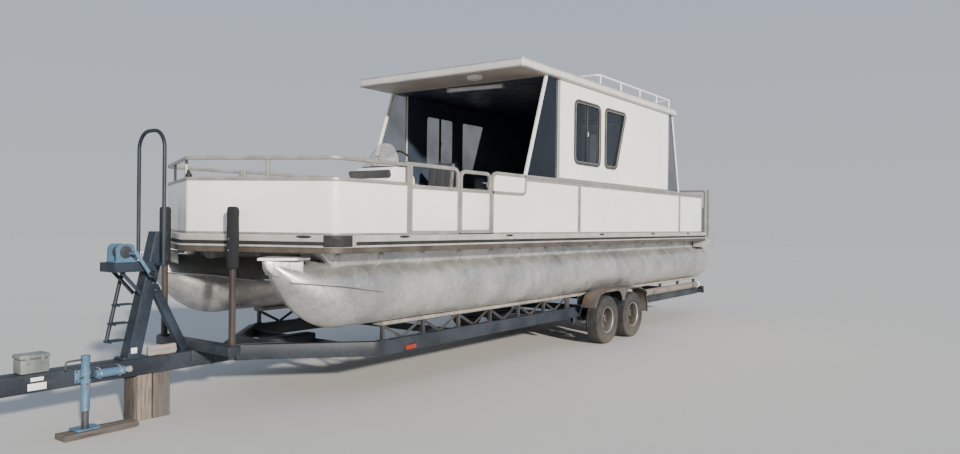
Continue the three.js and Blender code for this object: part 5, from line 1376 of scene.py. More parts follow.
def cornerGuard():
    # A rubber guard bent round each bow corner, with a bright cap on its aft end.
    near = bowLine(-0.052, 0.6)[1:8]
    route = np.concatenate([[[0.135, near[0, 1]]], near])
    route[:, 1] = np.minimum(route[:, 1], rim["out"] + outer - 0.004)
    place = np.column_stack([at(route[:, 0]), route[:, 1], np.full(len(route), deck - 0.05)])
    y = outer + rim["out"] - 0.004
    cap = sweep([(at(0.178), y, deck - 0.05), (at(0.131), y, deck - 0.05)], roundedBox(0.0078, 0.1, 0.003))
    return sweep(place, roundedBox(0.008, 0.098, 0.003)), cap


def cleat():
    # A low folding cleat: an oval base and a flat horn above it.
    turn = np.linspace(0, 2 * np.pi, 25)[:-1]
    base, horn = [np.column_stack([half * np.cos(turn), high * np.sin(turn) + lift])
                  for half, high, lift in ((0.072, 0.012, 0.0), (0.066, 0.007, 0.002))]
    return join([prism(base, outer + 0.047, outer + 0.0491, "y"), prism(horn, outer + 0.049, outer + 0.0499, "y")])


crossbeams = {"first": 0.15, "step": 0.6, "count": 15, "half": 1.236, "low": 1.3765, "upper": 0.122, "flange": 0.006,
              "width": 0.05, "web": 0.008}
platform = {"front": 9.04, "rear": 9.62, "half": 1.24, "top": 1.4503, "grip": 0.05, "beam": 0.178,
            "pod": dict(front=9.3, rear=9.758, half=0.21, low=1.0, high=1.305),
            "board": dict(front=9.75, rear=9.81, half=0.23, low=0.96, high=1.345)}


def deckFrame():
    # I beams across the boat, and under the bow point a cross piece and a keel piece.
    c, parts = crossbeams, []
    for i in range(c["count"]):
        s = c["first"] + i * c["step"]
        for low, high, width in ((c["low"], c["low"] + c["flange"], c["width"]),
                                 (c["low"] + c["upper"], c["low"] + c["upper"] + c["flange"], c["width"]),
                                 (1.38, 1.502, c["web"])):
            parts.append(cuboid(s - width / 2, s + width / 2, -c["half"], c["half"], low, high, 0.002))
    return join(parts + [cuboid(-0.32, -0.27, -0.56, 0.56, c["low"], 1.504),
                         cuboid(-0.5, 0.2, -0.025, 0.025, 1.387, 1.504)])


def acrossStern(part, edge):
    return cuboid(part["front"], part["rear"], -part["half"], part["half"], part["low"], part["high"], edge)


def platformParts():
    # The step behind the deck: its plate, the box beams under it, the pod and the board for the motor.
    p = platform
    low, back = p["top"] - 0.0308, p["rear"] - 0.02
    parts = [cuboid(p["front"], p["rear"], -p["half"], p["half"], low + 0.0005, p["top"], 0.005)]
    parts += [cuboid(8.95, back, y, y + p["beam"], 1.265, low, 0.008) for y in (p["half"] - p["beam"], -p["half"])]
    parts.append(cuboid(9.54, back, -1.23, 1.23, 1.2652, 1.4193, 0.008))
    parts += [cuboid(9.08, back, y - 0.004, y + 0.004, 1.4495, 1.4515, 0.0008)
              for y in np.arange(-1.2, 1.21, p["grip"])]
    heads = [(at(9.595), y, p["top"]) for y in np.linspace(-1.2, 1.2, 9)]
    pod = join([acrossStern(p["pod"], 0.02), acrossStern(p["board"], 0.012)])
    return join(parts), pod, bolts(heads, (0, 0, 1), 0.008, 0.004)


rolled, wall = deckRim()
piece("deck_rim", rolled, "rimMetal", instead=("deck_frame",), smooth=30)
# the wall under the rim takes the darker copy of the rim's metal as painted shade
piece("deck_rim_wall", wall, "shadedRimWall", smooth=30)
piece("deck_rim_insert", rubStrip(), "rubber")
guard, cap = cornerGuard()
piece("deck_corner_guards", onBothSides(guard), "rubber")
piece("deck_corner_caps", onBothSides(cap), "trimMetal")
cleats = join([moved(cleat(), (at(s), 0, deck - 0.015)) for s in rim["cleats"]])
slant = math.degrees(math.atan2(boat["bowRise"], outer))
bowCleat = moved(turned(moved(cleat(), (0, -outer, 0)), "Z", slant - 90),
                 (at(-boat["bowRise"] * (1 - 1.0 / outer)), 1.0, deck - 0.015))
piece("deck_cleats", onBothSides(join([cleats, bowCleat])), "rubber", smooth=50)
screws = [(at(s), outer + 0.0485, deck - 0.041) for s in np.arange(0.3, 9.0, 0.3)]
piece("deck_rim_screws", onBothSides(bolts(screws, (0, 1, 0), 0.0045, 0.0012, 6)), "trimMetal")
piece("deck_crossmembers", deckFrame(), "frameMetal")
step, pod, heads = platformParts()
piece("stern_platform", step, "trimMetal")
piece("stern_pod", pod, "frameMetal")
piece("stern_platform_bolts", heads, "frameMetal")
print("deck")


# Cabin

cabin = {
    "front": 3.685, "rear": 7.254, "thick": 0.04, "low": 2.2103, "top": 3.4327, "lining": 0.004,
    "door": (0.3, 1.56, 3.34), "pin": (7.26, -0.2965), "knuckles": (0.2, 0.86, 1.5),
}


def plate(outline, holes, low, high, axis):
    # A flat plate with holes, both of its faces cut into triangles between the loops.
    loops = [np.asarray(o, float) for o in (outline, *holes)]
    cuts = tessellate_polygon([[Vector((a, b, 0)) for a, b in loop] for loop in loops])
    points = np.concatenate(loops)
    count, start = len(points), 0
    faces = [list(c) for c in cuts] + [[i + count for i in reversed(c)] for c in cuts]
    for loop in loops:
        border = list(range(start, start + len(loop)))
        faces += [[a, b, b + count, a + count] for a, b in zip(border, border[1:] + border[:1])]
        start += len(loop)
    return np.concatenate([onPlane(points, low, axis), onPlane(points, high, axis)]), faces


def cabinWalls():
    c, w = cabin, windowOutlines()
    out = rectangle(at(c["rear"]), c["low"], at(c["front"]), c["top"])
    holes = [w["slider"], w["raked"]]
    wall = plate(out, holes, outer - c["thick"] + 0.0001, outer, "y")
    lining = plate(rectangle(at(c["rear"] - 0.041), c["low"], at(c["front"]), c["top"]),
                   [inset(h, 0.01) for h in holes], outer - c["thick"] - c["lining"], outer - c["thick"], "y")
    trims = [cuboid(c["front"] - 0.002, c["front"] + 0.03, outer, outer + 0.003, c["low"], c["top"], 0.001),
             cuboid(c["rear"] - 0.03, c["rear"] + 0.002, outer, outer + 0.003, c["low"], c["top"], 0.001),
             cuboid(c["front"], c["rear"], outer, outer + 0.004, c["low"], c["low"] + 0.014, 0.0015)]
    return wall, lining, join(trims)


def rearWall():
    c = cabin
    half, low, high = c["door"]
    wide = outer - c["thick"] - 0.0003
    x0, x1 = at(c["rear"]), at(c["rear"] - c["thick"])
    outline, hole = rectangle(-wide, deck + 0.0005, wide, c["top"]), rectangle(-half, low, half, high)
    wall = plate(outline, [hole], x0, x1, "x")
    lining = plate(outline, [inset(hole, -0.004)], x1, x1 + c["lining"], "x")
    trim = ring(inset(hole, -0.045), inset(hole, -0.001), x0 - 0.003, x0, "x")
    hinges = [knuckle(at(c["pin"][0]), c["pin"][1], deck + z + 0.0353) for z in c["knuckles"]]
    return wall, lining, join([trim, *hinges])


def doorLeaf():
    c = cabin
    half, low, high = c["door"]
    a, z0, z1 = half - 0.007, low + 0.007, high - 0.007
    x0, x1 = at(c["rear"]), at(c["rear"] - c["thick"])
    pane = rectangle(-a + 0.11, deck + 1.0, a - 0.11, z1 - 0.13, 0.04, 5)
    leaf = plate(rectangle(-a, z0, a, z1), [pane], x0 + 0.001, x1 - 0.001, "x")
    panel = ring(inset(rectangle(-a, z0, a, deck + 0.95), 0.07), inset(rectangle(-a, z0, a, deck + 0.95), 0.085),
                 x0 - 0.001, x0 + 0.002, "x")
    edge = ring(inset(pane, -0.018), inset(pane, 0.006), x0 - 0.004, x0 + 0.003, "x")
    edge = join([edge, ring(inset(pane, -0.018), inset(pane, 0.006), x1 - 0.003, x1 + 0.003, "x"), panel])
    glass = prism(inset(pane, -0.004), x0 + 0.017, x0 + 0.023, "x")
    y = a - 0.062
    handle = tube([(x0 + 0.004, y, deck + 0.935), (x0 - 0.03, y, deck + 0.945), (x0 - 0.03, y, deck + 1.03),
                   (x0 + 0.004, y, deck + 1.04)], 0.006, 12, 0.012, up=(0, 1, 0))
    rose = block((x0 - 0.003, y - 0.016, deck + 0.9), (x0 + 0.004, y + 0.016, deck + 1.07), 0.003)
    hinges = [knuckle(at(c["pin"][0]), c["pin"][1], deck + z) for z in c["knuckles"]]
    return leaf, edge, glass, join([handle, rose, *hinges])


# the linings inside the cabin walls are coloured dark as painted shade
wall, lining, trims = cabinWalls()
for name, side in sides:
    piece(f"cabin_wall_{name}_sheet", facing(wall, side), "whiteSheet", instead=(f"cabin_wall_{name}",))
    piece(f"cabin_wall_{name}_lining", facing(lining, side), "paintedShadeLining")
    piece(f"cabin_wall_{name}_trim", facing(trims, side), "trimMetal")
wall, lining, trims = rearWall()
piece("cabin_wall_rear_sheet", wall, "whiteSheet", instead=("cabin_wall_rear",))
piece("cabin_wall_rear_lining", lining, "paintedShadeLining")
piece("cabin_wall_rear_trim", trims, "trimMetal")
leaf, edge, glass, fittings = doorLeaf()
piece("cabin_door_leaf", leaf, "whiteSheet", "cabin_door", ("cabin_door",))
piece("cabin_door_edges", edge, "trimMetal", "cabin_door")
piece("cabin_door_glass", glass, "tint", "cabin_door")
piece("cabin_door_fittings", fittings, "trimMetal", "cabin_door")


def roofPanels():
    # The slab with its rolled edge, seams on top, the pale soffit ahead and the lining of the cabin, coloured dark as
    # painted shade.
    r = roofing
    corners = [(at(r["to"]), -r["half"]), (at(r["from"]), -r["half"]), (at(r["from"]), r["half"]),
               (at(r["to"]), r["half"])]
    outline = eased(corners, 0.03, 5, closed=True)
    rings = [(0.012, r["low"] + 0.0005), (0.002, r["low"] + 0.001), (0.0, r["low"] + 0.004), (0.0, r["high"] - 0.03),
             (0.003, r["high"] - 0.014), (0.011, r["high"] - 0.004), (0.024, r["high"])]
    slab = gridShape([onPlane(inset(outline, d), z, "z") for d, z in rings], closedColumns=True, caps=True)
    seams = [cuboid(s - 0.006, s + 0.006, -1.2, 1.2, r["high"] - 0.001, r["high"] + 0.0028, 0.001)
             for s in np.arange(r["from"] + 0.6, r["to"] - 0.2, 0.61)]
    soffit = cuboid(r["from"] + 0.02, 3.4, -1.236, 1.236, r["low"] - 0.004, r["low"] + 0.002, 0.002)
    battens = [cuboid(s - 0.012, s + 0.012, -1.235, 1.235, r["low"] - 0.008, r["low"] - 0.003, 0.002)
               for s in (2.83, 3.395)]
    ceiling = cuboid(3.41, 7.21, -1.2, 1.2, r["low"] - 0.005, r["low"] + 0.002, 0.002)
    return join([slab, *seams]), join([soffit, *battens]), ceiling


lamps = {
    "round": dict(station=3.0, y=0.46, profile=[(0, -0.05), (0.05, -0.047), (0.085, -0.035), (0.098, -0.016),
                                                (0.1, 0.0), (0, 0.0)]),
    "long": dict(ends=((3.47, -0.3), (3.57, 0.5)), width=0.07, height=0.05),
}


def cabinLamps():
    # The round lamp under the soffit and the long lamp just inside, with a cap on each end.
    z, small, long = roofing["low"] - 0.004, lamps["round"], lamps["long"]
    dome = lathe(small["profile"], (at(small["station"]), small["y"], z), "Z", 32, False)
    ends = [(at(station), y, z - 0.03) for station, y in long["ends"]]
    bar = sweep(ends, roundedBox(long["width"], long["height"], 0.014))
    cap = block((-0.045, -0.012, -0.032), (0.045, 0.012, 0.03), 0.006)
    return dome, bar, join([moved(cap, end) for end in ends])


slab, soffit, ceiling = roofPanels()
piece("roof_slab", slab, "roofSheet", instead=("roof",), smooth=40)
piece("roof_soffit", soffit, "soffit")
# the ceiling lining is coloured dark as painted shade
piece("roof_lining", ceiling, "paintedShadeLining")
dome, bar, caps = cabinLamps()
piece("cabin_lamp_round", dome, "palePlastic", smooth=60)
piece("cabin_lamp_long", bar, "palePlastic")
piece("cabin_lamp_ends", caps, "trimMetal")
print("cabin")


# Helm

helm = {
    "y": -0.69, "half": 0.33, "front": 2.35, "rear": 2.88, "high": 0.8,
    "side": [(2.35, 0.0005), (2.88, 0.0005), (2.88, 0.67), (2.77, 0.8), (2.48, 0.8),
             (2.35, 0.58)],     # station, height on the deck
    "pane": dict(foot=0.21, middle=0.06, half=0.3, lean=0.17, narrow=0.2, height=0.31, thick=0.005, drop=0.74,
                 belly=0.025),
    "dials": (-0.2, -0.1, 0.1, 0.2), "bolster": (2.392, 0.703),
    "dial": [(0, 0.001), (0.034, 0.001), (0.034, 0.009), (0.038, 0.011), (0.041, 0.008), (0.042, 0.0), (0, 0.0)],
    "hub": [(0, -0.024), (0.028, -0.024), (0.033, -0.018), (0.034, 0.004), (0.03, 0.012), (0.02, 0.0135), (0, 0.014)],
    "wheel": dict(station=2.985, height=0.87, radius=0.18, thick=0.014, lean=25.0),
    "seat": dict(station=3.56, reach=0.222, half=0.232, low=0.368, high=0.452, seam=0.08, foot=0.352,
                 back=dict(behind=0.215, above=0.44, thick=0.06, half=0.225, height=0.51, lean=-7.5)),
}


def crowned(low, high, edge, lift):
    # A box whose faces belly out: each point of a rounded box is pushed out by lift x (1 - a^2)(1 - b^2).
    low, high = np.asarray(low, float), np.asarray(high, float)
    middle, half = (low + high) / 2, (high - low) / 2
    t = np.linspace(-1, 1, 15)
    a, b = np.meshgrid(t, t, indexing="ij")
    faces = []
    for axis in range(3):
        for sign in (-1, 1):
            p = np.empty((15, 15, 3))
            p[..., axis], p[..., (axis + 1) % 3], p[..., (axis + 2) % 3] = sign, a, b * sign
            core = np.clip(p * half, edge - half, half - edge)
            away = p * half - core
            away /= np.maximum(np.linalg.norm(away, axis=-1, keepdims=True), 1e-9)
            out = core + away * edge
            out[..., axis] += sign * lift * (1 - a ** 2) * (1 - b ** 2)
            faces.append(gridShape(out + middle))
    return join(faces)


def stitched(points, normals, lines):
    # Draws the surface in along seams: each line is an axis and its value there.
    for axis, value in lines:
        away = (points[:, axis] - value) / cushioning["seamWidth"]
        points = points - normals * (cushioning["seamDepth"] * np.exp(-away ** 2))[:, None]
    return points


cushioning = {"voxel": 0.006, "pressure": 4.0, "frames": 20, "quality": 6, "seamDepth": 0.006, "seamWidth": 0.008}


def coordinates(mesh, attribute="co"):
    values = np.empty(len(mesh.vertices) * 3)
    mesh.vertices.foreach_get(attribute, values)
    return values.reshape(-1, 3)


def padding(name, shape, look, instead, swell, lines):
    # A stuffed cover: the closed shape is remeshed, blown up as cloth, held within the swell, then sewn along
    # its lines.
    work = linked(name, meshFrom(name, shape))
    even = work.modifiers.new("even", "REMESH")
    even.mode, even.voxel_size = "VOXEL", cushioning["voxel"]
    graph = bpy.context.evaluated_depsgraph_get()
    mesh = bpy.data.meshes.new_from_object(work.evaluated_get(graph))
    bpy.data.objects.remove(work)
    rest = coordinates(mesh)
    work = linked(name, mesh)
    cloth = work.modifiers.new("cloth", "CLOTH")
    cloth.settings.quality = cushioning["quality"]
    cloth.settings.use_pressure, cloth.settings.uniform_pressure_force = True, cushioning["pressure"]
    cloth.settings.effector_weights.gravity = 0.0
    cloth.collision_settings.use_collision = False
    scene = bpy.context.scene
    for count in range(1, cushioning["frames"] + 1):
        scene.frame_set(count)
    graph = bpy.context.evaluated_depsgraph_get()
    blown = bpy.data.meshes.new_from_object(work.evaluated_get(graph))
    bpy.data.objects.remove(work)
    scene.frame_set(1)
    step = coordinates(blown) - rest
    far = np.linalg.norm(step, axis=1, keepdims=True)
    rest = rest + step * np.minimum(1, swell / np.maximum(far, 1e-9))
    mesh.vertices.foreach_set("co", rest.ravel())
    mesh.update()
    rest = stitched(rest, coordinates(mesh, "normal"), lines)
    mesh.vertices.foreach_set("co", rest.ravel())
    mesh.update()
    thing = finished(name, mesh, look, "root", instead, 180, 0.0, 1)
    return thing


def helmConsole():
    # Shells across the boat: the white body, and a black padded bolster on its sloped front.
    h = helm
    outline = eased([(at(s), deck + z) for s, z in h["side"]], [0.002, 0.002, 0.05, 0.05, 0.05, 0.05], 5, closed=True)
    rows = [(0.026, 0.0), (0.012, 0.004), (0.004, 0.012), (0.0, 0.026)]
    y0, y1 = h["y"] - h["half"], h["y"] + h["half"]
    levels = [(d, y0 + step) for d, step in rows] + [(d, y1 - step) for d, step in reversed(rows)]
    # the foot of the console stays flat on the deck
    rings = [onPlane(inset(outline, d), y, "y") for d, y in levels]
    body = gridShape(rings, closedColumns=True, caps=True)
    body[0][:, 2] = np.maximum(body[0][:, 2], deck + 0.0005)
    station, above = h["bolster"]
    bar = [(at(station), y, deck + above) for y in (y0 + 0.004, y1 - 0.004)]
    bolster = sweep(bar, rectangle(-0.03, -0.05, 0.03, 0.05, 0.024, 5), up=(0.5, 0, 1))
    slope = math.degrees(math.atan2(0.13, 0.11))
    dash = turned(block((-0.001, -0.27, -0.06), (0.004, 0.27, 0.06), 0.003), "Y", slope - 90)
    dials = []
    for y in h["dials"]:
        dial = lathe(h["dial"], (0, y, 0), "X", 28, False)
        dials.append(turned(mirrored(dial, (-1, 1, 1)), "Y", slope))
    middle = (at(2.825) - 0.005, h["y"], deck + 0.737)
    column = tube([(at(2.76), h["y"], deck + 0.765), (at(2.955), h["y"], deck + 0.855)], 0.019, 18)
    boot = tube([(at(2.79), h["y"], deck + 0.78), (at(2.83), h["y"], deck + 0.799)], 0.034, 18)
    lever = [cuboid(2.7, 2.8, y0 + 0.03, y0 + 0.1, deck + 0.79, deck + 0.86, 0.012),
             tube([(at(2.75), y0 + 0.045, deck + 0.85), (at(2.765), y0 + 0.045, deck + 0.93),
                   (at(2.79), y0 + 0.06, deck + 0.965)], 0.008, 12, 0.03),
             tube([(at(2.79), y0 + 0.05, deck + 0.965), (at(2.792), y0 + 0.115, deck + 0.965)], 0.014, 14)]
    return body, bolster, join([moved(dash, middle), column, boot, *lever]), moved(join(dials), middle)


def windshieldPane():
    # u runs across and v up. The station is front + foot - middle (1 - u^2) + lean v, less a belly of
    # (1 - u^2) v; y is half u (1 - narrow v); the top drops at the sides as 1 - drop |u|^3.
    p = helm["pane"]
    u, v = np.meshgrid(np.linspace(-1, 1, 41), np.linspace(0, 1, 25), indexing="ij")
    v = v * (1 - p["drop"] * np.abs(u) ** 3)
    station = helm["front"] + p["foot"] - p["middle"] * (1 - u ** 2) + p["lean"] * v - p["belly"] * (1 - u ** 2) * v
    y = helm["y"] + p["half"] * u * (1 - p["narrow"] * v)
    z = deck + helm["high"] + 0.0005 + p["height"] * v
    skins = [np.stack([at(station + back), y, z], -1) for back in (0.0, p["thick"])]
    route = skins[0][:, 0] + (-0.003, 0, 0.006)
    return closedSkins(*skins), sweep(route, roundedBox(0.016, 0.012, 0.003))


def steeringWheel():
    # Ring radius + grip waves along its back, three flat spokes and a capped hub, laid on a leaning axis.
    w = helm["wheel"]
    turn = np.arange(96) * 2 * np.pi / 96
    around = np.arange(14) * 2 * np.pi / 14
    grip = w["thick"] * (1 - 0.07 * (1 + np.cos(turn * 32))[:, None] * (np.sin(around) < 0))
    r = w["radius"] + grip * np.cos(around)
    points = np.stack([r * np.cos(turn)[:, None], r * np.sin(turn)[:, None], grip * np.sin(around)], -1)
    bar = block((0.02, -0.0115, -0.0045), (0.176, 0.0115, 0.0045), 0.003)
    spokes = [turned(bar, "Z", 90 + i * 120) for i in range(3)]
    hub = lathe(helm["hub"], (0, 0, 0), "Z", 32, False)
    place = (at(w["station"]), helm["y"], deck + w["height"])
    parts = gridShape(points, closedRows=True, closedColumns=True), join([*spokes, hub])
    return [moved(turned(part, "Y", w["lean"] - 90), place) for part in parts]


def seatParts():
    # A round foot with a plate on it, the cushion, the back that leans aft and the irons that hold it.
    d, y = helm["seat"], helm["y"]
    s, under, top = d["station"], d["foot"], deck + d["foot"]
    foot = lathe([(0, 0), (0.148, 0), (0.148, 0.004), (0.14, 0.011), (0.05, 0.012), (0.042, 0.02), (0.0375, 0.03),
                  (0.0375, 0.3), (0.052, 0.34), (0.052, under), (0, under)], (at(s), y, deck + 0.0005), "Z", 40,
                 False)
    carrier = cuboid(s - 0.17, s + 0.17, y - 0.15, y + 0.15, top, top + 0.014, 0.005)
    cushion = crowned((at(s + d["reach"]), y - d["half"], deck + d["low"]),
                      (at(s - d["reach"]), y + d["half"], deck + d["high"]), 0.026, 0.008)
    b = d["back"]
    back = crowned((-b["thick"] / 2, y - b["half"], 0.0), (b["thick"] / 2, y + b["half"], b["height"]), 0.024, 0.006)
    back = moved(turned(back, "Y", b["lean"]), (at(s + b["behind"]), 0, deck + b["above"]))
    irons = [cuboid(s + 0.18, s + 0.262, side - 0.006, side + 0.006, deck + 0.36, deck + 0.47, 0.003)
             for side in (y - 0.2, y + 0.2)]
    return join([foot, carrier]), cushion, back, join(irons)


body, bolster, dash, dials = helmConsole()
piece("helm_console_body", body, "whiteSheet", instead=("helm_console",), smooth=40)
piece("helm_console_bolster", bolster, "seatVinyl", smooth=50)
piece("helm_console_dash", dash, "engineShell")
piece("helm_console_dials", dials, "trimMetal")
pane, base = windshieldPane()
piece("windshield_pane", pane, "clear", instead=("windshield",), smooth=60)
piece("windshield_base", base, "rubber")
grip, hub = steeringWheel()
piece("steering_wheel_rim", grip, "rubber", "steering_wheel", ("steering_wheel",), 60)
# the spokes reuse the rim steel darkened by painted shade
piece("steering_wheel_spokes", hub, "rimSteelShaded", "steering_wheel")

foot, cushion, back, irons = seatParts()
seams = [(1, helm["y"] + side * helm["seat"]["seam"]) for side in (-1, 1)]
piece("helm_seat_foot", foot, "trimMetal")
padding("helm_seat_cushion", cushion, "seatVinyl", ("helm_seat",), 0.012, seams)
padding("helm_seat_back", back, "seatVinyl", ("helm_seat",), 0.01, seams)
piece("helm_seat_irons", irons, "trimMetal")
print("helm")


# Bow stops

stops = {"y": {"port": 0.505, "starboard": 0.44}, "half": 0.045, "padHalf": 0.048, "post": 0.022, "low": 1.23,
         "top": 1.763, "foot": 0.5943, "bolts": (1.395, 1.49)}


def stopStation(name):
    slant = math.hypot(boat["bowRise"], outer) / outer
    near = stops["y"][name] - stops["padHalf"]
    reach = -boat["bowRise"] - boat["rimOut"] * slant + boat["bowRise"] / outer * near
    return reach - stops["half"] - 0.0003


for name, side in sides:
    station, y = stopStation(name), side * stops["y"][name]
    post = stops["post"]
    tie = cuboid(station - post - 0.012, station + post + 0.012, y - post - 0.02, y + post + 0.02,
                 stops["foot"] + 0.0003, stops["foot"] + 0.012, 0.003)
    upright = sweep([(at(station), y, stops["foot"]), (at(station), y, stops["low"] + 0.1)],
                    roundedBox(2 * post, 2 * post, 0.006), up=(1, 0, 0))
    piece(f"bow_stop_{name}_post", join([tie, upright]), "rustedPost")
    inner = 0.003
    pad = crowned((at(station + stops["half"] - inner), y - stops["padHalf"] + inner, stops["low"] + inner),
                  (at(station - stops["half"] + inner), y + stops["padHalf"] - inner, stops["top"] - inner), 0.02,
                  0.001)
    padding(f"bow_stop_{name}_pad", pad, "padCloth", (f"bow_stop_{name}",), 0.003, [(1, y + 0.03)])
    heads = [(at(station - stops["half"]) - 0.001, y, z) for z in stops["bolts"]]
    piece(f"bow_stop_{name}_bolts", bolts(heads, (1, 0, 0), 0.0085, 0.0035, 8), "trimMetal")
print("bow stops")


# Trailer

trailer = {
    "rail": dict(outer=0.95, width=0.065, low=0.375, high=0.515, bend=0.82, end=9.53, meet=-0.18),
    "tongue": dict(half=0.075, front=-2.35),
    # the coupler as (station, half width, how far its underside is up and its top down)
    "coupler": [(-2.519, 0.03, 0.012, 0.045), (-2.51, 0.042, 0.004, 0.026), (-2.49, 0.048, 0, 0.012),
                (-2.45, 0.05, 0, 0.008), (-2.42, 0.046, 0, 0.02), (-2.36, 0.055, 0, 0.012), (-2.3, 0.07, 0, 0),
                (-2.28, 0.0755, 0, 0)],
    "bars": (0.82, 2.3, 3.9, 5.485, 7.0, 9.4),
    "bolster": dict(half=0.045, beyond=0.06, top=0.594),
    "axle": dict(z=0.3315, spring=0.39, leaves=(1.0, 0.78, 0.56, 0.36),
                 # the brake drum as (radius, distance from the centreline)
                 drum=[(0.02, 1.005), (0.075, 1.006), (0.112, 1.012), (0.118, 1.02), (0.118, 1.032), (0.11, 1.036),
                       (0.11, 1.1), (0.114, 1.104), (0.114, 1.112), (0.1, 1.12), (0.02, 1.12)]),
    "bunk": dict(y=0.89, half=0.07, front=0.88, rear=9.6, thick=0.038, top=0.6997),
    "truss": dict(front=0.9, rear=4.5, bays=12, rearFrom=4.56, rearStep=0.805),
}


def trailerRails():
    # The side rails bend in to the tongue; cross bars, the carrier of the bow stops and the joint plates are boxes.
    r, t = trailer["rail"], trailer["tongue"]
    z, high = (r["low"] + r["high"]) / 2, r["high"] - r["low"]
    centre = r["outer"] - r["width"] / 2
    route = eased([(at(r["end"]), centre, z), (at(r["bend"] + 0.01), centre, z),
                   (at(r["meet"] + 0.07), t["half"] + 0.005, z)], 0.05, 5)
    side = sweep(route, roundedBox(r["width"], high, 0.009))
    parts = [onBothSides(side)]
    parts.append(sweep([(at(t["front"]), 0, z), (at(r["bend"] + 0.02), 0, z)],
                       roundedBox(2 * t["half"], high, 0.012)))
    for s in trailer["bars"]:
        parts.append(cuboid(s, s + 0.05, -0.93, 0.93, r["low"] + 0.002, r["low"] + 0.08, 0.006))
    b = trailer["bolster"]
    s0, s1 = stopStation("starboard") - b["half"], stopStation("port") + b["half"]
    parts.append(cuboid(s0, s1, -stops["y"]["starboard"] - b["beyond"], stops["y"]["port"] + b["beyond"], r["high"],
                        b["top"], 0.006))
    parts += [cuboid(s0 - 0.02, s1 + 0.02, -0.085, 0.085, r["high"] - 0.09, r["high"] + 0.004, 0.003)]
    # plates where the rails meet the tongue and bands where two lengths are joined
    plan = [(at(-0.12), 0.1), (at(0.2), 0.28), (at(0.2), -0.28), (at(-0.12), -0.1)]
    parts += [prism(plan, v, v + 0.006, "z") for v in (r["low"] - 0.0062, r["high"] + 0.0002)]
    for s, grow in ((-1.17, 0.004), (-0.36, 0.004)):
        parts.append(sweep([(at(s), 0, z), (at(s + 0.012), 0, z)],
                           roundedBox(2 * (t["half"] + grow), high + 2 * grow, 0.012)))
    tail = cuboid(r["end"] - 0.04, r["end"], -r["outer"] - 0.13, r["outer"] + 0.13, 0.395, 0.465, 0.006)
    return join(parts + [tail])


def coupler():
    # The ball socket drawn from a channel to a dome, with its latch and pin.
    r = trailer["rail"]
    low, high = r["low"] + 0.04, r["high"] - 0.012
    rows = [(station, half, low + up, high - down) for station, half, up, down in trailer["coupler"]]
    body = loftX(rows, 0.024)
    latch = [cuboid(-2.44, -2.36, -0.012, 0.012, high - 0.014, high + 0.006, 0.004),
             tube([(at(-2.43), 0, high + 0.002), (at(-2.4), 0, high + 0.024), (at(-2.34), 0, high + 0.03)], 0.008, 12,
                  0.02)]
    return join([body, *latch]), bolts([(at(s), 0.074, z) for s in (-2.31, -2.2) for z in (0.43, 0.475)], (0, 1, 0),
                                       0.011, 0.008, 6)


def bunkBoard(side):
    # The plank in its carpet: a rounded section carried along the bunk, its top waving slightly.
    b = trailer["bunk"]
    z = b["top"] - b["thick"] / 2 - 0.0001
    route = np.column_stack([at(np.linspace(b["rear"], b["front"], 60)), np.full(60, side * b["y"]), np.full(60, z)])
    route[:, 2] -= 0.0006 * (1 + np.sin(np.linspace(0, 60, 60) * 1.9))
    return sweep(route, roundedBox(2 * b["half"], b["thick"] - 0.001, 0.01, 3))


def bunkTruss(side):
    # Square posts on foot plates, with flat diagonals between them as far as the front bays go.
    t, b, r = trailer["truss"], trailer["bunk"], trailer["rail"]
    y = side * (r["outer"] - r["width"] / 2)
    low, high = r["high"] + 0.0003, b["top"] - b["thick"] - 0.0005
    step = (t["rear"] - t["front"]) / t["bays"]
    stations = [t["front"] + 0.02 + i * 2 * step for i in range(7)]
    stations += [t["rearFrom"] + i * t["rearStep"] for i in range(7)]
    parts, heads = [], []
    for s in stations:
        parts.append(cuboid(s - 0.015, s + 0.015, y - 0.02, y + 0.02, low, high, 0.003))
        parts.append(cuboid(s - 0.045, s + 0.045, y - 0.028, y + 0.028, low, low + 0.005, 0.002))
        parts.append(cuboid(s - 0.03, s + 0.03, y - 0.03, y + 0.03, high - 0.005, high, 0.002))
        heads += [(at(s) + dx, y, low + 0.005) for dx in (-0.032, 0.032)]
    for i in range(t["bays"]):
        foot, head = [t["front"] + (i + (0 if (i % 2) == far else 1)) * step for far in (1, 0)]
        foot, head = foot + 0.01 * np.sign(head - foot), head - 0.012 * np.sign(head - foot)
        ends = [(at(foot), y, low + 0.004), (at(head), y, high - 0.004)]
        parts.append(sweep(ends, roundedBox(0.03, 0.006, 0.002), up=(0, 1, 0)))
        parts.append(sweep(ends, roundedBox(0.006, 0.026, 0.002), up=(0, 1, 0)))
    spine = sweep([(at(t["rear"] + 0.1), y, high - 0.004), (at(t["front"] - 0.02), y, high - 0.004)],
                  roundedBox(0.05, 0.007, 0.002))
    return join([*parts, spine]), bolts(heads, (0, 0, 1), 0.008, 0.006, 6)


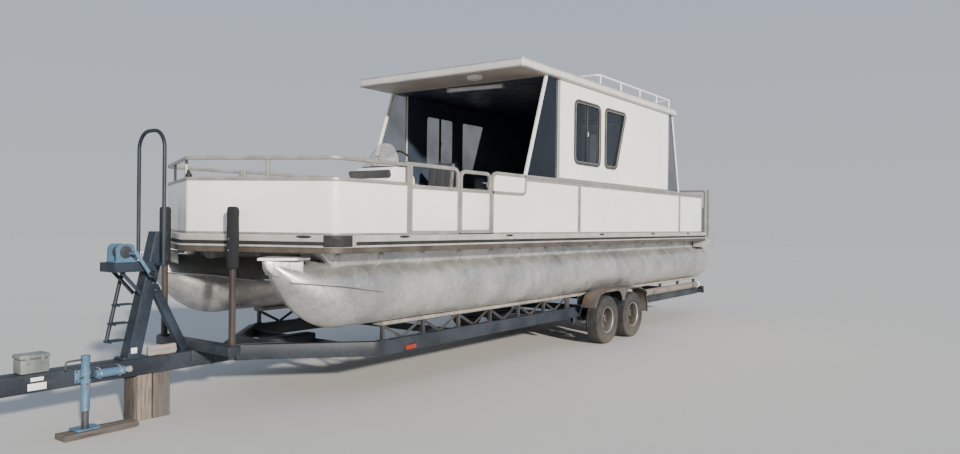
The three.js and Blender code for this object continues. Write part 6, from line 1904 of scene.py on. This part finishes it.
def axleParts():
    # Square axle tubes, brake drums, and two packs of leaf springs a side with their hangers and equalizer.
    axle, r = trailer["axle"], trailer["rail"]
    z, y = axle["z"], r["outer"] - r["width"] / 2
    beams, springs = [], []
    for station in wheels["stations"]:
        beams.append(sweep([(at(station), -1.04, z), (at(station), 1.04, z)], roundedBox(0.07, 0.07, 0.012)))
        for side in (1, -1):
            profile = [(radius, side * y) for radius, y in axle["drum"]][::side]
            beams.append(lathe(profile, (at(station), 0, z), "Y", 44))
    half = axle["spring"]
    for station in wheels["stations"]:
        for n, reach in enumerate(axle["leaves"]):
            u = np.linspace(-reach, reach, 21)
            route = np.column_stack([at(station + u * half), np.full(21, y), z + 0.046 - 0.0078 * n + 0.034 * u ** 2])
            springs.append(sweep(route, roundedBox(0.046, 0.007, 0.002)))
        for x, side in ((at(station + u), y + v) for u in (-0.045, 0.045) for v in (-0.026, 0.026)):
            springs.append(tube([(x, side, z - 0.042), (x, side, z + 0.075)], 0.006, 8, up=(1, 0, 0)))
        springs.append(cuboid(station - 0.06, station + 0.06, y - 0.036, y + 0.036, z + 0.06, z + 0.068, 0.002))
    front, rear = wheels["stations"]
    for s, wide in ((front - half, 0.05), ((front + rear) / 2, 0.09), (rear + half, 0.05)):
        for dy in (-0.03, 0.025):
            springs.append(cuboid(s - wide, s + wide, y + dy, y + dy + 0.005, r["low"] - 0.075, r["low"], 0.002))
        springs.append(tube([(at(s), y - 0.038, r["low"] - 0.05), (at(s), y + 0.038, r["low"] - 0.05)], 0.011, 10))
    return join(beams), onBothSides(join(springs))


frameShape = trailerRails()
# the rails, coupler, axles, springs and fender stays use the trailer paint darkened by painted shade
piece("trailer_rails", frameShape, "trailerPaintAndShade", instead=("trailer_frame",), smooth=40)
socket, heads = coupler()
piece("trailer_coupler", socket, "trailerPaintAndShade", smooth=50)
piece("trailer_coupler_bolts", heads, "bunkSteel")
beams, springs = axleParts()
piece("trailer_axles", beams, "trailerPaintAndShade", instead=("axle_front", "axle_rear"), smooth=40)
piece("trailer_springs", springs, "trailerPaintAndShade")
for name, side in sides:
    truss, heads = bunkTruss(side)
    piece(f"bunk_{name}_truss", truss, "bunkSteel", instead=(f"bunk_{name}",))
    piece(f"bunk_{name}_bolts", heads, "bunkSteel")
    piece(f"bunk_{name}_board", bunkBoard(side), "bunkCloth", instead=(f"bunk_{name}",), smooth=50)

fittings = {
    "cylinder": dict(front=-1.425, rear=-1.19, y=0.118, z=0.452, radius=0.034, straps=(-1.39, -1.23)),
    "box": dict(front=-1.935, rear=-1.735, y=(-0.06, 0.07), low=0.5165, high=0.655, lid=0.034),
    # blank plates as (front, rear, face, low, high)
    "plates": [(-1.89, -1.76, 0.0752, 0.395, 0.445), (-1.87, -1.78, 0.0752, 0.46, 0.487),
               (-1.105, -1.055, 0.0602, 0.56, 0.605)],
    "board": dict(front=-0.952, rear=-0.7, y=(0.018, 0.056), low=0.5165, high=0.597, seed=5.2),
    "tail": dict(y=1.02, half=0.055, front=9.49, rear=9.53, low=0.465, high=0.52),
    "marker": dict(front=1.2, rear=1.38, low=0.38, high=0.442),
}


def tongueCylinder():
    # The cylinder on the tongue's side; the fitting behind it and the two straps that hold it.
    c = fittings["cylinder"]
    run, radius, y, z = c["rear"] - c["front"], c["radius"], c["y"], c["z"]
    shell = lathe([(0, 0), (radius * 0.8, 0), (radius, 0.006), (radius, run - 0.006), (radius * 0.8, run), (0, run)],
                  (at(c["rear"]), y, z), "X", 28, False)
    parts = [lathe([(0, 0), (0.02, 0), (0.026, 0.004), (0.026, 0.03), (0.018, 0.034), (0.018, 0.05), (0.012, 0.054),
                    (0, 0.054)], (at(c["rear"] + 0.054), y, z), "X", 20, False)]
    for x in map(at, c["straps"]):
        route = [(x, 0.075, z - 0.04), (x, y + 0.002, z - 0.042), (x, y + 0.04, z), (x, y + 0.002, z + 0.042),
                 (x, 0.075, z + 0.04)]
        parts.append(tube(route, 0.004, 8, 0.02, up=(1, 0, 0)))
    return shell, join(parts)


def tongueBox():
    # A small steel box with its lid and two catches.
    d = fittings["box"]
    (y0, y1), front, rear, high = d["y"], d["front"], d["rear"], d["high"]
    parts = [cuboid(front, rear, y0, y1, d["low"], high - d["lid"] - 0.001, 0.01),
             cuboid(front - 0.006, rear + 0.006, y0 - 0.004, y1 + 0.004, high - d["lid"], high, 0.01)]
    return join(parts + [cuboid(s - 0.012, s + 0.012, y1 - 0.002, y1 + 0.009, high - 0.07, high - 0.01, 0.003)
                         for s in (front + 0.05, rear - 0.05)])


def trailerLamps():
    # Shells and lenses at the tail, then bases and lenses on the sides of the rails.
    t, m = fittings["tail"], fittings["marker"]
    shells = [cuboid(t["front"], t["rear"], y - t["half"], y + t["half"], t["low"], t["high"], 0.008)
              for y in (t["y"], -t["y"])]
    lenses = [block((at(t["rear"]) - 0.004, y - t["half"] + 0.005, t["low"] + 0.005),
                    (at(t["rear"]), y + t["half"] - 0.005, t["high"] - 0.005), 0.0018) for y in (t["y"], -t["y"])]
    base = cuboid(m["front"], m["rear"], 0.9502, 0.956, m["low"], m["high"], 0.003)
    lens = cuboid(m["front"] + 0.012, m["rear"] - 0.012, 0.9555, 0.968, m["low"] + 0.008, m["high"] - 0.008, 0.006)
    return join(shells), join(lenses), onBothSides(base), onBothSides(lens)


shell, straps = tongueCylinder()
piece("tongue_cylinder", shell, "winchPaint")
piece("tongue_cylinder_fitting", straps, "trimMetal")
piece("tongue_box", tongueBox(), "boxPaint")
blanks = [cuboid(front, rear, face, face + 0.001, low, high, 0.0004)
          for front, rear, face, low, high in fittings["plates"]]
piece("blank_plates", join(blanks), "whitePlastic")
board = fittings["board"]
piece("tongue_board", sawn((at(board["rear"]), board["y"][0], board["low"]),
                           (at(board["front"]), board["y"][1], board["high"]), 0, board["seed"]), "paleBoard",
      smooth=40)
shells, lenses, bases, markers = trailerLamps()
piece("tail_lamp_shells", shells, "rubber")
piece("tail_lamp_lenses", lenses, "redLens")
piece("side_marker_bases", bases, "rubber")
piece("side_markers", markers, "redLens")
print("trailer")


# Winch stand, ladder, winch and jack

stand = {
    "base": 0.5153, "foot": -1.078, "head": -0.845, "top": 1.545, "half": 0.06,
    "brace": [(-0.6, 0.53), (-0.885, 1.09)], "shelf": (-1.275, -0.93, 0.115, 1.222, 1.297), "roller": (-0.842, 1.33),
    # half of the roller's profile as (radius, out from its middle)
    "drum": [(0.013, 0.06), (0.05, 0.06), (0.052, 0.056), (0.05, 0.03), (0.041, 0.004)],
}
ladder = {"port": 0.223, "starboard": -0.151, "tube": 0.016, "top": 2.392, "station": -0.93, "bend": 0.15,
          "leg": ((-1.2, 0.635), (-1.07, 1.21)), "treads": (0.65, 0.79, 0.94), "tie": (1.268, 1.293)}


def standParts():
    # The leaning post is a tapered box on a bolted foot. The brace, the shelf with its lip and the roller's
    # cheeks are plates.
    t = stand
    foot, head = at(t["foot"]), at(t["head"])
    rings = []
    for x, z, deep, edge in ((foot, t["base"], 0.118, 0.01), (foot, t["base"] + 0.004, 0.12, 0.01),
                             (head, t["top"] - 0.004, 0.11, 0.01), (head, t["top"], 0.106, 0.008)):
        outline = roundedBox(deep, 2 * t["half"] - (0.12 - deep) * 0.3, edge)
        rings.append(onPlane(outline + (x, 0), z, "z"))
    post = gridShape(rings, closedColumns=True, caps=True)
    sole = cuboid(t["foot"] - 0.1, t["foot"] + 0.12, -0.072, 0.072, t["base"], t["base"] + 0.013, 0.003)
    ends = [(at(s), 0, z) for s, z in t["brace"]]
    brace = sweep(ends, roundedBox(0.075, 0.058, 0.008), up=(0, 1, 0))
    heel = cuboid(-0.66, -0.54, -0.05, 0.05, t["base"], t["base"] + 0.01, 0.003)
    s0, s1, half, low, high = t["shelf"]
    tray = [cuboid(s0, s1, -half, half, high - 0.012, high, 0.003)]
    tray += [cuboid(s0, s1, side * half - 0.004, side * half + 0.004, low, high, 0.002) for side in (-0.965, 0.965)]
    tray += [cuboid(s - 0.004, s + 0.004, -half, half, low, high, 0.002) for s in (s0 + 0.0045, s1 - 0.0045)]
    tray += [sweep([(at(-1.02), y, low - 0.19), (at(-1.2), y, low + 0.006)], roundedBox(0.03, 0.008, 0.002),
                   up=(0, 1, 0)) for y in (-0.062, 0.062)]
    s, z = t["roller"]
    cheek = [(at(-0.93), z - 0.05), (at(s - 0.01), z - 0.028), (at(s + 0.024), z), (at(s - 0.01), z + 0.028),
             (at(-0.93), z + 0.03)]
    cheeks = [prism(cheek, side * 0.066 - 0.003, side * 0.066 + 0.003, "y") for side in (-1, 1)]
    pin = tube([(at(s), -0.076, z), (at(s), 0.076, z)], 0.009, 12)
    drum = [(radius, -out) for radius, out in t["drum"]] + t["drum"][::-1]
    roller = lathe(drum, (at(s), 0, z), "Y", 36)
    heads = [(at(t["foot"] + dx), dy, t["base"] + 0.013) for dx in (-0.08, 0.1) for dy in (-0.055, 0.055)]
    sideHeads = [(at(-0.9), 0.0605, 1.06), (at(-0.92), 0.0605, 1.12)]
    nuts = join([bolts(heads, (0, 0, 1), 0.011, 0.009, 6), bolts(sideHeads, (0, 1, 0), 0.011, 0.009, 6)])
    return join([post, sole, brace, heel, *tray, *cheeks]), roller, join([nuts, pin])


def ladderParts():
    # A hoop of tube over the shelf whose starboard leg runs on down, with ribbed treads from the leg to the post.
    d, t = ladder, stand
    turn = np.linspace(0, np.pi / 2, 10)[:, None]
    arc = np.hstack([0 * turn + d["station"], 1 - np.cos(turn),
                     d["top"] - d["tube"] - d["bend"] * (1 - np.sin(turn))])
    up = arc * (1, d["bend"], 1) + (0, d["starboard"], 0)
    down = (arc * (1, -d["bend"], 1) + (0, d["port"], 0))[::-1]
    (s0, z0), (s1, z1) = d["leg"]
    route = np.concatenate([[(s0, d["starboard"], z0), (s1, d["starboard"], z1),
                             (d["station"], d["starboard"], 1.33)], up, down,
                            [(d["station"], d["port"], d["tie"][0])]])
    hoop = sweep(eased(stationed(route), [0, 0.1, 0.06] + [0] * 21, 6), circle(d["tube"] - 0.0002, 16),
                 up=(1, 0, 0.02))
    parts = [hoop]
    for z in d["treads"]:
        s = s0 + (s1 - s0) * (z - z0) / (z1 - z0)
        post = t["foot"] + (t["head"] - t["foot"]) * (z - t["base"]) / (t["top"] - t["base"])
        a, b, y0, y1 = at(post - 0.02), at(s - 0.02), d["starboard"] - 0.0158, -0.035
        parts.append(block((a, y0, z + 0.002), (b, y1, z + 0.008), 0.002))
        parts += [block((x, y0, z - 0.008), (x + 0.005, y1, z + 0.006), 0.002) for x in (a, b - 0.005)]
        parts += [block((x, y0 + 0.006, z + 0.0075), (x + 0.004, y1, z + 0.0105), 0.001)
                  for x in np.linspace(a, b, 7)[1:-1]]
    tie = sweep(stationed([(d["station"], y, sum(d["tie"]) / 2) for y in (d["starboard"], d["port"])]),
                roundedBox(0.038, 0.024, 0.003))
    ends = [lathe([(0, -0.003), (0.013, -0.003), (0.0158, 0.0), (0.0158, 0.006), (0, 0.006)],
                  (at(d["station"]), d["port"], d["tie"][0]), "Z", 16, False)]
    return join(parts + [tie] + ends)


winch = {
    "foot": (-1.25, -1.06), "cheek": (-1.24, -1.08, 0.15), "cheekY": (-0.066, 0.056),
    "axle": (-1.16, 0.085), "pinion": (-1.1, 0.07), "crank": (-1.13, 0.07),        # station and height over the shelf
    "gear": 0.047, "tooth": 0.0035, "handle": ((-1.142, 0.092), (-1.004, -0.108)), "grip": (-1.012, 0.17, -0.09),
}
jack = {
    "station": -1.5, "y": 0.122, "crank": 0.58, "pad": (0.095, 0.075), "collars": (0.415, 0.478),
    # radius and height of the sleeve with its rolled bands and its cap, and of the ram in it
    "sleeve": [(0, 0.19), (0.034, 0.19), (0.034, 0.2), (0.0325, 0.204), (0.0325, 0.452), (0.0335, 0.456),
               (0.0335, 0.47), (0.0325, 0.474), (0.0325, 0.585), (0.034, 0.588), (0.034, 0.606), (0.03, 0.6095),
               (0, 0.6095)],
    "ram": [(0, 0.0565), (0.0255, 0.0565), (0.0255, 0.1), (0.026, 0.2), (0, 0.2)],
    # how far the pad's outline is drawn in at each height
    "padRings": [(0.012, 0.0503), (0.004, 0.0507), (0.0, 0.058), (0.001, 0.064), (0.006, 0.0655), (0.01, 0.06),
                 (0.03, 0.0575)],
}


def winchParts():
    # Two rounded cheeks with folded feet, a toothed wheel, a drum wound with webbing, and the crank with its grip.
    w, z = winch, stand["shelf"][4] + 0.0005
    rear, front, high = w["cheek"]
    parts = [cuboid(w["foot"][0], w["foot"][1], -0.07, 0.07, z, z + 0.008, 0.003)]
    cheek = eased([(at(front), z + 0.005), (at(rear), z + 0.005), (at(rear), z + high), (at(front), z + high)],
                  [0, 0, 0.06, 0.06], 6, closed=True)
    for y in w["cheekY"]:
        parts += [prism(cheek, y, y + 0.005, "y"), ring(cheek, inset(cheek, 0.006), y - 0.004, y + 0.009, "y")]
    teeth = np.arange(72)
    radius = w["gear"] + w["tooth"] * np.where(teeth % 3 == 0, 1, -0.6)
    toothed = np.column_stack([radius * np.cos(teeth * np.pi / 36), radius * np.sin(teeth * np.pi / 36)])
    axle, pinion, crank = [(at(station), z + up) for station, up in (w["axle"], w["pinion"], w["crank"])]
    gears = [prism(toothed + axle, 0.066, 0.074, "y"),
             tube([(axle[0], -0.075, axle[1]), (axle[0], 0.08, axle[1])], 0.011, 14),
             prism(0.36 * toothed + pinion, 0.064, 0.078, "y")]
    drum = lathe([(0.012, -0.05), (0.047, -0.05), (0.0495, -0.048), (0.0495, 0.048), (0.047, 0.05), (0.012, 0.05)],
                 (axle[0], 0, axle[1]), "Y", 40)
    handle = [(at(station), 0.172, z + up) for station, up in w["handle"]]
    arm = join([tube([(crank[0], 0.06, crank[1]), (crank[0], 0.176, crank[1])], 0.011, 16),
                sweep(handle, roundedBox(0.028, 0.009, 0.003), up=(0, 1, 0))])
    station, y, up = w["grip"]
    grip = lathe([(0, 0), (0.012, 0.0), (0.0165, 0.01), (0.0145, 0.03), (0.0168, 0.06), (0.0145, 0.088), (0, 0.092)],
                 (at(station), y, z + up), "Y", 22, False)
    return join(parts), join(gears), drum, arm, grip


def jackParts():
    # Sleeve with its cap and collars, the ram in it, a pad with turned-up ends, a swivel plate with bolts and a
    # folding crank.
    j, x, y = jack, at(jack["station"]), jack["y"]
    sleeve, ram = lathe(j["sleeve"], (x, y, 0), "Z", 36, False), lathe(j["ram"], (x, y, 0), "Z", 32, False)
    plan = rectangle(x - j["pad"][0], y - j["pad"][1], x + j["pad"][0], y + j["pad"][1], 0.03)
    pad = gridShape([onPlane(inset(plan, d), z, "z") for d, z in j["padRings"]], closedColumns=True, caps=True)
    mount = [block((x - 0.06, 0.0755, 0.397), (x + 0.06, 0.083, 0.494), 0.003),
             block((x - 0.035, 0.083, 0.42), (x + 0.035, y - 0.02, 0.472), 0.006)]
    collars = [lathe([(0.031, z - 0.016), (0.038, z - 0.014), (0.038, z + 0.014), (0.031, z + 0.016)], (x, y, 0), "Z",
                     32) for z in j["collars"]]
    pin = tube([(x - 0.055, y + 0.02, 0.446), (x + 0.05, y + 0.02, 0.446)], 0.006, 10)
    route = [(x + ahead, y + out, j["crank"] - down) for ahead, out, down in (
        (0, 0, 0), (0.05, 0.006, 0), (0.15, 0.02, 0), (0.157, 0.021, 0.02), (0.157, 0.021, 0.06))]
    heads = [(x + dx, 0.083, z) for dx in (-0.048, 0.048) for z in (0.41, 0.482)]
    return (join([sleeve, pad, *mount, *collars]), ram,
            join([pin, tube(route, 0.0075, 12, 0.012, up=(0, 1, 0)), bolts(heads, (0, 1, 0), 0.009, 0.007, 6)]))


post, roller, nuts = standParts()
piece("winch_stand_post", post, "standPaint", instead=("winch_stand",), smooth=40)
piece("winch_stand_roller", roller, "rubber", smooth=50)
piece("winch_stand_bolts", nuts, "bunkSteel")
piece("ladder", ladderParts(), "standPaint", instead=("winch_stand",), smooth=40)
cheeks, gears, drum, crank, grip = winchParts()
piece("winch_cheeks", cheeks, "winchPaint", instead=("winch",), smooth=40)
piece("winch_gears", gears, "bunkSteel", smooth=30)
piece("winch_webbing", drum, "webbing", smooth=40)
piece("winch_crank", crank, "winchPaint", smooth=40)
piece("winch_grip", grip, "rubber", smooth=60)
sleeve, ram, irons = jackParts()
piece("jack_sleeve", sleeve, "winchPaint", instead=("jack",), smooth=40)
piece("jack_ram", ram, "bunkSteel", instead=("jack",), smooth=40)
piece("jack_fittings", irons, "bunkSteel", smooth=40)
print("winch and jack")


# Side pipe and timber

pipe = {"y": 1.015, "z": 0.565, "radius": 0.055, "from": 6.9, "to": 9.3}


def pipeShape():
    f = pipe
    run = f["to"] - f["from"]
    r = f["radius"]
    cap = [(0, 0), (r + 0.002, 0), (r + 0.0055, 0.005), (r + 0.0055, 0.05), (r + 0.0035, 0.056), (r + 0.0005, 0.057),
           (0, 0.057)]
    profile = [(0, 0.02)] + [(r, along) for along in np.linspace(0.02, run - 0.06, 30)]
    profile += [(r, run - 0.02), (r - 0.003, run), (r - 0.008, run), (r - 0.008, run - 0.12), (0, run - 0.12)]
    return [lathe(line, (at(f["to"]), f["y"], f["z"]), "X", 36, False) for line in (profile, cap)]


def hangers():
    f, out = pipe, []
    for s in (f["from"] + 0.25, f["to"] - 0.35):
        turn = np.linspace(-0.2, 1.2, 19) * np.pi
        route = np.column_stack([np.full(19, at(s + 0.02)), f["y"] + (f["radius"] + 0.003) * np.cos(turn),
                                 f["z"] - (f["radius"] + 0.003) * np.sin(turn)])
        out.append(sweep(route, roundedBox(0.004, 0.036, 0.0015), up=(1, 0, 0)))
        out.append(cuboid(s + 0.002, s + 0.038, 0.9505, 0.965, 0.478, f["z"], 0.003))
    return join(out)


body, cap = pipeShape()
piece("side_pipe_tube", body, "pipePlastic", instead=("side_pipe",), smooth=40)
piece("side_pipe_cap", cap, "whitePlastic", smooth=40)
piece("side_pipe_hangers", hangers(), "bunkSteel")
low, high = 0.001, 0.3747
# each prop as front, rear, starboard face, port face, seed of its grain and look
props = (("front", -1.09, -1.04, -0.075, 0.0, 0.4, "timberDark"),
         ("middle", -1.045, -0.915, -0.07, 0.06, 2.1, "timberPale"),
         ("rear", -0.9135, -0.757, -0.06, 0.07, 3.7, "timber"))
for name, s0, s1, y0, y1, seed, look in props:
    piece(f"prop_block_{name}", sawn((at(s1), y0, low), (at(s0), y1, high), 2, seed), look, instead=("timber_props",),
          smooth=40)
piece("jack_plank", sawn((at(-1.12), 0.052, low), (at(-1.69), 0.212, 0.0494), 0, 1.3), "timberAlong",
      instead=("timber_plank",), smooth=40)
print("pipe and timber")


# Outboard motor

motor = {
    # tilt as (station, height), then the stations of the steering axis and of the face of the board
    "tilt": (9.89, 1.38), "steer": 9.975, "board": 9.8103,
    "cowl": dict(low=1.475, high=1.975, half=0.165, power=2.9),
    # sections of the leg as (height, nose and tail from the steering axis, half thickness)
    "leg": [(1.44, 0.045, 0.19, 0.032), (1.2, 0.045, 0.178, 0.03), (0.95, 0.046, 0.166, 0.028),
            (0.83, 0.03, 0.165, 0.028), (0.79, 0.006, 0.16, 0.026), (0.7, -0.01, 0.155, 0.024),
            (0.64, -0.018, 0.157, 0.022), (0.56, -0.016, 0.16, 0.016), (0.47, 0.03, 0.16, 0.007),
            (0.43, 0.09, 0.155, 0.004)],
    # radius and distance aft of the gear casing and of the propeller's hub, radius and height of the swivel's barrel
    "casing": [(0, -0.155), (0.012, -0.15), (0.027, -0.13), (0.042, -0.09), (0.0495, -0.04), (0.0505, 0.03),
               (0.0505, 0.13), (0.047, 0.172), (0.044, 0.182), (0.0, 0.182)],
    "hub": [(0.013, -0.044), (0.04, -0.044), (0.0445, -0.03), (0.0455, 0.0), (0.043, 0.03), (0.0405, 0.0445),
            (0.033, 0.0445), (0.033, 0.02), (0.013, 0.02)],
    "barrel": [(0, 1.0505), (0.03, 1.0505), (0.0375, 1.06), (0.0375, 1.09), (0.033, 1.1), (0.033, 1.32),
               (0.0375, 1.33), (0.0375, 1.405), (0.034, 1.4145), (0, 1.4145)],
    "prop": dict(station=10.21, z=0.64, radius=0.15, root=0.036, chord=0.056, pitch=0.075),
}


def superOval(front, rear, half, power, count=56, narrow=0.35):
    # |x|^p + |y|^p = 1 over the section's length, its front drawn in by the narrow share.
    angle = np.arange(count) * 2 * np.pi / count
    x = np.sign(np.cos(angle)) * np.abs(np.cos(angle)) ** (2 / power)
    y = np.sign(np.sin(angle)) * np.abs(np.sin(angle)) ** (2 / power)
    along = (front + rear) / 2 + (rear - front) / 2 * x
    return np.column_stack([along, half * y * (1 - narrow * np.clip(-x, 0, 1) ** 1.6)])


def cowlShape():
    # Rings of one outline up the cowl: t runs over height, the length and width follow smooth curves of t.
    c = motor["cowl"]
    high = c["high"] - c["low"]
    t = np.array([0.0, 0.01, 0.03, 0.1, 0.2, 0.262, 0.27, 0.278, 0.286, 0.35, 0.5, 0.65, 0.78, 0.87, 0.93, 0.97,
                  0.99, 1.0])
    cut = np.where((t > 0.265) & (t < 0.28), 0.006, 0.0)
    front = np.interp(t, [0, 0.1, 0.4, 0.6, 0.85, 1.0], [-0.055, -0.075, -0.083, -0.08, -0.05, 0.03])
    rear = np.interp(t, [0, 0.1, 0.4, 0.6, 0.85, 1.0], [0.285, 0.305, 0.322, 0.328, 0.285, 0.17])
    half = c["half"] * np.interp(t, [0, 0.1, 0.4, 0.7, 0.87, 0.95, 1.0], [0.84, 0.93, 0.99, 0.985, 0.9, 0.72, 0.4])
    half[0] *= 0.93
    rings = []
    for i in range(len(t)):
        outline = superOval(front[i] + cut[i], rear[i] - cut[i], half[i] - cut[i], c["power"])
        slope = 0.03 * t[i] ** 3 * np.maximum(outline[:, 0] - 0.12, 0)
        rings.append(np.column_stack([at(motor["steer"] + outline[:, 0]), outline[:, 1],
                                      c["low"] + high * t[i] - slope]))
    return gridShape(rings, closedColumns=True, caps=True)


def legShape():
    # Blade sections down the leg: nose and tail by height, thickness falling to the skeg.
    steer, rings = motor["steer"], []
    for z, nose, tail, half in motor["leg"]:
        angle = np.arange(28) * 2 * np.pi / 28
        x = np.cos(angle)
        y = half * np.sin(angle) * (1 - 0.35 * np.clip(x, 0, 1) ** 1.5)
        rings.append(np.column_stack([at(steer + (nose + tail) / 2 + (tail - nose) / 2 * x), y, np.full(28, z)]))
    leg = gridShape(rings, closedColumns=True, caps=True)
    ventilation = superOval(-0.03, 0.26, 0.1, 2.4, 48, 0.55)
    fins = []
    for z, thick, grow in ((0.8085, 0.006, 1.0), (0.93, 0.004, 0.72)):
        outline = ventilation * (grow, grow * 0.8 if grow < 1 else 1)
        rings = [np.column_stack([at(steer + outline[:, 0] * k + (1 - k) * 0.1), outline[:, 1] * k,
                                  np.full(48, z + dz)])
                 for k, dz in ((0.985, -thick), (1.0, -thick * 0.5), (1.0, thick * 0.5), (0.985, thick))]
        fins.append(gridShape(rings, closedColumns=True, caps=True))
    casing = lathe(motor["casing"], (at(steer), 0, motor["prop"]["z"]), "X", 36, False)
    casing = moved(mirrored(casing, (-1, 1, 1)), (2 * at(steer), 0, 0))
    top = loftX([(steer - 0.058, 0.055, 1.43, 1.485), (steer, 0.07, 1.42, 1.485), (steer + 0.2, 0.068, 1.425, 1.485),
                 (steer + 0.212, 0.06, 1.43, 1.48)], 0.02)
    collars = [cuboid(steer + 0.044, steer + 0.09, -0.04, 0.04, z, z + 0.05, 0.01) for z in (1.05, 1.34)]
    handle = cuboid(steer - 0.083, steer - 0.057, -0.035, 0.035, 1.455, 1.473, 0.006)
    return join([leg, *fins, casing, top, *collars, handle])


def blades():
    # Each blade: radius r and chord share c; the chord turns with a pitch angle that falls as r grows.
    p = motor["prop"]
    r, c = np.meshgrid(np.linspace(0.0, 1.0, 18), np.linspace(-1, 1, 15), indexing="ij")
    radius = p["root"] + (p["radius"] - p["root"] - 0.0005) * r
    chord = p["chord"] * np.sqrt(np.clip(1 - (1.02 * r - 0.32) ** 2 / 0.5, 0.02, 1)) * (0.75 + 0.45 * r)
    pitch = np.arctan2(p["pitch"], radius + 0.02)
    around = c * chord * np.cos(pitch) + 0.02 * r ** 2
    along = c * chord * np.sin(pitch)
    thick = (0.005 - 0.0035 * r) * (1 - c ** 2) + 0.0006
    angle = around / radius
    skins = [np.stack([along + side * thick, radius * np.cos(angle), radius * np.sin(angle)], -1) for side in (1, -1)]
    parts = [turned(closedSkins(*skins), "X", i * 120) for i in range(3)]
    hub = lathe(motor["hub"], (0, 0, 0), "X", 32)
    return moved(join([*parts, mirrored(hub, (-1, 1, 1))]), (at(p["station"]), 0, p["z"]))


def clampShape():
    # Two clamp brackets hooked over the board, with two bars between them.
    face, z = motor["board"], motor["tilt"][1]
    parts = []
    for y in (-0.095, 0.07):
        side = [(at(face), 1.01), (at(face), z - 0.012), (at(face + 0.03), z - 0.006), (at(face + 0.105), z + 0.009),
                (at(face + 0.105), z - 0.03), (at(face + 0.05), 1.2), (at(face + 0.03), 1.01)]
        parts.append(prism(eased(side, [0.004, 0.01, 0.02, 0.012, 0.02, 0.05, 0.008], 4, closed=True), y, y + 0.025,
                           "y"))
        parts.append(cuboid(9.745, face + 0.02, y, y + 0.025, 1.3455, z - 0.006, 0.004))
    parts.append(cuboid(face + 0.005, face + 0.035, -0.093, 0.093, 1.02, 1.06, 0.006))
    parts.append(cuboid(face + 0.004, face + 0.03, -0.093, 0.093, 1.3, 1.345, 0.006))
    return join(parts)


def swivelShape():
    (s, z), steer = motor["tilt"], motor["steer"]
    hub = tube([(at(s), -0.0695, z), (at(s), 0.0695, z)], 0.0235, 24)
    arm = sweep([(at(s + 0.002), 0, z - 0.02), (at(steer - 0.02), 0, z - 0.03)], roundedBox(0.118, 0.06, 0.018))
    barrel = lathe(motor["barrel"], (at(steer), 0, 0), "Z", 32, False)
    web = [cuboid(s + 0.02, steer - 0.01, y - 0.005, y + 0.005, 1.12, z - 0.04, 0.003) for y in (-0.02, 0.02)]
    return join([hub, arm, barrel, *web])


piece("motor_cowl", cowlShape(), "engineShell", "motor_head", ("motor_head",), 50)
piece("motor_leg", legShape(), "engineShell", "motor_head", ("motor_head",), 50)
band = superOval(-0.0825, 0.3245, 0.1625, motor["cowl"]["power"])
strip = [np.column_stack([at(motor["steer"] + 0.12 + (band[:, 0] - 0.12) * k), band[:, 1] * k,
                          np.full(len(band), motor["cowl"]["low"] + z)])
         for k, z in ((0.985, 0.158), (1.006, 0.16), (1.006, 0.168), (0.985, 0.17))]
piece("motor_cowl_strip", gridShape(strip, closedRows=True, closedColumns=True), "palePlastic", "motor_head", (), 50)
piece("motor_clamps", clampShape(), "engineShell", "root", ("motor_clamp",), 40)
piece("motor_swivel_tube", swivelShape(), "engineShell", "motor_swivel", ("motor_swivel",), 40)
piece("propeller_blades", blades(), "engineShell", "propeller", ("propeller",), 50)
print("outboard")


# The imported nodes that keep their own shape

nodeLooks = {
    "carpet": ["deck_floor"],
    "whiteSheet": ["panel_port", "panel_starboard"],
    "tint": [f"quarter_glass_{end}_{side}" for side, _ in sides for end in ("front", "rear")],
}
edges = {"tint": 0.0008, "whiteSheet": 0.001, "carpet": 0.002}
for look, names in nodeLooks.items():
    for name in names:
        softened(name, look, edges[look])
print("eased nodes", sum(map(len, nodeLooks.values())))


low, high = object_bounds()
